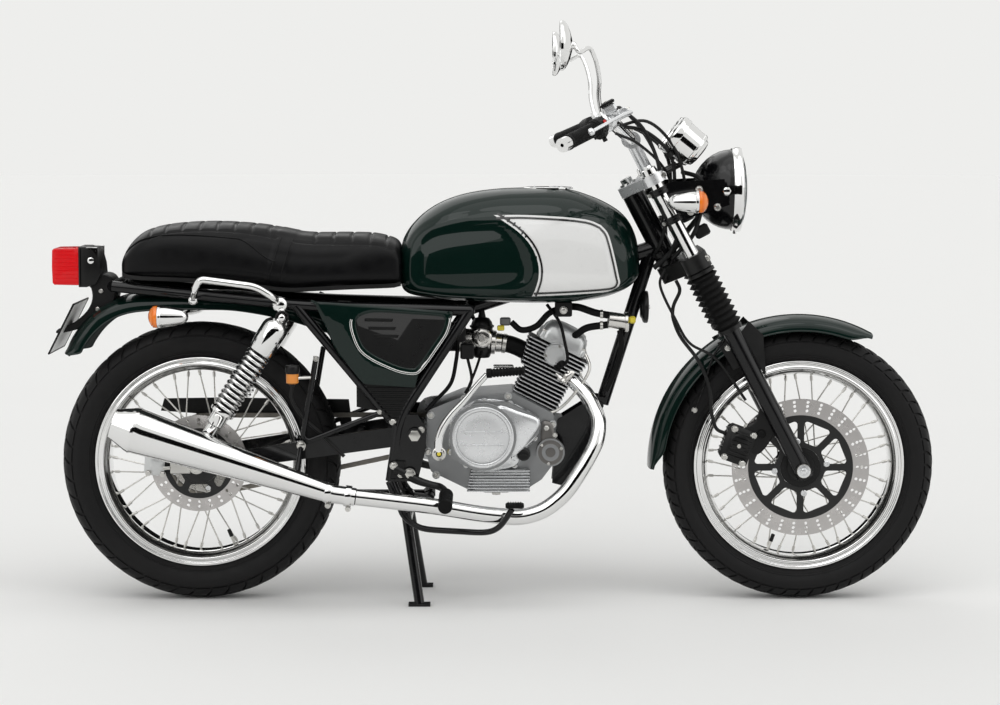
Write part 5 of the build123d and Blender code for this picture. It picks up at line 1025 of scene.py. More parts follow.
class CAFE_OT_seat(bpy.types.Operator):
    """Padded seat with sewn channels, piping, side seams, strap and pan"""
    bl_idname = "cafe.seat"
    bl_label = "Seat"

    def puffed(self, piece):
        """Swells the pad with a short cloth run and keeps every place near where it began."""
        start = [v.co.copy() for v in piece.data.vertices]
        foot = piece.vertex_groups.new(name="foot")
        low = [v.index for v in piece.data.vertices
               if v.co.z < (between(SEAT_STATIONS, v.co.x / MM)[1] + 16) * MM]
        foot.add(low, 1.0, "REPLACE")
        cloth = piece.modifiers.new("puff", "CLOTH")
        cloth.settings.quality = 4
        cloth.settings.mass = 0.4
        cloth.settings.use_pressure = True
        cloth.settings.uniform_pressure_force = SEAT_PRESSURE
        cloth.settings.vertex_group_mass = "foot"
        cloth.settings.effector_weights.gravity = 0
        cloth.collision_settings.use_self_collision = False
        scene = bpy.context.scene
        for frame_number in range(1, 16):
            scene.frame_set(frame_number)
        settled = piece.evaluated_get(bpy.context.evaluated_depsgraph_get())
        moved = [v.co.copy() for v in settled.data.vertices]
        piece.modifiers.remove(cloth)
        piece.vertex_groups.clear()
        scene.frame_set(1)
        limit = SEAT_CAP_MM * MM
        for vertex, old, new in zip(piece.data.vertices, start, moved):
            step = new - old
            if step.length > limit:
                step *= limit / step.length
            vertex.co = old + step

    def execute(self, context):
        sizes = context.scene.cafe_body
        first, last = SEAT_STATIONS[0][0], SEAT_STATIONS[-1][0]
        base = Shape()
        rows = []
        for i in range(SEAT_ROWS // 2):
            share = i / (SEAT_ROWS // 2 - 1)
            eased = 0.5 - 0.5 * math.cos(math.pi * share)
            rows.append(seat_ring(first + (last - first) * (share * 0.6 + eased * 0.4), 2.5))
        base.rings(rows, caps=True)
        piece = base.build("seat_pad", ("leather", "stitching", "black_plastic"), "chassis",
                           sharp=180)
        triangles = bmesh.new()
        triangles.from_mesh(piece.data)
        ends = [f for f in triangles.faces if len(f.verts) > 4]
        bmesh.ops.poke(triangles, faces=ends)
        triangles.to_mesh(piece.data)
        triangles.free()
        self.puffed(piece)
        smooth = piece.modifiers.new("finer", "SUBSURF")
        smooth.levels = smooth.render_levels = 2
        fine = bpy.data.meshes.new_from_object(piece.evaluated_get(context.evaluated_depsgraph_get()))
        piece.modifiers.clear()
        piece.data = fine
        depth = sizes.channel_depth
        for vertex in fine.vertices:
            x, y, z = (c / MM for c in vertex.co)
            crown, foot, wide = between(SEAT_STATIONS, x)[:3]
            top = ramp(z, foot + (crown - foot) * 0.62, foot + (crown - foot) * 0.86)
            ribbed = ramp(RIB_HALF + 4 - abs(y), -3, 5) * ramp(x, -762, -745) * ramp(-x, 216, 228)
            sink = 0.0
            for place in SEAM_PLACES:
                sink += math.exp(-((x - place) / CHANNEL_WIDTH) ** 2)
            sink = min(sink, 1) * ribbed
            edge = math.exp(-((abs(y) - RIB_HALF) / CHANNEL_WIDTH) ** 2)
            edge *= ramp(x, *RIB_FADE_REAR) * ramp(-x, *RIB_FADE_FRONT)
            end = math.exp(-((x - RIBBED_REAR) / 2.8) ** 2) * ramp(RIB_HALF + 3 - abs(y), -1, 3)
            upright = x + STRAP_LEAN * (crown - z)
            strap = ramp(upright, STRAP[0] - 4, STRAP[0]) * ramp(-upright, -STRAP[1] - 4, -STRAP[1])
            total = max(sink, edge, end) * (1 - strap) * top
            vertex.co.z -= total * depth
            seam_up = foot + (crown - foot) * SIDE_SEAM_SHARE
            side_line = math.exp(-((z - seam_up) / SIDE_SEAM_WIDTH) ** 2) * (1 - top * 0.4)
            if upright < STRAP[0] - 6:
                vertex.co.y -= math.copysign(side_line * SIDE_SEAM_DEPTH * MM * ramp(abs(y), 40, 80), y)
            if strap > 0:
                vertex.co.z += strap * top * STRAP_THICK * MM
                vertex.co.y += math.copysign(strap * ramp(abs(y), wide * 0.7, wide * 0.95) * 1.4 * MM, y)
        fine.update()
        for polygon in fine.polygons:
            centre = polygon.center / MM
            foot = between(SEAT_STATIONS, centre.x)[1]
            polygon.material_index = 2 if centre.z < foot + 3 else 0
            polygon.use_smooth = True
        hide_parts("seat")

        tree = BVHTree.FromPolygons([tuple(v.co / MM) for v in fine.vertices],
                                    [tuple(p.vertices) for p in fine.polygons])
        trim = Shape()
        for way in (1, -1):
            for edge_x in (STRAP[0] + 4, STRAP[1] - 4):
                self.thread(trim, tree, [(edge_x - 24 * t, t) for t in (k / 14 for k in range(15))], way)
        for x in SEAM_PLACES:
            for shift in (-3.4, 3.4):
                line = []
                for k in range(21):
                    y = -RIB_HALF + 2 * RIB_HALF * k / 20
                    hit = tree.ray_cast(Vector((x + shift, y, 950)), Vector((0, 0, -1)))[0]
                    if hit:
                        line.append(hit + Vector((0, 0, 0.15)))
                self.stitches(trim, line)
        for way in (1, -1):
            piping = []
            for k in range(60):
                x = -806 + (-476 + 806) * k / 59
                crown, foot = between(SEAT_STATIONS, x)[:2]
                z = foot + (crown - foot) * (SIDE_SEAM_SHARE - 0.30 * ramp(x, -560,
                                                                           -476) + 0.02 * math.sin(k * 0.1))
                piping.append(drape(tree, x, z, way, 0.4))
            trim.tube(piping, 1.7, 8, 0)
        trim.build("seat_stitching", ("leather", "stitching"), "chassis")
        pan = Shape()
        line = [seat_ring(x, 0) for x in [-816 + 612 * k / 40 for k in range(41)]]
        for way in (1, -1):
            rows = []
            for ring in line:
                x = ring[0].x
                foot, wide = between(SEAT_STATIONS, x)[1:3]
                rows.append([Vector((x, way * (wide * 0.99 + out), foot + rise)) for out, rise in PAN_SECTION])
            pan.rings(rows, caps=True)
        pan.build("seat_pan_edge", "black_plastic", "chassis")
        return {"FINISHED"}

    def thread(self, trim, tree, line, way):
        """Raised seam that runs down the seat's side from the crown."""
        places = []
        for x, t in line:
            crown, foot = between(SEAT_STATIONS, x)[:2]
            places.append(drape(tree, x - 8 * t, crown - (crown - foot) * (0.10 + 0.85 * t), way, 0.5))
        trim.tube(places, 1.2, 6, 0)

    def stitches(self, trim, line):
        """Short thread stitches along a line."""
        for a, b in zip(line, line[1:]):
            trim.tube([a.lerp(b, 0.15), a.lerp(b, 0.5) + Vector((0, 0, 0.35)), a.lerp(b, 0.85)], 0.45, 5, 1)


class CafeWheels(bpy.types.PropertyGroup):
    """Sizes of the wheels that a user would change."""
    tread_depth: bpy.props.FloatProperty(
        name="Tread depth", description="Depth of the grooves between the tread blocks", default=0.0048,
        min=0.001, max=0.01, unit="LENGTH", subtype="DISTANCE")
    groove: bpy.props.FloatProperty(
        name="Groove width", description="Width of the grooves between the tread blocks", default=0.0042,
        min=0.001, max=0.01, unit="LENGTH", subtype="DISTANCE")


# Tyre: node, axle, outer radius, half width, half width at the bead, blocks round, body
TYRES = (
    ("front_tyre", FRONT_AXLE, 301, 49, 31.5, 60, "front_wheel"),
    ("rear_tyre", REAR_AXLE, 310, 56, 38.5, 46, "rear_wheel"),
)
# Tread row: from and to as shares of the half width, lean as a share of a block, start as a share of a block
TREAD_ROWS = ((-1.00, -0.66, -0.35, 0.10), (-0.63, -0.24, 0.45, 0.45), (-0.20, 0.20, 0.0, 0.0),
              (0.24, 0.63, -0.45, 0.95), (0.66, 1.00, 0.35, 0.60))
TREAD_HALF_SHARE = 0.98
# Across a tread block: places as shares of its length, how deep its sides and its end rows sink in millimetres
BLOCK_SHARES = (0, 0.04, 0.35, 0.65, 0.96, 1)
BLOCK_ROWS = 5
BLOCK_SINKS = (0.35, 0, 0, 0.35)
BLOCK_END_SINKS = (0.5, 0.3, 0.3, 0.5)
TYRE_STEPS = 180
RIB_STEPS = 120
# Raised rib round the tyre's side as (out, across) pairs
RIB_SECTION = ((-0.6, -1.4), (0.7, -0.5), (0.7, 0.5), (-0.6, 1.4))
# Where the tread begins and is full, as shares of the rise from the rim to the crown
TREAD_START_SHARE, TREAD_FULL_SHARE = 0.60, 0.70
# Turn of the valve in degrees
VALVE_TURNS = {"front_wheel": -108, "rear_wheel": -70}


def tyre_section(outer, half, bead):
    """Half section from the bead over the side to the crown, as across and radius."""
    rise = outer - RIM_FLANGE
    points = [(bead, RIM_FLANGE + 0.6), (bead + (half - bead) * 0.55, RIM_FLANGE + rise * 0.14),
              (half * 0.985, RIM_FLANGE + rise * 0.38), (half * 0.99, RIM_FLANGE + rise * 0.56),
              (half * 0.90, RIM_FLANGE + rise * 0.745), (half * 0.68, RIM_FLANGE + rise * 0.885),
              (half * 0.36, RIM_FLANGE + rise * 0.972), (0, outer)]
    line = smooth_line([Vector((y, r, 0)) for y, r in points], 6)
    return [(p.x, p.y) for p in line]


class CAFE_OT_tyres(bpy.types.Operator):
    """Tyres with cut tread blocks and side ribs, and the valve stems"""
    bl_idname = "cafe.tyres"
    bl_label = "Tyres"

    def execute(self, context):
        sizes = context.scene.cafe_wheels
        depth, groove = sizes.tread_depth / MM, sizes.groove / MM
        for node, axle, outer, half, bead, count, body in TYRES:
            side_line = tyre_section(outer, half, bead)
            full = [(-y, r) for y, r in side_line] + [(y, r) for y, r in reversed(side_line[:-1])]
            rise = outer - RIM_FLANGE
            crown = [(y, r) for y, r in full if r > RIM_FLANGE + rise * 0.62]
            high = crown[-1][0]

            def surface(share, angle, sink):
                y = share * high * TREAD_HALF_SHARE
                for a, b in zip(crown, crown[1:]):
                    if a[0] <= y <= b[0]:
                        t = (y - a[0]) / (b[0] - a[0])
                        radius = a[1] + (b[1] - a[1]) * t
                        slope = Vector((a[1] - b[1], b[0] - a[0])).normalized()
                        break
                return axle + polar(radius - sink * slope.y, angle) + LEFT * (y - sink * slope.x)

            shape = Shape()
            carcass = []
            for y, r in full:
                on_tread = ramp(r, RIM_FLANGE + rise * TREAD_START_SHARE, RIM_FLANGE + rise * TREAD_FULL_SHARE)
                carcass.append((y * (1 - on_tread * depth / outer), r - on_tread * depth))
            rows = []
            for k in range(TYRE_STEPS):
                angle = 2 * math.pi * k / TYRE_STEPS
                rows.append([axle + polar(r, angle) + LEFT * y for y, r in carcass]
                            + [axle + polar(RIM_FLANGE - 8, angle) + LEFT * y for y in (bead - 1, -bead + 1)])
            shape.rings(rows, loop=True)
            pitch = 2 * math.pi / count
            gap = groove / outer
            for from_share, to_share, lean, start in TREAD_ROWS:
                for k in range(count):
                    base = (k + start) * pitch + gap * 0.5
                    rows = [[surface(from_share, base + (pitch - gap) * t, depth) for t in BLOCK_SHARES]]
                    for i in range(BLOCK_ROWS):
                        u = i / (BLOCK_ROWS - 1)
                        share = from_share + (to_share - from_share) * u
                        sinks = BLOCK_END_SINKS if i in (0, BLOCK_ROWS - 1) else BLOCK_SINKS
                        rows.append([surface(share, base + lean * pitch * u + (pitch - gap) * t, sink)
                                     for t, sink in zip(BLOCK_SHARES, (depth, *sinks, depth))])
                    rows.append([surface(to_share, base + lean * pitch + (pitch - gap) * t, depth)
                                 for t in BLOCK_SHARES])
                    shape.rings(rows, seam=False)
            for way in (1, -1):
                for radius in (RIM_FLANGE + 9, RIM_FLANGE + 13, RIM_FLANGE + rise * 0.57):
                    y = next(y for y, r in side_line if r >= radius)
                    line = [axle + polar(radius, 2 * math.pi * k / RIB_STEPS) + LEFT * (way * (y - 0.3))
                            for k in range(RIB_STEPS)]
                    rows = [[p + LEFT * (way * out) + (p - axle - LEFT * p.y).normalized() * wide
                             for out, wide in RIB_SECTION] for p in line]
                    shape.rings(rows, loop=True)
            piece = shape.build(node + "_tread", "tyre", body, sharp=32)
            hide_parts(node)

            extras = Shape()
            valve_angle = math.radians(VALVE_TURNS[body])
            foot = axle + polar(202, valve_angle)
            tip = axle + polar(168, valve_angle) - LEFT * 4
            extras.rod(foot, foot.lerp(tip, 0.55), 3.2, 1, 12)
            extras.rod(foot.lerp(tip, 0.5), tip, 4.4, 0, 12)
            extras.build(node.replace("tyre", "valve"), ("black_plastic", "zinc"), body)
        return {"FINISHED"}


# Brake disc bolts: axle, circle radius, count, turn in degrees, body, side, head radius
DISC_BOLTS = (
    (FRONT_AXLE, 58, 4, 8, "front_wheel", -64.0, 7.0),
    (REAR_AXLE, 58, 4, 20, "rear_wheel", -64.0, 6.0),
    (REAR_AXLE, 54, 6, 0, "rear_wheel", 73.0, 6.0),
)


# Rim's side from the flange's lip in to the well: inset from the flange, radius
RIM_SIDE = ((4, 233.6), (2.4, 234), (0.8, 233.4), (0, 231.6), (0, 229.6), (0.8, 228.0), (2.4, 226.8),
            (3.2, 225.2), (3.0, 223.4), (1.6, 221.6), (0.7, 219.6), (0.7, 217.6), (1.6, 215.8), (3.4, 214.2),
            (5.6, 212.8), (7.8, 211.0), (9.6, 209.0), (11.8, 207.2), (14.4, 205.6), (17.4, 204.2))
BEAD_RADIUS = 218
RIMS = (("front", FRONT_AXLE, 36), ("rear", REAR_AXLE, 43))


class CAFE_OT_rims(bpy.types.Operator):
    """Rolled wheel rims with stepped sides"""
    bl_idname = "cafe.rims"
    bl_label = "Rims"

    def execute(self, context):
        for name, axle, half in RIMS:
            section = [(-half + inset, radius) for inset, radius in RIM_SIDE]
            section += [(-half * 0.45, 203), (-half * 0.2, 202.6), (half * 0.2, 202.6), (half * 0.45, 203)]
            section += [(half - inset, radius) for inset, radius in reversed(RIM_SIDE)]
            section += [(half - 4, BEAD_RADIUS), (half * 0.45, BEAD_RADIUS - 5),
                        (-half * 0.45, BEAD_RADIUS - 5), (-half + 4, BEAD_RADIUS)]
            shape = Shape()
            shape.lathe(axle, LEFT, section, 144, loop=True)
            piece = shape.build(name + "_rim_skin", "chrome", name + "_wheel", sharp=40)
            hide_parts(name + "_rim")
        return {"FINISHED"}


class CAFE_OT_wheel_details(bpy.types.Operator):
    """Disc bolts of both wheels, and the front wheel's hub cap, bearing covers and axle ends"""
    bl_idname = "cafe.wheel_details"
    bl_label = "Wheel details"

    def execute(self, context):
        for index, (axle, radius, count, turn, body, side_y, size) in enumerate(DISC_BOLTS):
            shape = Shape()
            way = -1 if side_y < 0 else 1
            for k in range(count):
                spot = axle + polar(radius, math.radians(turn + 360 * k / count)) + LEFT * side_y
                shape.bolt(spot, (0, way, 0), size, 4.5, 0, socket=way < 0)
            shape.build("disc_bolts_%d" % index, "machined_alloy", body)
        hub = Shape()
        for k in range(24):
            spot = FRONT_AXLE + polar(37, 2 * math.pi * k / 24) + LEFT * -64.2
            hub.lathe(spot, (0, -1, 0), [(0, 3.0), (1.2, 2.6), (1.4, 0)], 10)
        hub.lathe(FRONT_AXLE + LEFT * -64, (0, -1, 0),
                  [(0, 44), (1.2, 43.4), (1.2, 31), (4.5, 30), (5.5, 26), (5.5, 15)], 56)
        hub.build("front_hub_cap", "satin_black", "front_wheel")
        ends = Shape()
        for way in (1, -1):
            ends.lathe(FRONT_AXLE + LEFT * (way * 125.5), (0, way, 0),
                       [(-2, 14.5), (1, 14), (1.5, 10), (0.6, 9.5), (0.6, 0)], 32)
            ends.bolt(FRONT_AXLE + LEFT * (way * 125.8), (0, way, 0), 7.5, 3.5)
        ends.build("front_axle_ends", "machined_alloy", "steering_head")
        return {"FINISHED"}


# Mudguard across its section: share of the half width, share of the rise from edge to crown
GUARD_SECTION = tuple((math.sin(a), math.cos(a)) for a in (math.radians(-90 + 180 * k / 20) for k in range(21)))

# Front guard: radius of the crown, radius of the edge, half width, wall; its ends in degrees and its steps
FRONT_GUARD = (335, 303, 62, 2.2)
FRONT_GUARD_TURNS = (61.5, 181)
FRONT_GUARD_STEPS = 72
# Rear guard: depth of the skirt, half width, wall; its crown line in X and Z
REAR_GUARD = (38, 75, 2.2)
REAR_GUARD_PATH = ((-950, 556), (-936, 588), (-906, 628), (-866, 660), (-815, 681), (-750, 689), (-650, 691),
                   (-560, 688), (-450, 668), (-354, 638))


class CAFE_OT_guards(bpy.types.Operator):
    """Front and rear mudguards with rolled edges, and the front guard's stays"""
    bl_idname = "cafe.guards"
    bl_label = "Mudguards"

    def execute(self, context):
        shape = Shape()
        crown, edge, half, wall = FRONT_GUARD
        start, stop = (math.radians(turn) for turn in FRONT_GUARD_TURNS)
        rows, lips = [], {1: [], -1: []}
        last = FRONT_GUARD_STEPS - 1
        for k in range(FRONT_GUARD_STEPS):
            angle = start + (stop - start) * k / last
            pull = (1 - ramp(min(k, last - k), 0, 7)) ** 2
            low = edge + (crown - edge) * 0.72 * pull
            outer, inner = [], []
            for across, rise in GUARD_SECTION:
                y = half * across * (1 - 0.06 * pull)
                r = low + (crown - low) * max(rise, 0) ** 0.72
                outer.append(FRONT_AXLE + polar(r, angle) + LEFT * y)
                inner.append(FRONT_AXLE + polar(r - wall, angle) + LEFT * (y * (1 - wall / half)))
            rows.append(outer + inner[::-1])
            for way in (1, -1):
                aside = way * half * (1 - 0.06 * pull) - way * 0.5
                lips[way].append(FRONT_AXLE + polar(low, angle) + LEFT * aside)
        shape.rings(rows, caps=True)
        for way in (1, -1):
            shape.tube(lips[way], 2.4, 8)
        for way in (1, -1):
            shape.plate([fork_at(332, 12, way * 71), fork_at(332, -38, way * 69), fork_at(262, -34, way * 66),
                         fork_at(262, 14, way * 70)], LEFT * (way * 2.5), 1)
            shape.bolt(fork_at(312, -22, way * 71), (0, way, 0), 6, 5, 2)
        piece = shape.build("front_guard_skin", ("paint", "satin_black", "zinc"), "steering_head")
        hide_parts("front_guard")
        brace = Shape()
        for way in (1, -1):
            brace.tube(smooth_line([fork_at(330, -22, way * 72), fork_at(308, -60, way * 66),
                                    fork_at(250, -120, way * 61),
                                    fork_at(216, -158, way * 61)], 6), 5, 10, flat=0.5)
            brace.bolt(fork_at(222, -150, way * 63.5), (0, way, 0), 5, 4, 1)
            brace.plate([fork_at(330, 20, way * 73), fork_at(342, 46, way * 64), fork_at(300, 60, way * 64),
                         fork_at(215, 22, way * 73)], LEFT * (way * 3), 0)
        brace.build("front_guard_stays", ("satin_black", "zinc"), "steering_head")

        rear = Shape()
        path = smooth_line([(x, 0, z) for x, z in REAR_GUARD_PATH], 9)
        rows, lips = [], {1: [], -1: []}
        skirt, half, wall = REAR_GUARD
        for k, place in enumerate(path):
            ahead = (path[min(k + 1, len(path) - 1)] - path[max(k - 1, 0)]).normalized()
            out = Vector((-ahead.z, 0, ahead.x))
            pull = (1 - ramp(k, 0, 6)) ** 2
            deep = skirt * (1 - 0.6 * pull)
            outer, inner = [], []
            for across, rise in GUARD_SECTION:
                lift = max(rise, 0) ** 0.5
                outer.append(place + out * (deep * (lift - 1)) + LEFT * (half * across))
                narrow = half * across * (1 - wall / half)
                inner.append(place + out * (deep * (lift - 1) - wall * lift) + LEFT * narrow)
            rows.append(outer + inner[::-1])
            for way in (1, -1):
                lips[way].append(place - out * deep + LEFT * (way * half))
        rear.rings(rows, caps=True)
        for way in (1, -1):
            rear.tube(lips[way], 2.2, 8)
        piece = rear.build("rear_guard_skin", "paint", "chassis")
        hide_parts("rear_guard")
        return {"FINISHED"}


CHAIN_PITCH = 12.7
CHAIN_Y = 70
CHAIN_REAR_RADIUS = 90.5
CHAIN_FRONT = Vector((-112, 0, 368))
CHAIN_FRONT_RADIUS = 34.5


class CAFE_OT_chain(bpy.types.Operator):
    """Drive chain of pins, rollers and side plates"""
    bl_idname = "cafe.chain"
    bl_label = "Chain"

    def execute(self, context):
        across = CHAIN_FRONT - REAR_AXLE
        base = math.atan2(across.z, across.x)
        lean = math.pi / 2 - math.asin((CHAIN_REAR_RADIUS - CHAIN_FRONT_RADIUS) / across.length)
        line = []
        for k in range(61):
            line.append(REAR_AXLE + polar(CHAIN_REAR_RADIUS, base + lean + (2 * math.pi - 2 * lean) * k / 60))
        for k in range(31):
            line.append(CHAIN_FRONT + polar(CHAIN_FRONT_RADIUS, base - lean + 2 * lean * k / 30))
        line.append(line[0])
        lengths = [0]
        for a, b in zip(line, line[1:]):
            lengths.append(lengths[-1] + (b - a).length)
        count = round(lengths[-1] / CHAIN_PITCH / 2) * 2
        pins, k = [], 0
        for i in range(count):
            want = lengths[-1] * i / count
            while lengths[k + 1] < want:
                k += 1
            share = (want - lengths[k]) / (lengths[k + 1] - lengths[k])
            pins.append(line[k].lerp(line[k + 1], share) + LEFT * CHAIN_Y)
        shape = Shape()
        for i, pin in enumerate(pins):
            after = pins[(i + 1) % count]
            along = (after - pin).normalized()
            up = Vector((-along.z, 0, along.x))
            shape.lathe(pin - LEFT * 3.2, LEFT, [(0, 0), (0, 4.0), (6.4, 4.0), (6.4, 0)], 8, 1)
            out = 4.6 if i % 2 else 3.2
            for way in (1, -1):
                rim = []
                for t in range(10):
                    start, centre = (math.pi / 2, pin) if t < 5 else (-math.pi / 2, after)
                    angle = start + math.pi * (t % 5) / 4
                    edge = along * (5.0 * math.cos(angle)) + up * (5.0 * math.sin(angle))
                    rim.append(centre + edge + LEFT * (way * out))
                shape.plate(rim, LEFT * (way * 1.3), 0, bevel=0.2)
        piece = shape.build("drive_chain", ("chain_steel", "zinc"), "chassis")
        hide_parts("chain")
        return {"FINISHED"}


# Places of the front end
LAMP_CENTRE = fork_at(605, 162, 0)
DIAL_NORMAL = Vector((-math.sin(math.radians(51)), 0, math.cos(math.radians(51))))
BAR_TIP = fork_at(880, -135, 350)
BAR_BEND = fork_at(876, -48, 225)
BAR_INWARD = (BAR_BEND - BAR_TIP).normalized()
MIRROR_CENTRE = fork_at(1062, -50, 350)
# Headlamp's ring, bowl and reflector, back from its centre, and the faces of its glass, as (along, radius) pairs
LAMP_RING = ((6, 84), (-1, 85.5), (-3.4, 88), (-3.2, 90.5), (0, 92.6), (4, 93.2), (9, 92.8), (12, 91),
             (17.5, 91), (18.5, 89.4), (18.5, 86))
LAMP_BOWL = ((16, 87), (18.5, 88.6), (30, 87.6), (44, 84), (58, 77.5), (72, 67.5), (84, 55), (94, 40.5),
             (100.5, 25), (103.4, 11), (104, 0))
LAMP_REFLECTOR = ((4, 85), (12, 79), (26, 64), (38, 46), (46, 28), (50, 15), (51, 0))
GLASS_FACES = (
    ((0.5, 87.2), (1.5, 87.2), (6, 78), (11, 60), (14.5, 38), (16, 16), (16.2, 0)),
    ((0.5, 84), (4, 76), (8.5, 58), (12, 37), (13.4, 16), (13.6, 0)),
)
# Dial's case as (along, radius) pairs
DIAL_CASE = ((-38.5, 0), (-38.5, 27), (-36.5, 31), (-31, 33.5), (-29, 39), (-26, 40.8), (-22, 41.2),
             (-21, 40.2), (8, 41.4), (18, 41.8), (19, 43.6), (22, 44.2), (33, 44.2), (36.5, 43.6), (38.4, 41.6),
             (38.5, 39.6), (36.5, 38.4), (34.2, 38.4))
# Half of a dial's scale in degrees, and the marks on it
DIAL_SWEEP = 130
DIAL_MARKS = 41
# Rubber grip: ribs, their pitch and where the first one starts along the bar
GRIP_RIBS, GRIP_PITCH, GRIP_START = 20, 4.9, 9
# Bellows: folds, their pitch, first fold above the foot, and foot above the axle
FOLDS, FOLD_PITCH, FOLD_START, BELLOWS_FOOT = 9, 14.2, 11, 345.4


def bullet(shape, joint, way, chrome=0, lens=1):
    """Bullet indicator: turned housing behind its joint and a lens ahead of it."""
    back = FORWARD * -way
    shape.lathe(joint, back, [(0, 0), (0, 24.4), (1.5, 25.2), (6, 25.2), (7.5, 24), (20, 22.6), (38, 19.4),
                              (50, 16.6), (57, 14.2), (62, 10.4), (65, 5.5), (66, 0)], 40, chrome)
    shape.lathe(joint, -back, [(0.4, 0), (0.4, 23), (1, 24), (5, 24), (8, 23.2), (13, 20.4), (17, 15.6),
                               (20, 8.5), (21.2, 0)], 40, lens)
    for ring in (3.4, 6.6, 9.8):
        shape.lathe(joint, -back, [(ring - 0.9, 22.5), (ring, 24.5 - ring * 0.05), (ring + 0.9, 22.5)], 40,
                    lens)


class CAFE_OT_headlamp(bpy.types.Operator):
    """Headlamp bowl, ring, reflector, glass and brackets, with the front indicators"""
    bl_idname = "cafe.headlamp"
    bl_label = "Headlamp"

    def execute(self, context):
        shape = Shape()
        back = -FORWARD
        shape.lathe(LAMP_CENTRE, back, LAMP_RING, 72, 0)
        shape.lathe(LAMP_CENTRE, back, LAMP_BOWL, 72, 1)
        shape.lathe(LAMP_CENTRE, back, LAMP_REFLECTOR, 64, 2)
        shape.rod(LAMP_CENTRE + back * 50, LAMP_CENTRE + back * 26, 8, 0)
        shape.lathe(LAMP_CENTRE + back * 27, FORWARD, [(0, 12), (6, 11), (9, 6), (10, 0)], 24, 0)
        for way in (1, -1):
            pin = LAMP_CENTRE + back * 36
            shape.bolt(pin + LEFT * (way * 103), (0, way, 0), 9, 6, 0)
        shape.rod(LAMP_CENTRE + back * 9 - UP * 92, LAMP_CENTRE + back * 9 - UP * 98, 4, 0)
        piece = shape.build("headlamp", ("chrome", "frame_black", "reflector"), "steering_head")
        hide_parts("headlamp_bowl")
        glass = Shape()
        for face in GLASS_FACES:
            glass.lathe(LAMP_CENTRE, FORWARD, face, 64)
        piece = glass.build("lamp_lens", "lamp_glass", "steering_head")
        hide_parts("headlamp_glass")
        trim = Shape()
        for way in (1, -1):
            for up, ahead in ((618, 40), (600, 96), (652, 78)):
                trim.bolt(fork_at(up, ahead, way * 103), (0, way, 0), 6.5, 4.5, 0)
            for up in (612, 680):
                for lift in (4.5, 11.5):
                    trim.lathe(fork_at(up + lift, 0, way * FORK_SIDE), FORK_UP,
                               [(-1.4, 20.5), (-1.4, 21.8), (1.4, 21.8), (1.4, 20.5)], 40, 1)
                trim.rod(fork_at(up + 8, -24, way * (FORK_SIDE + 9)),
                         fork_at(up + 8, -24, way * (FORK_SIDE - 12)), 4, 0)
        trim.build("bracket_bolts", ("zinc", "satin_black"), "steering_head")
        lights = Shape()
        for way in (1, -1):
            joint = fork_at(632, 62, way * 150)
            bullet(lights, joint, 1)
            root = joint - FORWARD * 28.5
            lights.rod(Vector((root.x, way * 103.2, root.z)), Vector((root.x, way * 130, root.z)), 6, 0)
            lights.lathe(Vector((root.x, way * 103.2, root.z)), (0, way, 0),
                         [(0, 10.5), (5, 10), (9, 7), (9, 5)], 24, 2)
        piece = lights.build("front_bullets", ("chrome", "amber_lens", "rubber"), "steering_head")
        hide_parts("front_indicators")
        return {"FINISHED"}


class CAFE_OT_instruments(bpy.types.Operator):
    """Two round instruments with bezels, faces, scales and needles"""
    bl_idname = "cafe.instruments"
    bl_label = "Instruments"

    def execute(self, context):
        shape = Shape()
        across = DIAL_NORMAL.cross(LEFT).normalized()
        for way in (1, -1):
            centre = fork_at(752, 102, way * 50)
            shape.lathe(centre, DIAL_NORMAL, DIAL_CASE, 64, 0)
            shape.lathe(centre, DIAL_NORMAL, [(33.4, 39), (33.4, 0)], 64, 1)
            shape.lathe(centre, DIAL_NORMAL, [(-40, 0), (-40, 20), (-38, 22), (-36, 22)], 32, 3)
            for k in range(DIAL_MARKS):
                angle = math.radians(-DIAL_SWEEP + 2 * DIAL_SWEEP * k / (DIAL_MARKS - 1))
                spoke = across * math.cos(angle) + LEFT * math.sin(angle)
                side_way = DIAL_NORMAL.cross(spoke)
                long = 6.5 if k % 5 == 0 else 3.4
                start = centre + DIAL_NORMAL * 33.5 + spoke * 35.5
                width = 0.55 if k % 5 == 0 else 0.32
                shape.plate([start + side_way * width, start - side_way * width,
                             start - spoke * long - side_way * width,
                             start - spoke * long + side_way * width], DIAL_NORMAL * 0.4, 2, 0.05)
            needle = across * math.cos(math.radians(-DIAL_SWEEP)) + LEFT * math.sin(math.radians(-DIAL_SWEEP))
            square = DIAL_NORMAL.cross(needle)
            hub = centre + DIAL_NORMAL * 35.2
            shape.plate([hub + square * 1.4 - needle * 7, hub - square * 1.4 - needle * 7,
                         hub - square * 0.35 + needle * 30,
                         hub + square * 0.35 + needle * 30], DIAL_NORMAL * 0.7, 4, 0.1)
            shape.lathe(centre + DIAL_NORMAL * 33.4, DIAL_NORMAL, [(0, 6), (2.6, 6), (3.4, 4.5), (3.4, 0)], 24,
                        3)
            foot = fork_at(717, 26, way * 50)
            shape.rod(foot, foot + FORK_AHEAD * 42, 6, 3)
            shape.block(fork_at(717, 46, way * 50), (46, 26, 6), (FORK_AHEAD, LEFT, FORK_UP), 2, 3)
        lamp_box = fork_at(742, 72, 0)
        shape.block(lamp_box, (30, 70, 22), (FORK_AHEAD, LEFT, FORK_UP), 4, 3)
        piece = shape.build("dials", ("chrome", "dial_face", "dial_white", "satin_black", "red_plastic"),
                            "steering_head")
        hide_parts("instruments")
        return {"FINISHED"}


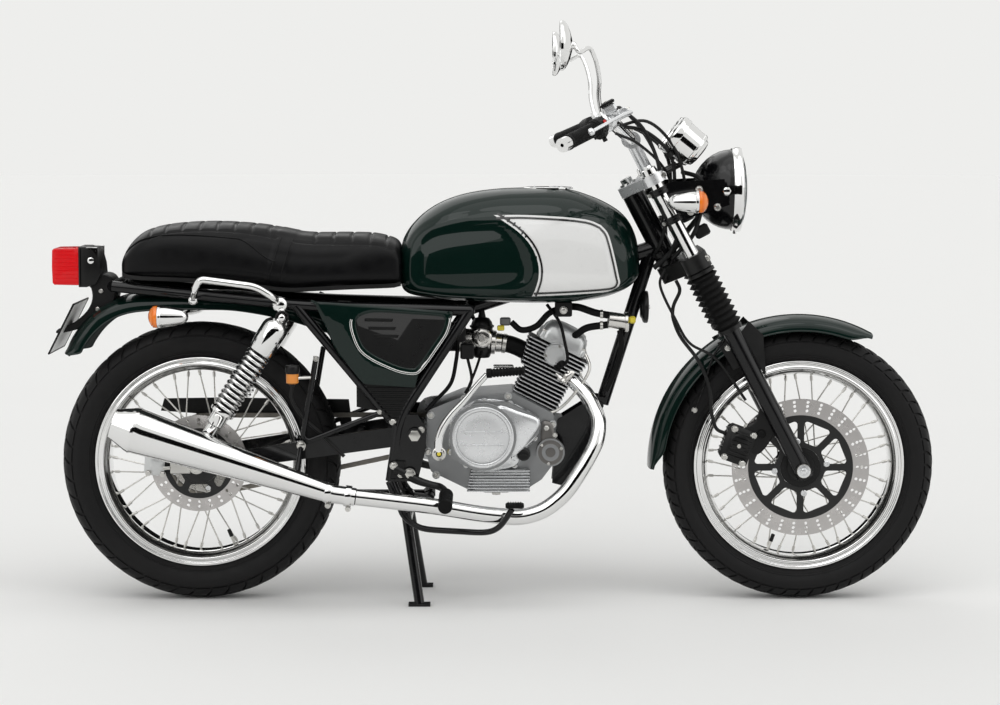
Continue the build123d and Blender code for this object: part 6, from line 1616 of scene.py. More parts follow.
class CAFE_OT_controls(bpy.types.Operator):
    """Grips, switches, levers, the master cylinder and the yokes' nuts"""
    bl_idname = "cafe.controls"
    bl_label = "Controls"

    def execute(self, context):
        grips = Shape()
        for way in (1, -1):
            tip = Vector((BAR_TIP.x, way * BAR_TIP.y, BAR_TIP.z))
            inward = Vector((BAR_INWARD.x, way * BAR_INWARD.y, BAR_INWARD.z))
            section = [(-0.2, 11.1), (-0.2, 15), (1.5, 16.6), (6, 16.6)]
            for k in range(GRIP_RIBS):
                along = GRIP_START + k * GRIP_PITCH
                section += [(along, 15.9), (along + 0.7, 14.9), (along + 1.6, 14.9), (along + 2.3, 15.9)]
            section += [(109, 16), (111, 18.6), (116, 18.6), (118, 17), (118, 11.1)]
            grips.lathe(tip, inward, section, 36, 0)
            up = (FORK_UP - inward * FORK_UP.dot(inward)).normalized()
            out = inward.cross(up).normalized()
            switch = tip + inward * 131.5
            grips.lathe(tip + inward * 118.6, inward,
                        [(0, 11.1), (0, 18.5), (2, 20.6), (11.5, 20.8), (12.2, 20),
                                                        (13, 20.8), (24, 20.6), (26, 18.5), (26, 11.1)], 36, 1)
            grips.block(switch - up * 15, (23, 26, 22), (inward, out, up), 5, 1)
            grips.block(switch + out * (-14 * way), (20, 14, 24), (inward, out, up), 4, 1)
            grips.block(switch + out * (-21.5 * way) + up * 3, (9, 5, 11), (inward, out, up), 2,
                        2 if way < 0 else 3)
            grips.rod(switch - up * 26 + inward * 3, switch - up * 34 + inward * 3, 5, 1)
        piece = grips.build("bar_grips", ("rubber", "black_plastic", "red_plastic", "grey_plastic"),
                            "steering_head")
        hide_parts("grips_and_switches")

        levers = Shape()
        for way in (1, -1):
            def at(up, ahead, left):
                return fork_at(up, ahead, way * left)
            blade = smooth_line([at(873, 16, 200), at(875, 6, 236), at(876, -4, 268), at(877, -32, 306),
                                 at(877, -78, 352)], 8)
            radii = [7.4 - 2.6 * ramp(i, 0, len(blade) * 0.7) for i in range(len(blade))]
            levers.tube(blade, radii, 14, 0, flat=0.62)
            levers.lathe(at(877, -83, 355) - FORK_AHEAD * 4, FORK_AHEAD,
                         [(0, 0), (0.8, 4), (3, 7.2), (7, 8.2), (11, 7.2), (14, 3.5), (15, 0)], 24, 0)
            perch = at(873, -36, 196)
            line = Vector((BAR_INWARD.x, way * BAR_INWARD.y, BAR_INWARD.z))
            levers.lathe(perch - line * 9, line, [(0, 11.1), (0, 16.5), (1.5, 18), (16.5, 18), (18, 16.5),
                                                  (18, 11.1)], 32, 0)
            levers.tube(smooth_line([perch + FORK_AHEAD * 12, at(874, -6, 196), at(873, 14, 200)], 6), 9.5, 14,
                        0, flat=0.75)
            levers.bolt(at(882, 13, 200), FORK_UP, 6, 4, 2)
            levers.bolt(perch - FORK_AHEAD * 17 + FORK_UP * 6, -FORK_AHEAD, 5, 4, 2, socket=True)
            if way < 0:
                body = at(902, -20, 198)
                levers.block(body - FORK_UP * 3, (40, 32, 20), (LEFT, FORK_AHEAD, FORK_UP), 5, 0)
                levers.block(body + FORK_UP * 10, (44, 36, 8), (LEFT, FORK_AHEAD, FORK_UP), 2.5, 1)
                for sx in (-1, 1):
                    levers.bolt(body + FORK_UP * 14 + LEFT * (16 * sx), FORK_UP, 3, 1.6, 2, socket=True)
                levers.rod(at(880, 6, 180), at(880, 6, 214), 9, 0)
                levers.tube(smooth_line([at(880, 6, 176), at(868, 14, 160), at(820, 30, 120), at(740, 24, 96),
                                         at(660, -10, 100), at(600, -16, 96)], 8), 4, 10, 3)
            else:
                levers.block(at(884, 4, 190), (26, 20, 20), (LEFT, FORK_AHEAD, FORK_UP), 5, 0)
                levers.tube(smooth_line([at(884, 6, 176), at(880, 20, 150), at(810, 36, 90), at(720, 30, 50),
                                         at(600, -20, 36), at(520, -60, 34)], 8), 3.6, 10, 3)
        piece = levers.build("hand_levers", ("machined_alloy", "satin_black", "zinc", "hose"), "steering_head")
        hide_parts("levers")

        nuts = Shape()
        for way in (1, -1):
            nuts.lathe(fork_at(728, 0, way * FORK_SIDE), FORK_UP,
                       [(0, 21), (2, 21), (2.5, 17), (14, 16.5), (16, 14), (16, 0)], 40, 0)
            nuts.bolt(fork_at(743.5, 0, way * FORK_SIDE), FORK_UP, 9, 6, 0)
            nuts.rod(fork_at(717, 23, way * (FORK_SIDE + 14)), fork_at(717, 23, way * (FORK_SIDE - 14)), 7.5, 0)
            nuts.bolt(fork_at(717, 23, way * (FORK_SIDE + 14)), (0, way, 0), 5.5, 5, 1, socket=True)
            nuts.bolt(fork_at(512, 24, way * (FORK_SIDE + 15)), (0, way, 0), 6.5, 5, 1)
            nuts.rod(fork_at(512, 24, way * (FORK_SIDE + 15)), fork_at(512, 24, way * (FORK_SIDE - 15)), 8.5, 2)
            for ahead in (-11, 11):
                nuts.bolt(fork_at(831, ahead, way * 30), FORK_UP, 5.5, 5, 1, socket=True)
            nuts.lathe(fork_at(494.3, 0, way * FORK_SIDE), FORK_UP, [(-10, 29), (-10, 31), (-3, 31), (-3, 29)],
                       40, 2)
            nuts.lathe(fork_at(345.3, 0, way * FORK_SIDE), FORK_UP, [(0, 26), (-1, 28), (8, 28), (9, 27)], 40,
                       2)
        nuts.lathe(fork_at(728, -50, 0), FORK_UP, [(0, 20), (3, 20), (3, 17)], 32, 0)
        nuts.bolt(fork_at(731, -50, 0), FORK_UP, 15, 12, 0)
        nuts.build("yoke_nuts", ("chrome", "zinc", "satin_black"), "steering_head")
        return {"FINISHED"}


class CAFE_OT_mirrors(bpy.types.Operator):
    """Round mirrors on curved stems"""
    bl_idname = "cafe.mirrors"
    bl_label = "Mirrors"

    def execute(self, context):
        shape = Shape()
        for way in (1, -1):
            def at(up, ahead, left):
                return fork_at(up, ahead, way * left)
            centre = Vector((MIRROR_CENTRE.x, way * MIRROR_CENTRE.y, MIRROR_CENTRE.z))
            shape.lathe(centre, FORWARD, [(-6, 49.4), (-6.4, 50.4), (-5.6, 51.4), (-2, 51.6), (1, 51),
                                          (5, 47.5), (10, 39), (14.5, 28), (18, 15), (19.6, 6), (20, 0)], 64, 0)
            shape.lathe(centre, FORWARD, [(-4.8, 49.6), (-4.8, 0)], 64, 1)
            shape.lathe(centre + FORWARD * 18, FORWARD, [(0, 9), (5, 8), (9, 5.5), (10, 0)], 24, 0)
            route = smooth_line([at(878, -40, 209), at(904, -37, 211), at(934, -28, 228), at(966, -12, 262),
                                 at(1004, -2, 288), at(1032, -3, 306), centre + FORWARD * 34 + UP * -14,
                                 centre + FORWARD * 24], 8)
            shape.tube(route, 4.6, 14, 0)
            shape.lathe(at(884, -40, 209), FORK_UP, [(0, 0), (0, 9), (10, 9), (12, 7), (18, 6.6), (18, 0)], 6,
                        0)
            shape.lathe(at(872, -40, 209), FORK_UP, [(0, 0), (0, 11), (12, 11), (12, 0)], 28, 2)
        piece = shape.build("round_mirrors", ("chrome", "mirror_glass", "machined_alloy"), "steering_head")
        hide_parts("mirrors")
        return {"FINISHED"}


# Cables behind the headlamp and down the right leg: radius and their places (up, ahead, left)
CABLES = (
    (4.2, ((858, -20, -150), (820, 30, -110), (752, 58, -74), (690, 40, -66), (640, 0, -60), (590, -40, -40),
           (560, -74, -20))),
    (3.6, ((858, -24, -158), (836, 44, -120), (760, 72, -84), (672, 56, -74), (600, 10, -70), (548, -46, -44))),
    (4.2, ((858, -20, 150), (820, 30, 110), (752, 58, 74), (690, 40, 66), (640, 0, 60), (590, -40, 40),
           (560, -74, 20))),
    (3.2, ((846, -30, -176), (800, 6, -128), (720, 34, -58), (640, 20, -30), (560, -20, -28), (500, -80, -30))),
    (5.0, ((700, 66, -30), (672, 92, -52), (640, 86, -66), (604, 60, -70), (566, 20, -66), (540, -40, -40))),
    (6.0, ((640, 96, 0), (600, 60, -20), (580, 20, -34), (556, -30, -36), (540, -86, -34))),
    (3.2, ((528, -66, -54), (500, -92, -62), (420, -96, -70), (360, -92, -76), (300, -56, -74),
           (190, -40, -68))),
)


class CAFE_OT_bellows(bpy.types.Operator):
    """Folded rubber bellows on both fork legs"""
    bl_idname = "cafe.bellows"
    bl_label = "Fork bellows"

    def execute(self, context):
        shape = Shape()
        section = [(0, 21), (0, 26.6), (1, 27.4), (8, 27.4), (9.5, 25.4)]
        for k in range(FOLDS):
            base = FOLD_START + FOLD_PITCH * k
            section += [(base, 24.6), (base + 5.4, 31.6), (base + 6.6, 32.6), (base + 7.8, 31.6),
                        (base + 13.2, 24.6)]
        section += [(140.5, 27.4), (147.6, 27.4), (148.6, 26.6), (148.8, 21)]
        for way in (1, -1):
            shape.lathe(fork_at(BELLOWS_FOOT, 0, way * FORK_SIDE), FORK_UP, section, 40)
        piece = shape.build("bellows", "rubber", "steering_head", sharp=60)
        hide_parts("fork_gaiters")
        return {"FINISHED"}


class CAFE_OT_cables(bpy.types.Operator):
    """Control cables and wiring of the front end, held by clips"""
    bl_idname = "cafe.cables"
    bl_label = "Cables"

    def execute(self, context):
        shape = Shape()
        for radius, places in CABLES:
            shape.tube(smooth_line([fork_at(*p) for p in places], 8), radius, 10, 0)
        for up, ahead, left in ((560, -62, -34), (640, 2, -58), (748, 56, -74)):
            shape.lathe(fork_at(up, ahead, left), FORK_UP, [(-5, 9), (-5, 10.5), (5, 10.5), (5, 9)], 20, 1)
        shape.block(fork_at(566, 44, -60), (34, 20, 26), (FORK_AHEAD, LEFT, FORK_UP), 4, 1)
        shape.block(fork_at(610, 30, -52), (30, 26, 22), (FORK_AHEAD, LEFT, FORK_UP), 4, 1)
        piece = shape.build("cables", ("hose", "black_plastic"), None)
        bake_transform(piece)
        return {"FINISHED"}


# Side view of a side cover and of the D panel sunk into it, in X and Z
COVER_OUTLINE = ((-389, 673), (-240, 663), (-102, 652), (-92, 648), (-91, 641), (-104, 608), (-119, 578),
                 (-141, 552), (-159, 531), (-167, 510), (-173, 488), (-180, 486), (-226, 489), (-278, 493),
                 (-290, 500), (-318, 534), (-344, 566), (-368, 620), (-388, 666))
D_OUTLINE = ((-116, 644), (-106, 638), (-104, 630), (-112, 606), (-132, 576), (-152, 547), (-166, 530),
             (-176, 524), (-204, 528), (-237, 541), (-266, 556), (-287, 574), (-300, 604), (-304, 628),
             (-296, 642), (-278, 650), (-250, 653), (-180, 649))
# Slots in the panel: middle in X and Z, length
SLOTS = ((-252, 633, 60), (-245, 615, 58), (-236, 598, 52))
# Height at which the double line round the panel ends
LINE_TOP = 636
LOWER_OUTLINE = ((-285, 494), (-168, 490), (-176, 462), (-196, 432), (-212, 410), (-222, 408), (-232, 424),
                 (-262, 462))
COVER_SIDE = 124.4
COVER_FACE = 129.4


def beside(outline, way, y):
    """Side outline as places on one side of the machine."""
    return [Vector((x, way * y, z)) for x, z in outline]


class CAFE_OT_side_covers(bpy.types.Operator):
    """Side covers with the sunk panel, its double line, slots and the ribbed lower piece"""
    bl_idname = "cafe.side_covers"
    bl_label = "Side covers"

    def execute(self, context):
        shape = Shape()
        lines = Shape()
        lower = Shape()
        edge = even_outline(COVER_OUTLINE)
        dee = even_outline(D_OUTLINE)
        for way in (1, -1):
            def bulge(z):
                return COVER_FACE + 3.2 * ramp(z, 486, 560) * ramp(700 - z, 26, 90)
            rim = beside(edge, way, COVER_SIDE)
            shoulder = beside(edge, way, COVER_FACE - 1.5)
            count = len(edge)
            inner = inset_outline(edge, 5)
            face = [Vector((x, way * bulge(z), z)) for x, z in inner]
            shape.rings([rim, shoulder, face])
            grown = inset_outline(dee, -2.5)
            work = bmesh.new()
            outer_verts = [work.verts.new((x, z, 0)) for x, z in inner]
            hole_verts = [work.verts.new((x, z, 0)) for x, z in grown]
            edges = [work.edges.new((outer_verts[i - 1], outer_verts[i])) for i in range(count)]
            edges += [work.edges.new((hole_verts[i - 1], hole_verts[i])) for i in range(len(grown))]
            bmesh.ops.triangle_fill(work, use_beauty=True, use_dissolve=False, edges=edges)
            work.verts.index_update()
            points = [Vector((v.co.x, way * bulge(v.co.y), v.co.y)) for v in work.verts]
            faces = [tuple(v.index for v in f.verts) for f in work.faces]
            work.free()
            shape.add(points, faces)
            shape.add(rim, [tuple(range(count))], 1)
            walls = []
            for depth, y in ((-2.5, 0), (0.5, 0.8), (1.5, 3.4), (3.5, 4.2)):
                ring = inset_outline(dee, depth)
                walls.append([Vector((x, way * (bulge(z) - y), z)) for x, z in ring])
            shape.rings(walls, 0)
            floor = inset_outline(dee, 3.5)
            shape.add([Vector((x, way * (bulge(z) - 4.2), z)) for x, z in floor], [tuple(range(len(floor)))], 2)
            for x, z, length in SLOTS:
                rear, front = x - length / 2, x + length / 2
                bar = [(rear, z - 3), (front, z - 4), (front + 3, z + 3), (rear, z + 4)]
                shape.plate(beside(bar, way, COVER_FACE - 3.6), (0, way * 2.6, 0), 2, 1.0)
                groove = [(rear + 3, z - 1.2), (front - 2, z - 2.2), (front - 1, z + 1), (rear + 3, z + 1.8)]
                shape.plate(beside(groove, way, COVER_FACE - 1.6), (0, way * 0.9, 0), 1, 0.2)
            for start, stop in ((5.2, 7.0), (9.0, 10.2)):
                low, high = inset_outline(dee, -start), inset_outline(dee, -stop)
                span = [i for i, (x, z) in enumerate(dee) if z < LINE_TOP]
                first = next(i for i in span if i - 1 not in span)
                order = [(first + k) % len(dee) for k in range(len(span))]
                lines.rings([[Vector((ring[i][0], way * (bulge(ring[i][1]) + 0.25), ring[i][1])) for i in order]
                             for ring in (low, high)], seam=False)
            lower.plate(beside(LOWER_OUTLINE, way, 108), (0, way * 14, 0), 0, 2)
            for k in range(8):
                z = 484 - 9.5 * k
                left_x = -278 + 6.2 * k
                right_x = -176 - 4.8 * k
                lower.block(((left_x + right_x) / 2, way * 123, z), (right_x - left_x, 4, 4.2), bevel=1.2,
                            mark=0)
        piece = shape.build("cover_panels", ("paint", "satin_black", "stripe_black"), "chassis",
                            sharp=50)
        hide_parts("side_covers")
        lines.build("cover_lines", "dial_white", "chassis")
        lower.build("cover_lower", "black_plastic", "chassis")
        return {"FINISHED"}


SHOCK_FOOT = Vector((-628, 133, 378))
SHOCK_TOP = Vector((-460, 133, 640))
# Spring: turns, steps in a turn, radius to the middle of the wire, radius of the wire
SPRING_TURNS, SPRING_STEPS, SPRING_RADIUS, WIRE_RADIUS = 12.5, 28, 24, 3.9


class CAFE_OT_shocks(bpy.types.Operator):
    """Shock absorbers with wound springs, top covers and eyes"""
    bl_idname = "cafe.shocks"
    bl_label = "Shock absorbers"

    def execute(self, context):
        shape = Shape()
        axis = (SHOCK_TOP - SHOCK_FOOT).normalized()
        length = (SHOCK_TOP - SHOCK_FOOT).length
        shape.lathe(SHOCK_FOOT, axis, [(0, 0), (0, 13), (8, 14), (30, 14), (34, 19), (56, 19), (60, 21),
                                       (62, 27), (66, 28), (70, 27), (71, 20)], 36, 0)
        shape.lathe(SHOCK_FOOT, axis, [(40, 14), (length * 0.6, 14), (length * 0.6, 11), (length * 0.75, 11)],
                    28, 2)
        shape.lathe(SHOCK_FOOT, axis, [(length - 92, 24), (length - 90, 29), (length - 88, 30),
                                       (length - 30, 30), (length - 22, 28), (length - 14, 22),
                                       (length - 10, 15), (length, 12), (length, 0)], 40, 0)
        first, second = across_of(axis)
        start, stop = 72, length - 88
        steps = int(SPRING_TURNS * SPRING_STEPS)
        route = []
        for i in range(steps + 1):
            angle = 2 * math.pi * SPRING_TURNS * i / steps
            route.append(SHOCK_FOOT + axis * (start + (stop - start) * (i / steps))
                         + (first * math.cos(angle) + second * math.sin(angle)) * SPRING_RADIUS)
        shape.tube(route, WIRE_RADIUS, 10, 1)
        for end in (SHOCK_FOOT, SHOCK_TOP):
            shape.lathe(end - LEFT * 12, LEFT, [(0, 6), (0, 14.5), (1, 15), (23, 15), (24, 14.5), (24, 6)], 36,
                        0)
            shape.lathe(end + LEFT * 11, LEFT, [(0, 15), (2, 15), (3, 12)], 32, 2)
            shape.rod(end - LEFT * 33.5, end + LEFT * 18, 6, 3)
            shape.lathe(end + LEFT * 13, LEFT, [(0, 9.5), (2, 9.5), (2, 8.4), (8, 8.4), (10.5, 6.5), (11.5, 3),
                                                (11.6, 0)], 28, 0)
        shape.mirror()
        piece = shape.build("shocks", ("chrome", "spring_chrome", "satin_black", "zinc"), "chassis")
        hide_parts("shock_absorbers")
        return {"FINISHED"}


class CAFE_OT_tail(bpy.types.Operator):
    """Tail lamp, its bracket, the blank plate and the rear indicators"""
    bl_idname = "cafe.tail"
    bl_label = "Tail"

    def execute(self, context):
        lamp = Shape()
        lens = [(-914, 703), (-914, 785), (-970, 784), (-974, 780), (-975, 744), (-974, 708), (-970, 704)]
        rows = []
        for share, y in ((0.93, -46), (0.985, -45.2), (1.0, -43), (1.0, 43), (0.985, 45.2), (0.93, 46)):
            rows.append([Vector((-930 + (x + 930) * share, y, 744 + (z - 744) * share)) for x, z in lens])
        lamp.rings(rows, 0, caps=True)
        for k in range(9):
            z = 710 + 8.6 * k
            lamp.block((-944, 0, z), (52, 92.4, 1.4), bevel=0.3, mark=0)
        housing = [(-916, 699), (-916, 788), (-899, 788), (-884, 784), (-874, 772), (-868, 750), (-866, 728),
                   (-878, 706), (-898, 699)]
        rows = []
        for share, y in ((0.90, -49), (0.98, -48), (1.0, -46), (1.0, 46), (0.98, 48), (0.90, 49)):
            rows.append([Vector((-892 + (x + 892) * share, y, 743 + (z - 743) * share)) for x, z in housing])
        lamp.rings(rows, 2, caps=True)
        lamp.block((-911, 0, 744), (5, 98, 87), bevel=1.5, mark=2)
        for way in (1, -1):
            lamp.block((-886, way * 46.6, 772), (26, 4.6, 30), bevel=1, mark=1)
        for way in (-1, 1):
            lamp.lathe((-888, way * 49, 758), (0, way, 0), [(0, 7), (2.4, 7), (3.2, 5), (3.2, 0)], 24, 1)
        piece = lamp.build("tail_light", ("red_lens", "chrome", "satin_black"), "chassis",
                           sharp=35)
        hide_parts("tail_lamp")

        shell = Shape()
        arm = [(-866, 728), (-846, 722), (-836, 700), (-838, 672), (-852, 650), (-885, 620), (-925, 604),
               (-966, 596), (-964, 606), (-930, 620), (-900, 646), (-888, 672), (-890, 696), (-898, 704),
               (-880, 716)]
        shell.slab(even_outline(arm, 3), ((2.5, -40), (0, -38), (0, 38), (2.5, 40)))
        for way in (1, -1):
            for x, z in ((-868, 690), (-876, 650)):
                shell.bolt((x, way * 40, z), (0, way, 0), 5, 3, 1, socket=True)
        top, foot = Vector((-919, 0, 664)), Vector((-974.6, 0, 556))
        run = (foot - top)
        out = Vector((run.z, 0, -run.x)).normalized()
        outline = [(top + run * a + LEFT * (95 * b)) for a,
                   b in ((0, -0.94), (0.05, -1), (0.95, -1), (1, -0.94), (1, 0.94),
                                                                  (0.95, 1), (0.05, 1), (0, 0.94))]
        shell.plate(outline, out * 2.2, 2, 0.5)
        for way in (1, -1):
            shell.bolt(top + run * 0.3 + LEFT * (way * 70) + out * 2.2, out, 4.5, 3, 1, socket=True)
        corners = [top + run * a + LEFT * (96 * b) + out for a, b in ((0, -1), (0, 1), (1, 1), (1, -1))]
        rim_points = smooth_line(corners, 1, closed=True)
        shell.tube(rim_points + rim_points[:1], 2.2, 8, 0)
        piece = shell.build("tail_shell", ("satin_black", "zinc", "plate_white"), "chassis")
        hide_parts("tail_bracket")

        lights = Shape()
        for way in (1, -1):
            joint = Vector((-728, way * 150, 642))
            bullet(lights, joint, -1)
            root = joint + FORWARD * 31.4
            lights.rod(Vector((root.x, way * 76.5, root.z)), Vector((root.x, way * 130, root.z)), 6, 0)
            lights.lathe(Vector((root.x, way * 76.5, root.z)), (0, way, 0),
                         [(0, 11), (5, 10.5), (10, 7), (10, 5)], 24, 2)
        piece = lights.build("rear_bullets", ("chrome", "amber_lens", "rubber"), "chassis")
        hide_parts("rear_indicators")

        rails = Shape()
        for way in (1, -1):
            for x, y, z, radius in ((-655, 121, 676, 11), (-466, 122, 666, 16)):
                rails.lathe((x, way * (y - 4), z), (0, way, 0),
                            [(0, radius * 0.9), (0, radius), (8, radius), (12, radius * 0.8),
                                                                 (14, radius * 0.45), (14.4, 0)], 32, 0)
        rails.build("grab_rail_heads", "chrome", "chassis")
        return {"FINISHED"}


class CAFE_OT_frame_details(bpy.types.Operator):
    """Frame bolts, brackets, the brake fluid bottle, horn and footrest rubbers"""
    bl_idname = "cafe.frame_details"
    bl_label = "Frame details"

    def execute(self, context):
        bolts = Shape()
        for way in (1, -1):
            for x, y, z, radius in ((-174, 126, 380, 13), (-185, 132, 296, 10), (-222, 121.5, 410, 6),
                                    (-160, 121.5, 392, 6), (-210, 121.5, 300, 6), (-389, 119, 548, 5),
                                    (-422, 119, 352, 6), (-250, 119, 432, 5)):
                bolts.bolt((x, way * y, z), (0, way, 0), radius, radius * 0.7, 0)
            bolts.lathe((-653, way * 112.5, 310), (0, way, 0), [(0, 17), (2, 17), (2, 14)], 32, 0)
            bolts.bolt((-653, way * 113, 310), (0, way, 0), 12, 10, 0)
            bolts.block((-690, way * 101, 305), (44, 5, 26), bevel=2, mark=0)
            bolts.rod((-712, way * 101, 305), (-728, way * 101, 304), 4, 0)
        bolts.build("frame_bolts", "zinc", "chassis")

        fluid = Shape()
        foot = Vector((-440, -128, 494))
        fluid.lathe(foot, UP, [(0, 0), (0, 11), (2, 13.5), (26, 13.8), (27, 13)], 36, 0)
        fluid.lathe(foot, UP, [(26, 15.4), (27, 16), (38, 16), (40, 14.5), (40, 0)], 36, 1)
        fluid.lathe(foot - UP * 6, UP, [(0, 0), (0, 5), (6, 6)], 24, 1)
        fluid.lathe((-440, -112, 512), (0, -1, 0), [(-6, 15), (3, 15)], 30, 1)
        fluid.rod(Vector((-440, -122, 506)), Vector((-402, -113, 506)), 4, 1)
        fluid.tube(smooth_line([foot - UP * 6, (-442, -126, 460), (-420, -112, 420), (-380, -100, 380),
                                (-330, -98, 330)], 8), 4, 10, 2)
        fluid.build("fluid_bottle", ("amber_fluid", "satin_black", "hose"), "chassis")

        horn = Shape()
        horn.lathe((324, 0, 652), FORWARD, [(0, 0), (0, 22), (3, 26), (6, 34), (9, 36), (15, 36), (17, 34),
                                            (18, 28)], 44, 0)
        for k in range(9):
            radius = 31 - k * 3.2
            horn.lathe((340, 0, 652), FORWARD, [(0, radius), (1.6, radius - 0.5), (1.6, radius - 1.5),
                                                (0, radius - 2)], 36, 1)
        horn.lathe((340, 0, 652), FORWARD, [(-1, 33), (-1, 0)], 36, 0)
        horn.lathe((346, 0, 652), FORWARD, [(-5, 5), (0, 5), (0, 0)], 20, 1)
        horn.block((312, 0, 656), (30, 20, 5), bevel=1, mark=0)
        piece = horn.build("horn_disc", ("satin_black", "chrome"), "chassis")
        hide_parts("horn")

        pegs = Shape()
        for way in (1, -1):
            start, end = Vector((-104, way * 200, 260.3)), Vector((-104, way * 302, 250))
            axis = (end - start).normalized()
            section = [(-8, 0), (-8, 9), (0, 9), (0, 15)]
            for k in range(14):
                section += [(2 + k * 7, 15.4), (5 + k * 7, 15.4), (5.6 + k * 7, 13.4), (8.2 + k * 7, 13.4)]
            section += [(100, 15.6), (103, 15), (104, 11), (104, 0)]
            pegs.lathe(start, axis, section, 30, 0)
            hanger = smooth_line([(-218, way * 124.5, 306), (-200, way * 127, 298), (-168, way * 133, 282),
                                  (-140, way * 140, 274), (-118, way * 150, 270), (-106, way * 176, 264),
                                  (-104, way * 196, 260)], 6)
            pegs.tube(hanger, [11 - 3 * ramp(i, 0, 20) for i in range(len(hanger))], 14, 1)
            pegs.block((-212, way * 126, 304), (34, 7, 40), bevel=2, mark=1)
            for x, z in ((-220, 314), (-204, 296)):
                pegs.bolt((x, way * 129.5, z), (0, way, 0), 7, 5, 2)
        piece = pegs.build("foot_pegs", ("rubber", "satin_black", "zinc"), "chassis")
        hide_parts("footrests")
        return {"FINISHED"}


# Cylinder's lean ahead, the foot of its bore, the middle of the clutch cover
TILT = math.radians(26.5)
BORE_UP = Vector((math.sin(TILT), 0, math.cos(TILT)))
BORE_AHEAD = Vector((math.cos(TILT), 0, -math.sin(TILT)))
BARREL_FOOT = Vector((88, 0, 444))
CLUTCH = Vector((-25, -92, 377))
OUTWARD = Vector((0, -1, 0))
# Fins of the barrel and of the head: count, first height, height that they share, half length, half width
BARREL_FINS = (7, 5, 62, 54, 56)
HEAD_FINS = (8, 66, 70, 73, 63)
# Rocker cover across the bore: height, half length, half width
ROCKER_SECTION = ((134, 58, 50), (139, 58, 50), (139.5, 55, 47.5), (150, 54, 46.5), (166, 50, 44),
                  (177, 42, 38), (183, 30, 28), (185.5, 16, 15))
ROCKER_AHEAD = -2
# Covers of the crankcase and their bolts, in X and Z
RIGHT_COVER = ((-96, 404), (-70, 436), (-38, 455), (0, 456), (32, 450), (60, 438), (78, 426), (92, 420),
               (100, 408), (101, 390), (92, 370), (74, 352), (60, 336), (56, 318), (40, 306), (0, 298),
               (-40, 299), (-70, 312), (-92, 330), (-101, 366))
RIGHT_COVER_BOLTS = ((-92, 404), (-66, 432), (-22, 452), (34, 446), (72, 424), (94, 402), (88, 372), (62, 344),
                     (44, 312), (-6, 302), (-62, 312), (-94, 340))
RIGHT_LOBE = ((14, 446), (50, 434), (88, 421), (97, 412), (96, 398), (78, 372), (54, 342), (30, 336), (0, 380),
              (0, 430))
FILTER_ARM = ((104, 404), (118, 408), (128, 398), (136, 366), (140, 340), (124, 318), (106, 330), (102, 362))
CASE_BOLTS = ((-140, 420), (-146, 340), (-128, 288), (130, 330), (128, 400), (30, 462), (-66, 458))
LEFT_COVER = ((-92, 396), (-70, 428), (-20, 446), (40, 446), (88, 420), (104, 376), (92, 322), (50, 288),
              (-20, 280), (-76, 300), (-98, 344))
SPROCKET_COVER = ((-170, 300), (-100, 300), (-72, 330), (-66, 380), (-80, 426), (-112, 442), (-160, 436),
                  (-178, 400), (-180, 340))
# Hoses and lines round the carburettor: radius, steps round and route
CARB_LINES = (
    (3.4, 10, ((-28, 0, 640), (-30, -2, 668), (0, -6, 688), (60, -10, 700), (140, -12, 704))),
    (3, 10, ((-28, -20, 556), (-40, -46, 520), (-60, -70, 470), (-70, -84, 420))),
    (4.4, 10, ((-40, 20, 610), (-50, 40, 640), (-20, 60, 668))),
)
BREATHER_HOSES = (
    (7, 12, ((38, -32, 620), (60, -40, 604), (92, -40, 612), (120, -38, 640), (150, -30, 654))),
    (8, 14, ((172, -40, 656), (190, -50, 654), (222, -50, 643), (254, -50, 637))),
    (8, 14, ((172, -30, 586), (184, -44, 596), (206, -50, 610), (254, -50, 617))),
)
VALVE_HOSES = (
    (6, 12, ((276, -52, 604), (280, -56, 570), (268, -58, 520), (246, -60, 470))),
)
DRAIN_HOSES = (
    (4.5, 10, ((-80, -66, 580), (-84, -84, 540), (-96, -88, 490), (-130, -92, 452), (-150, -98, 430))),
    (3.4, 10, ((-60, -80, 550), (-50, -96, 500), (-64, -100, 470))),
)
# Exhaust: end of the header, start of the muffler's cone, its shoulder
HEADER_END = Vector((-300.3, -195, 255))
CONE_START = Vector((-352, -195, 262))
CONE_SHOULDER = Vector((-778, -195, 401))
CONE_STEPS = 20
# Brackets that carry the calipers, in X and Z
FRONT_LINK = ((543, 384), (556, 344), (580, 332), (606, 360), (634, 414), (628, 440), (606, 456), (588, 446),
              (574, 404))
REAR_LINK = ((-744, 292), (-686, 296), (-686, 322), (-726, 346), (-744, 344))


def bore_at(up, ahead, left):
    """Place in the cylinder's own frame."""
    return BARREL_FOOT + BORE_UP * up + BORE_AHEAD * ahead + LEFT * left


def lay_hoses(shape, hoses):
    """Rubber hoses along their routes."""
    for radius, steps, route in hoses:
        shape.tube(smooth_line(route, 8), radius, steps, 3)


def fin_outline(half_length, half_width, up, corner):
    """Rounded oblong across the bore at a height."""
    points = []
    for sx, sy, turn in ((1, 1, 0), (-1, 1, 90), (-1, -1, 180), (1, -1, 270)):
        for k in range(5):
            angle = math.radians(turn + 22.5 * k)
            points.append(bore_at(up, sx * (half_length - corner) + corner * math.cos(angle),
                                  sy * (half_width - corner) + corner * math.sin(angle)))
    return points


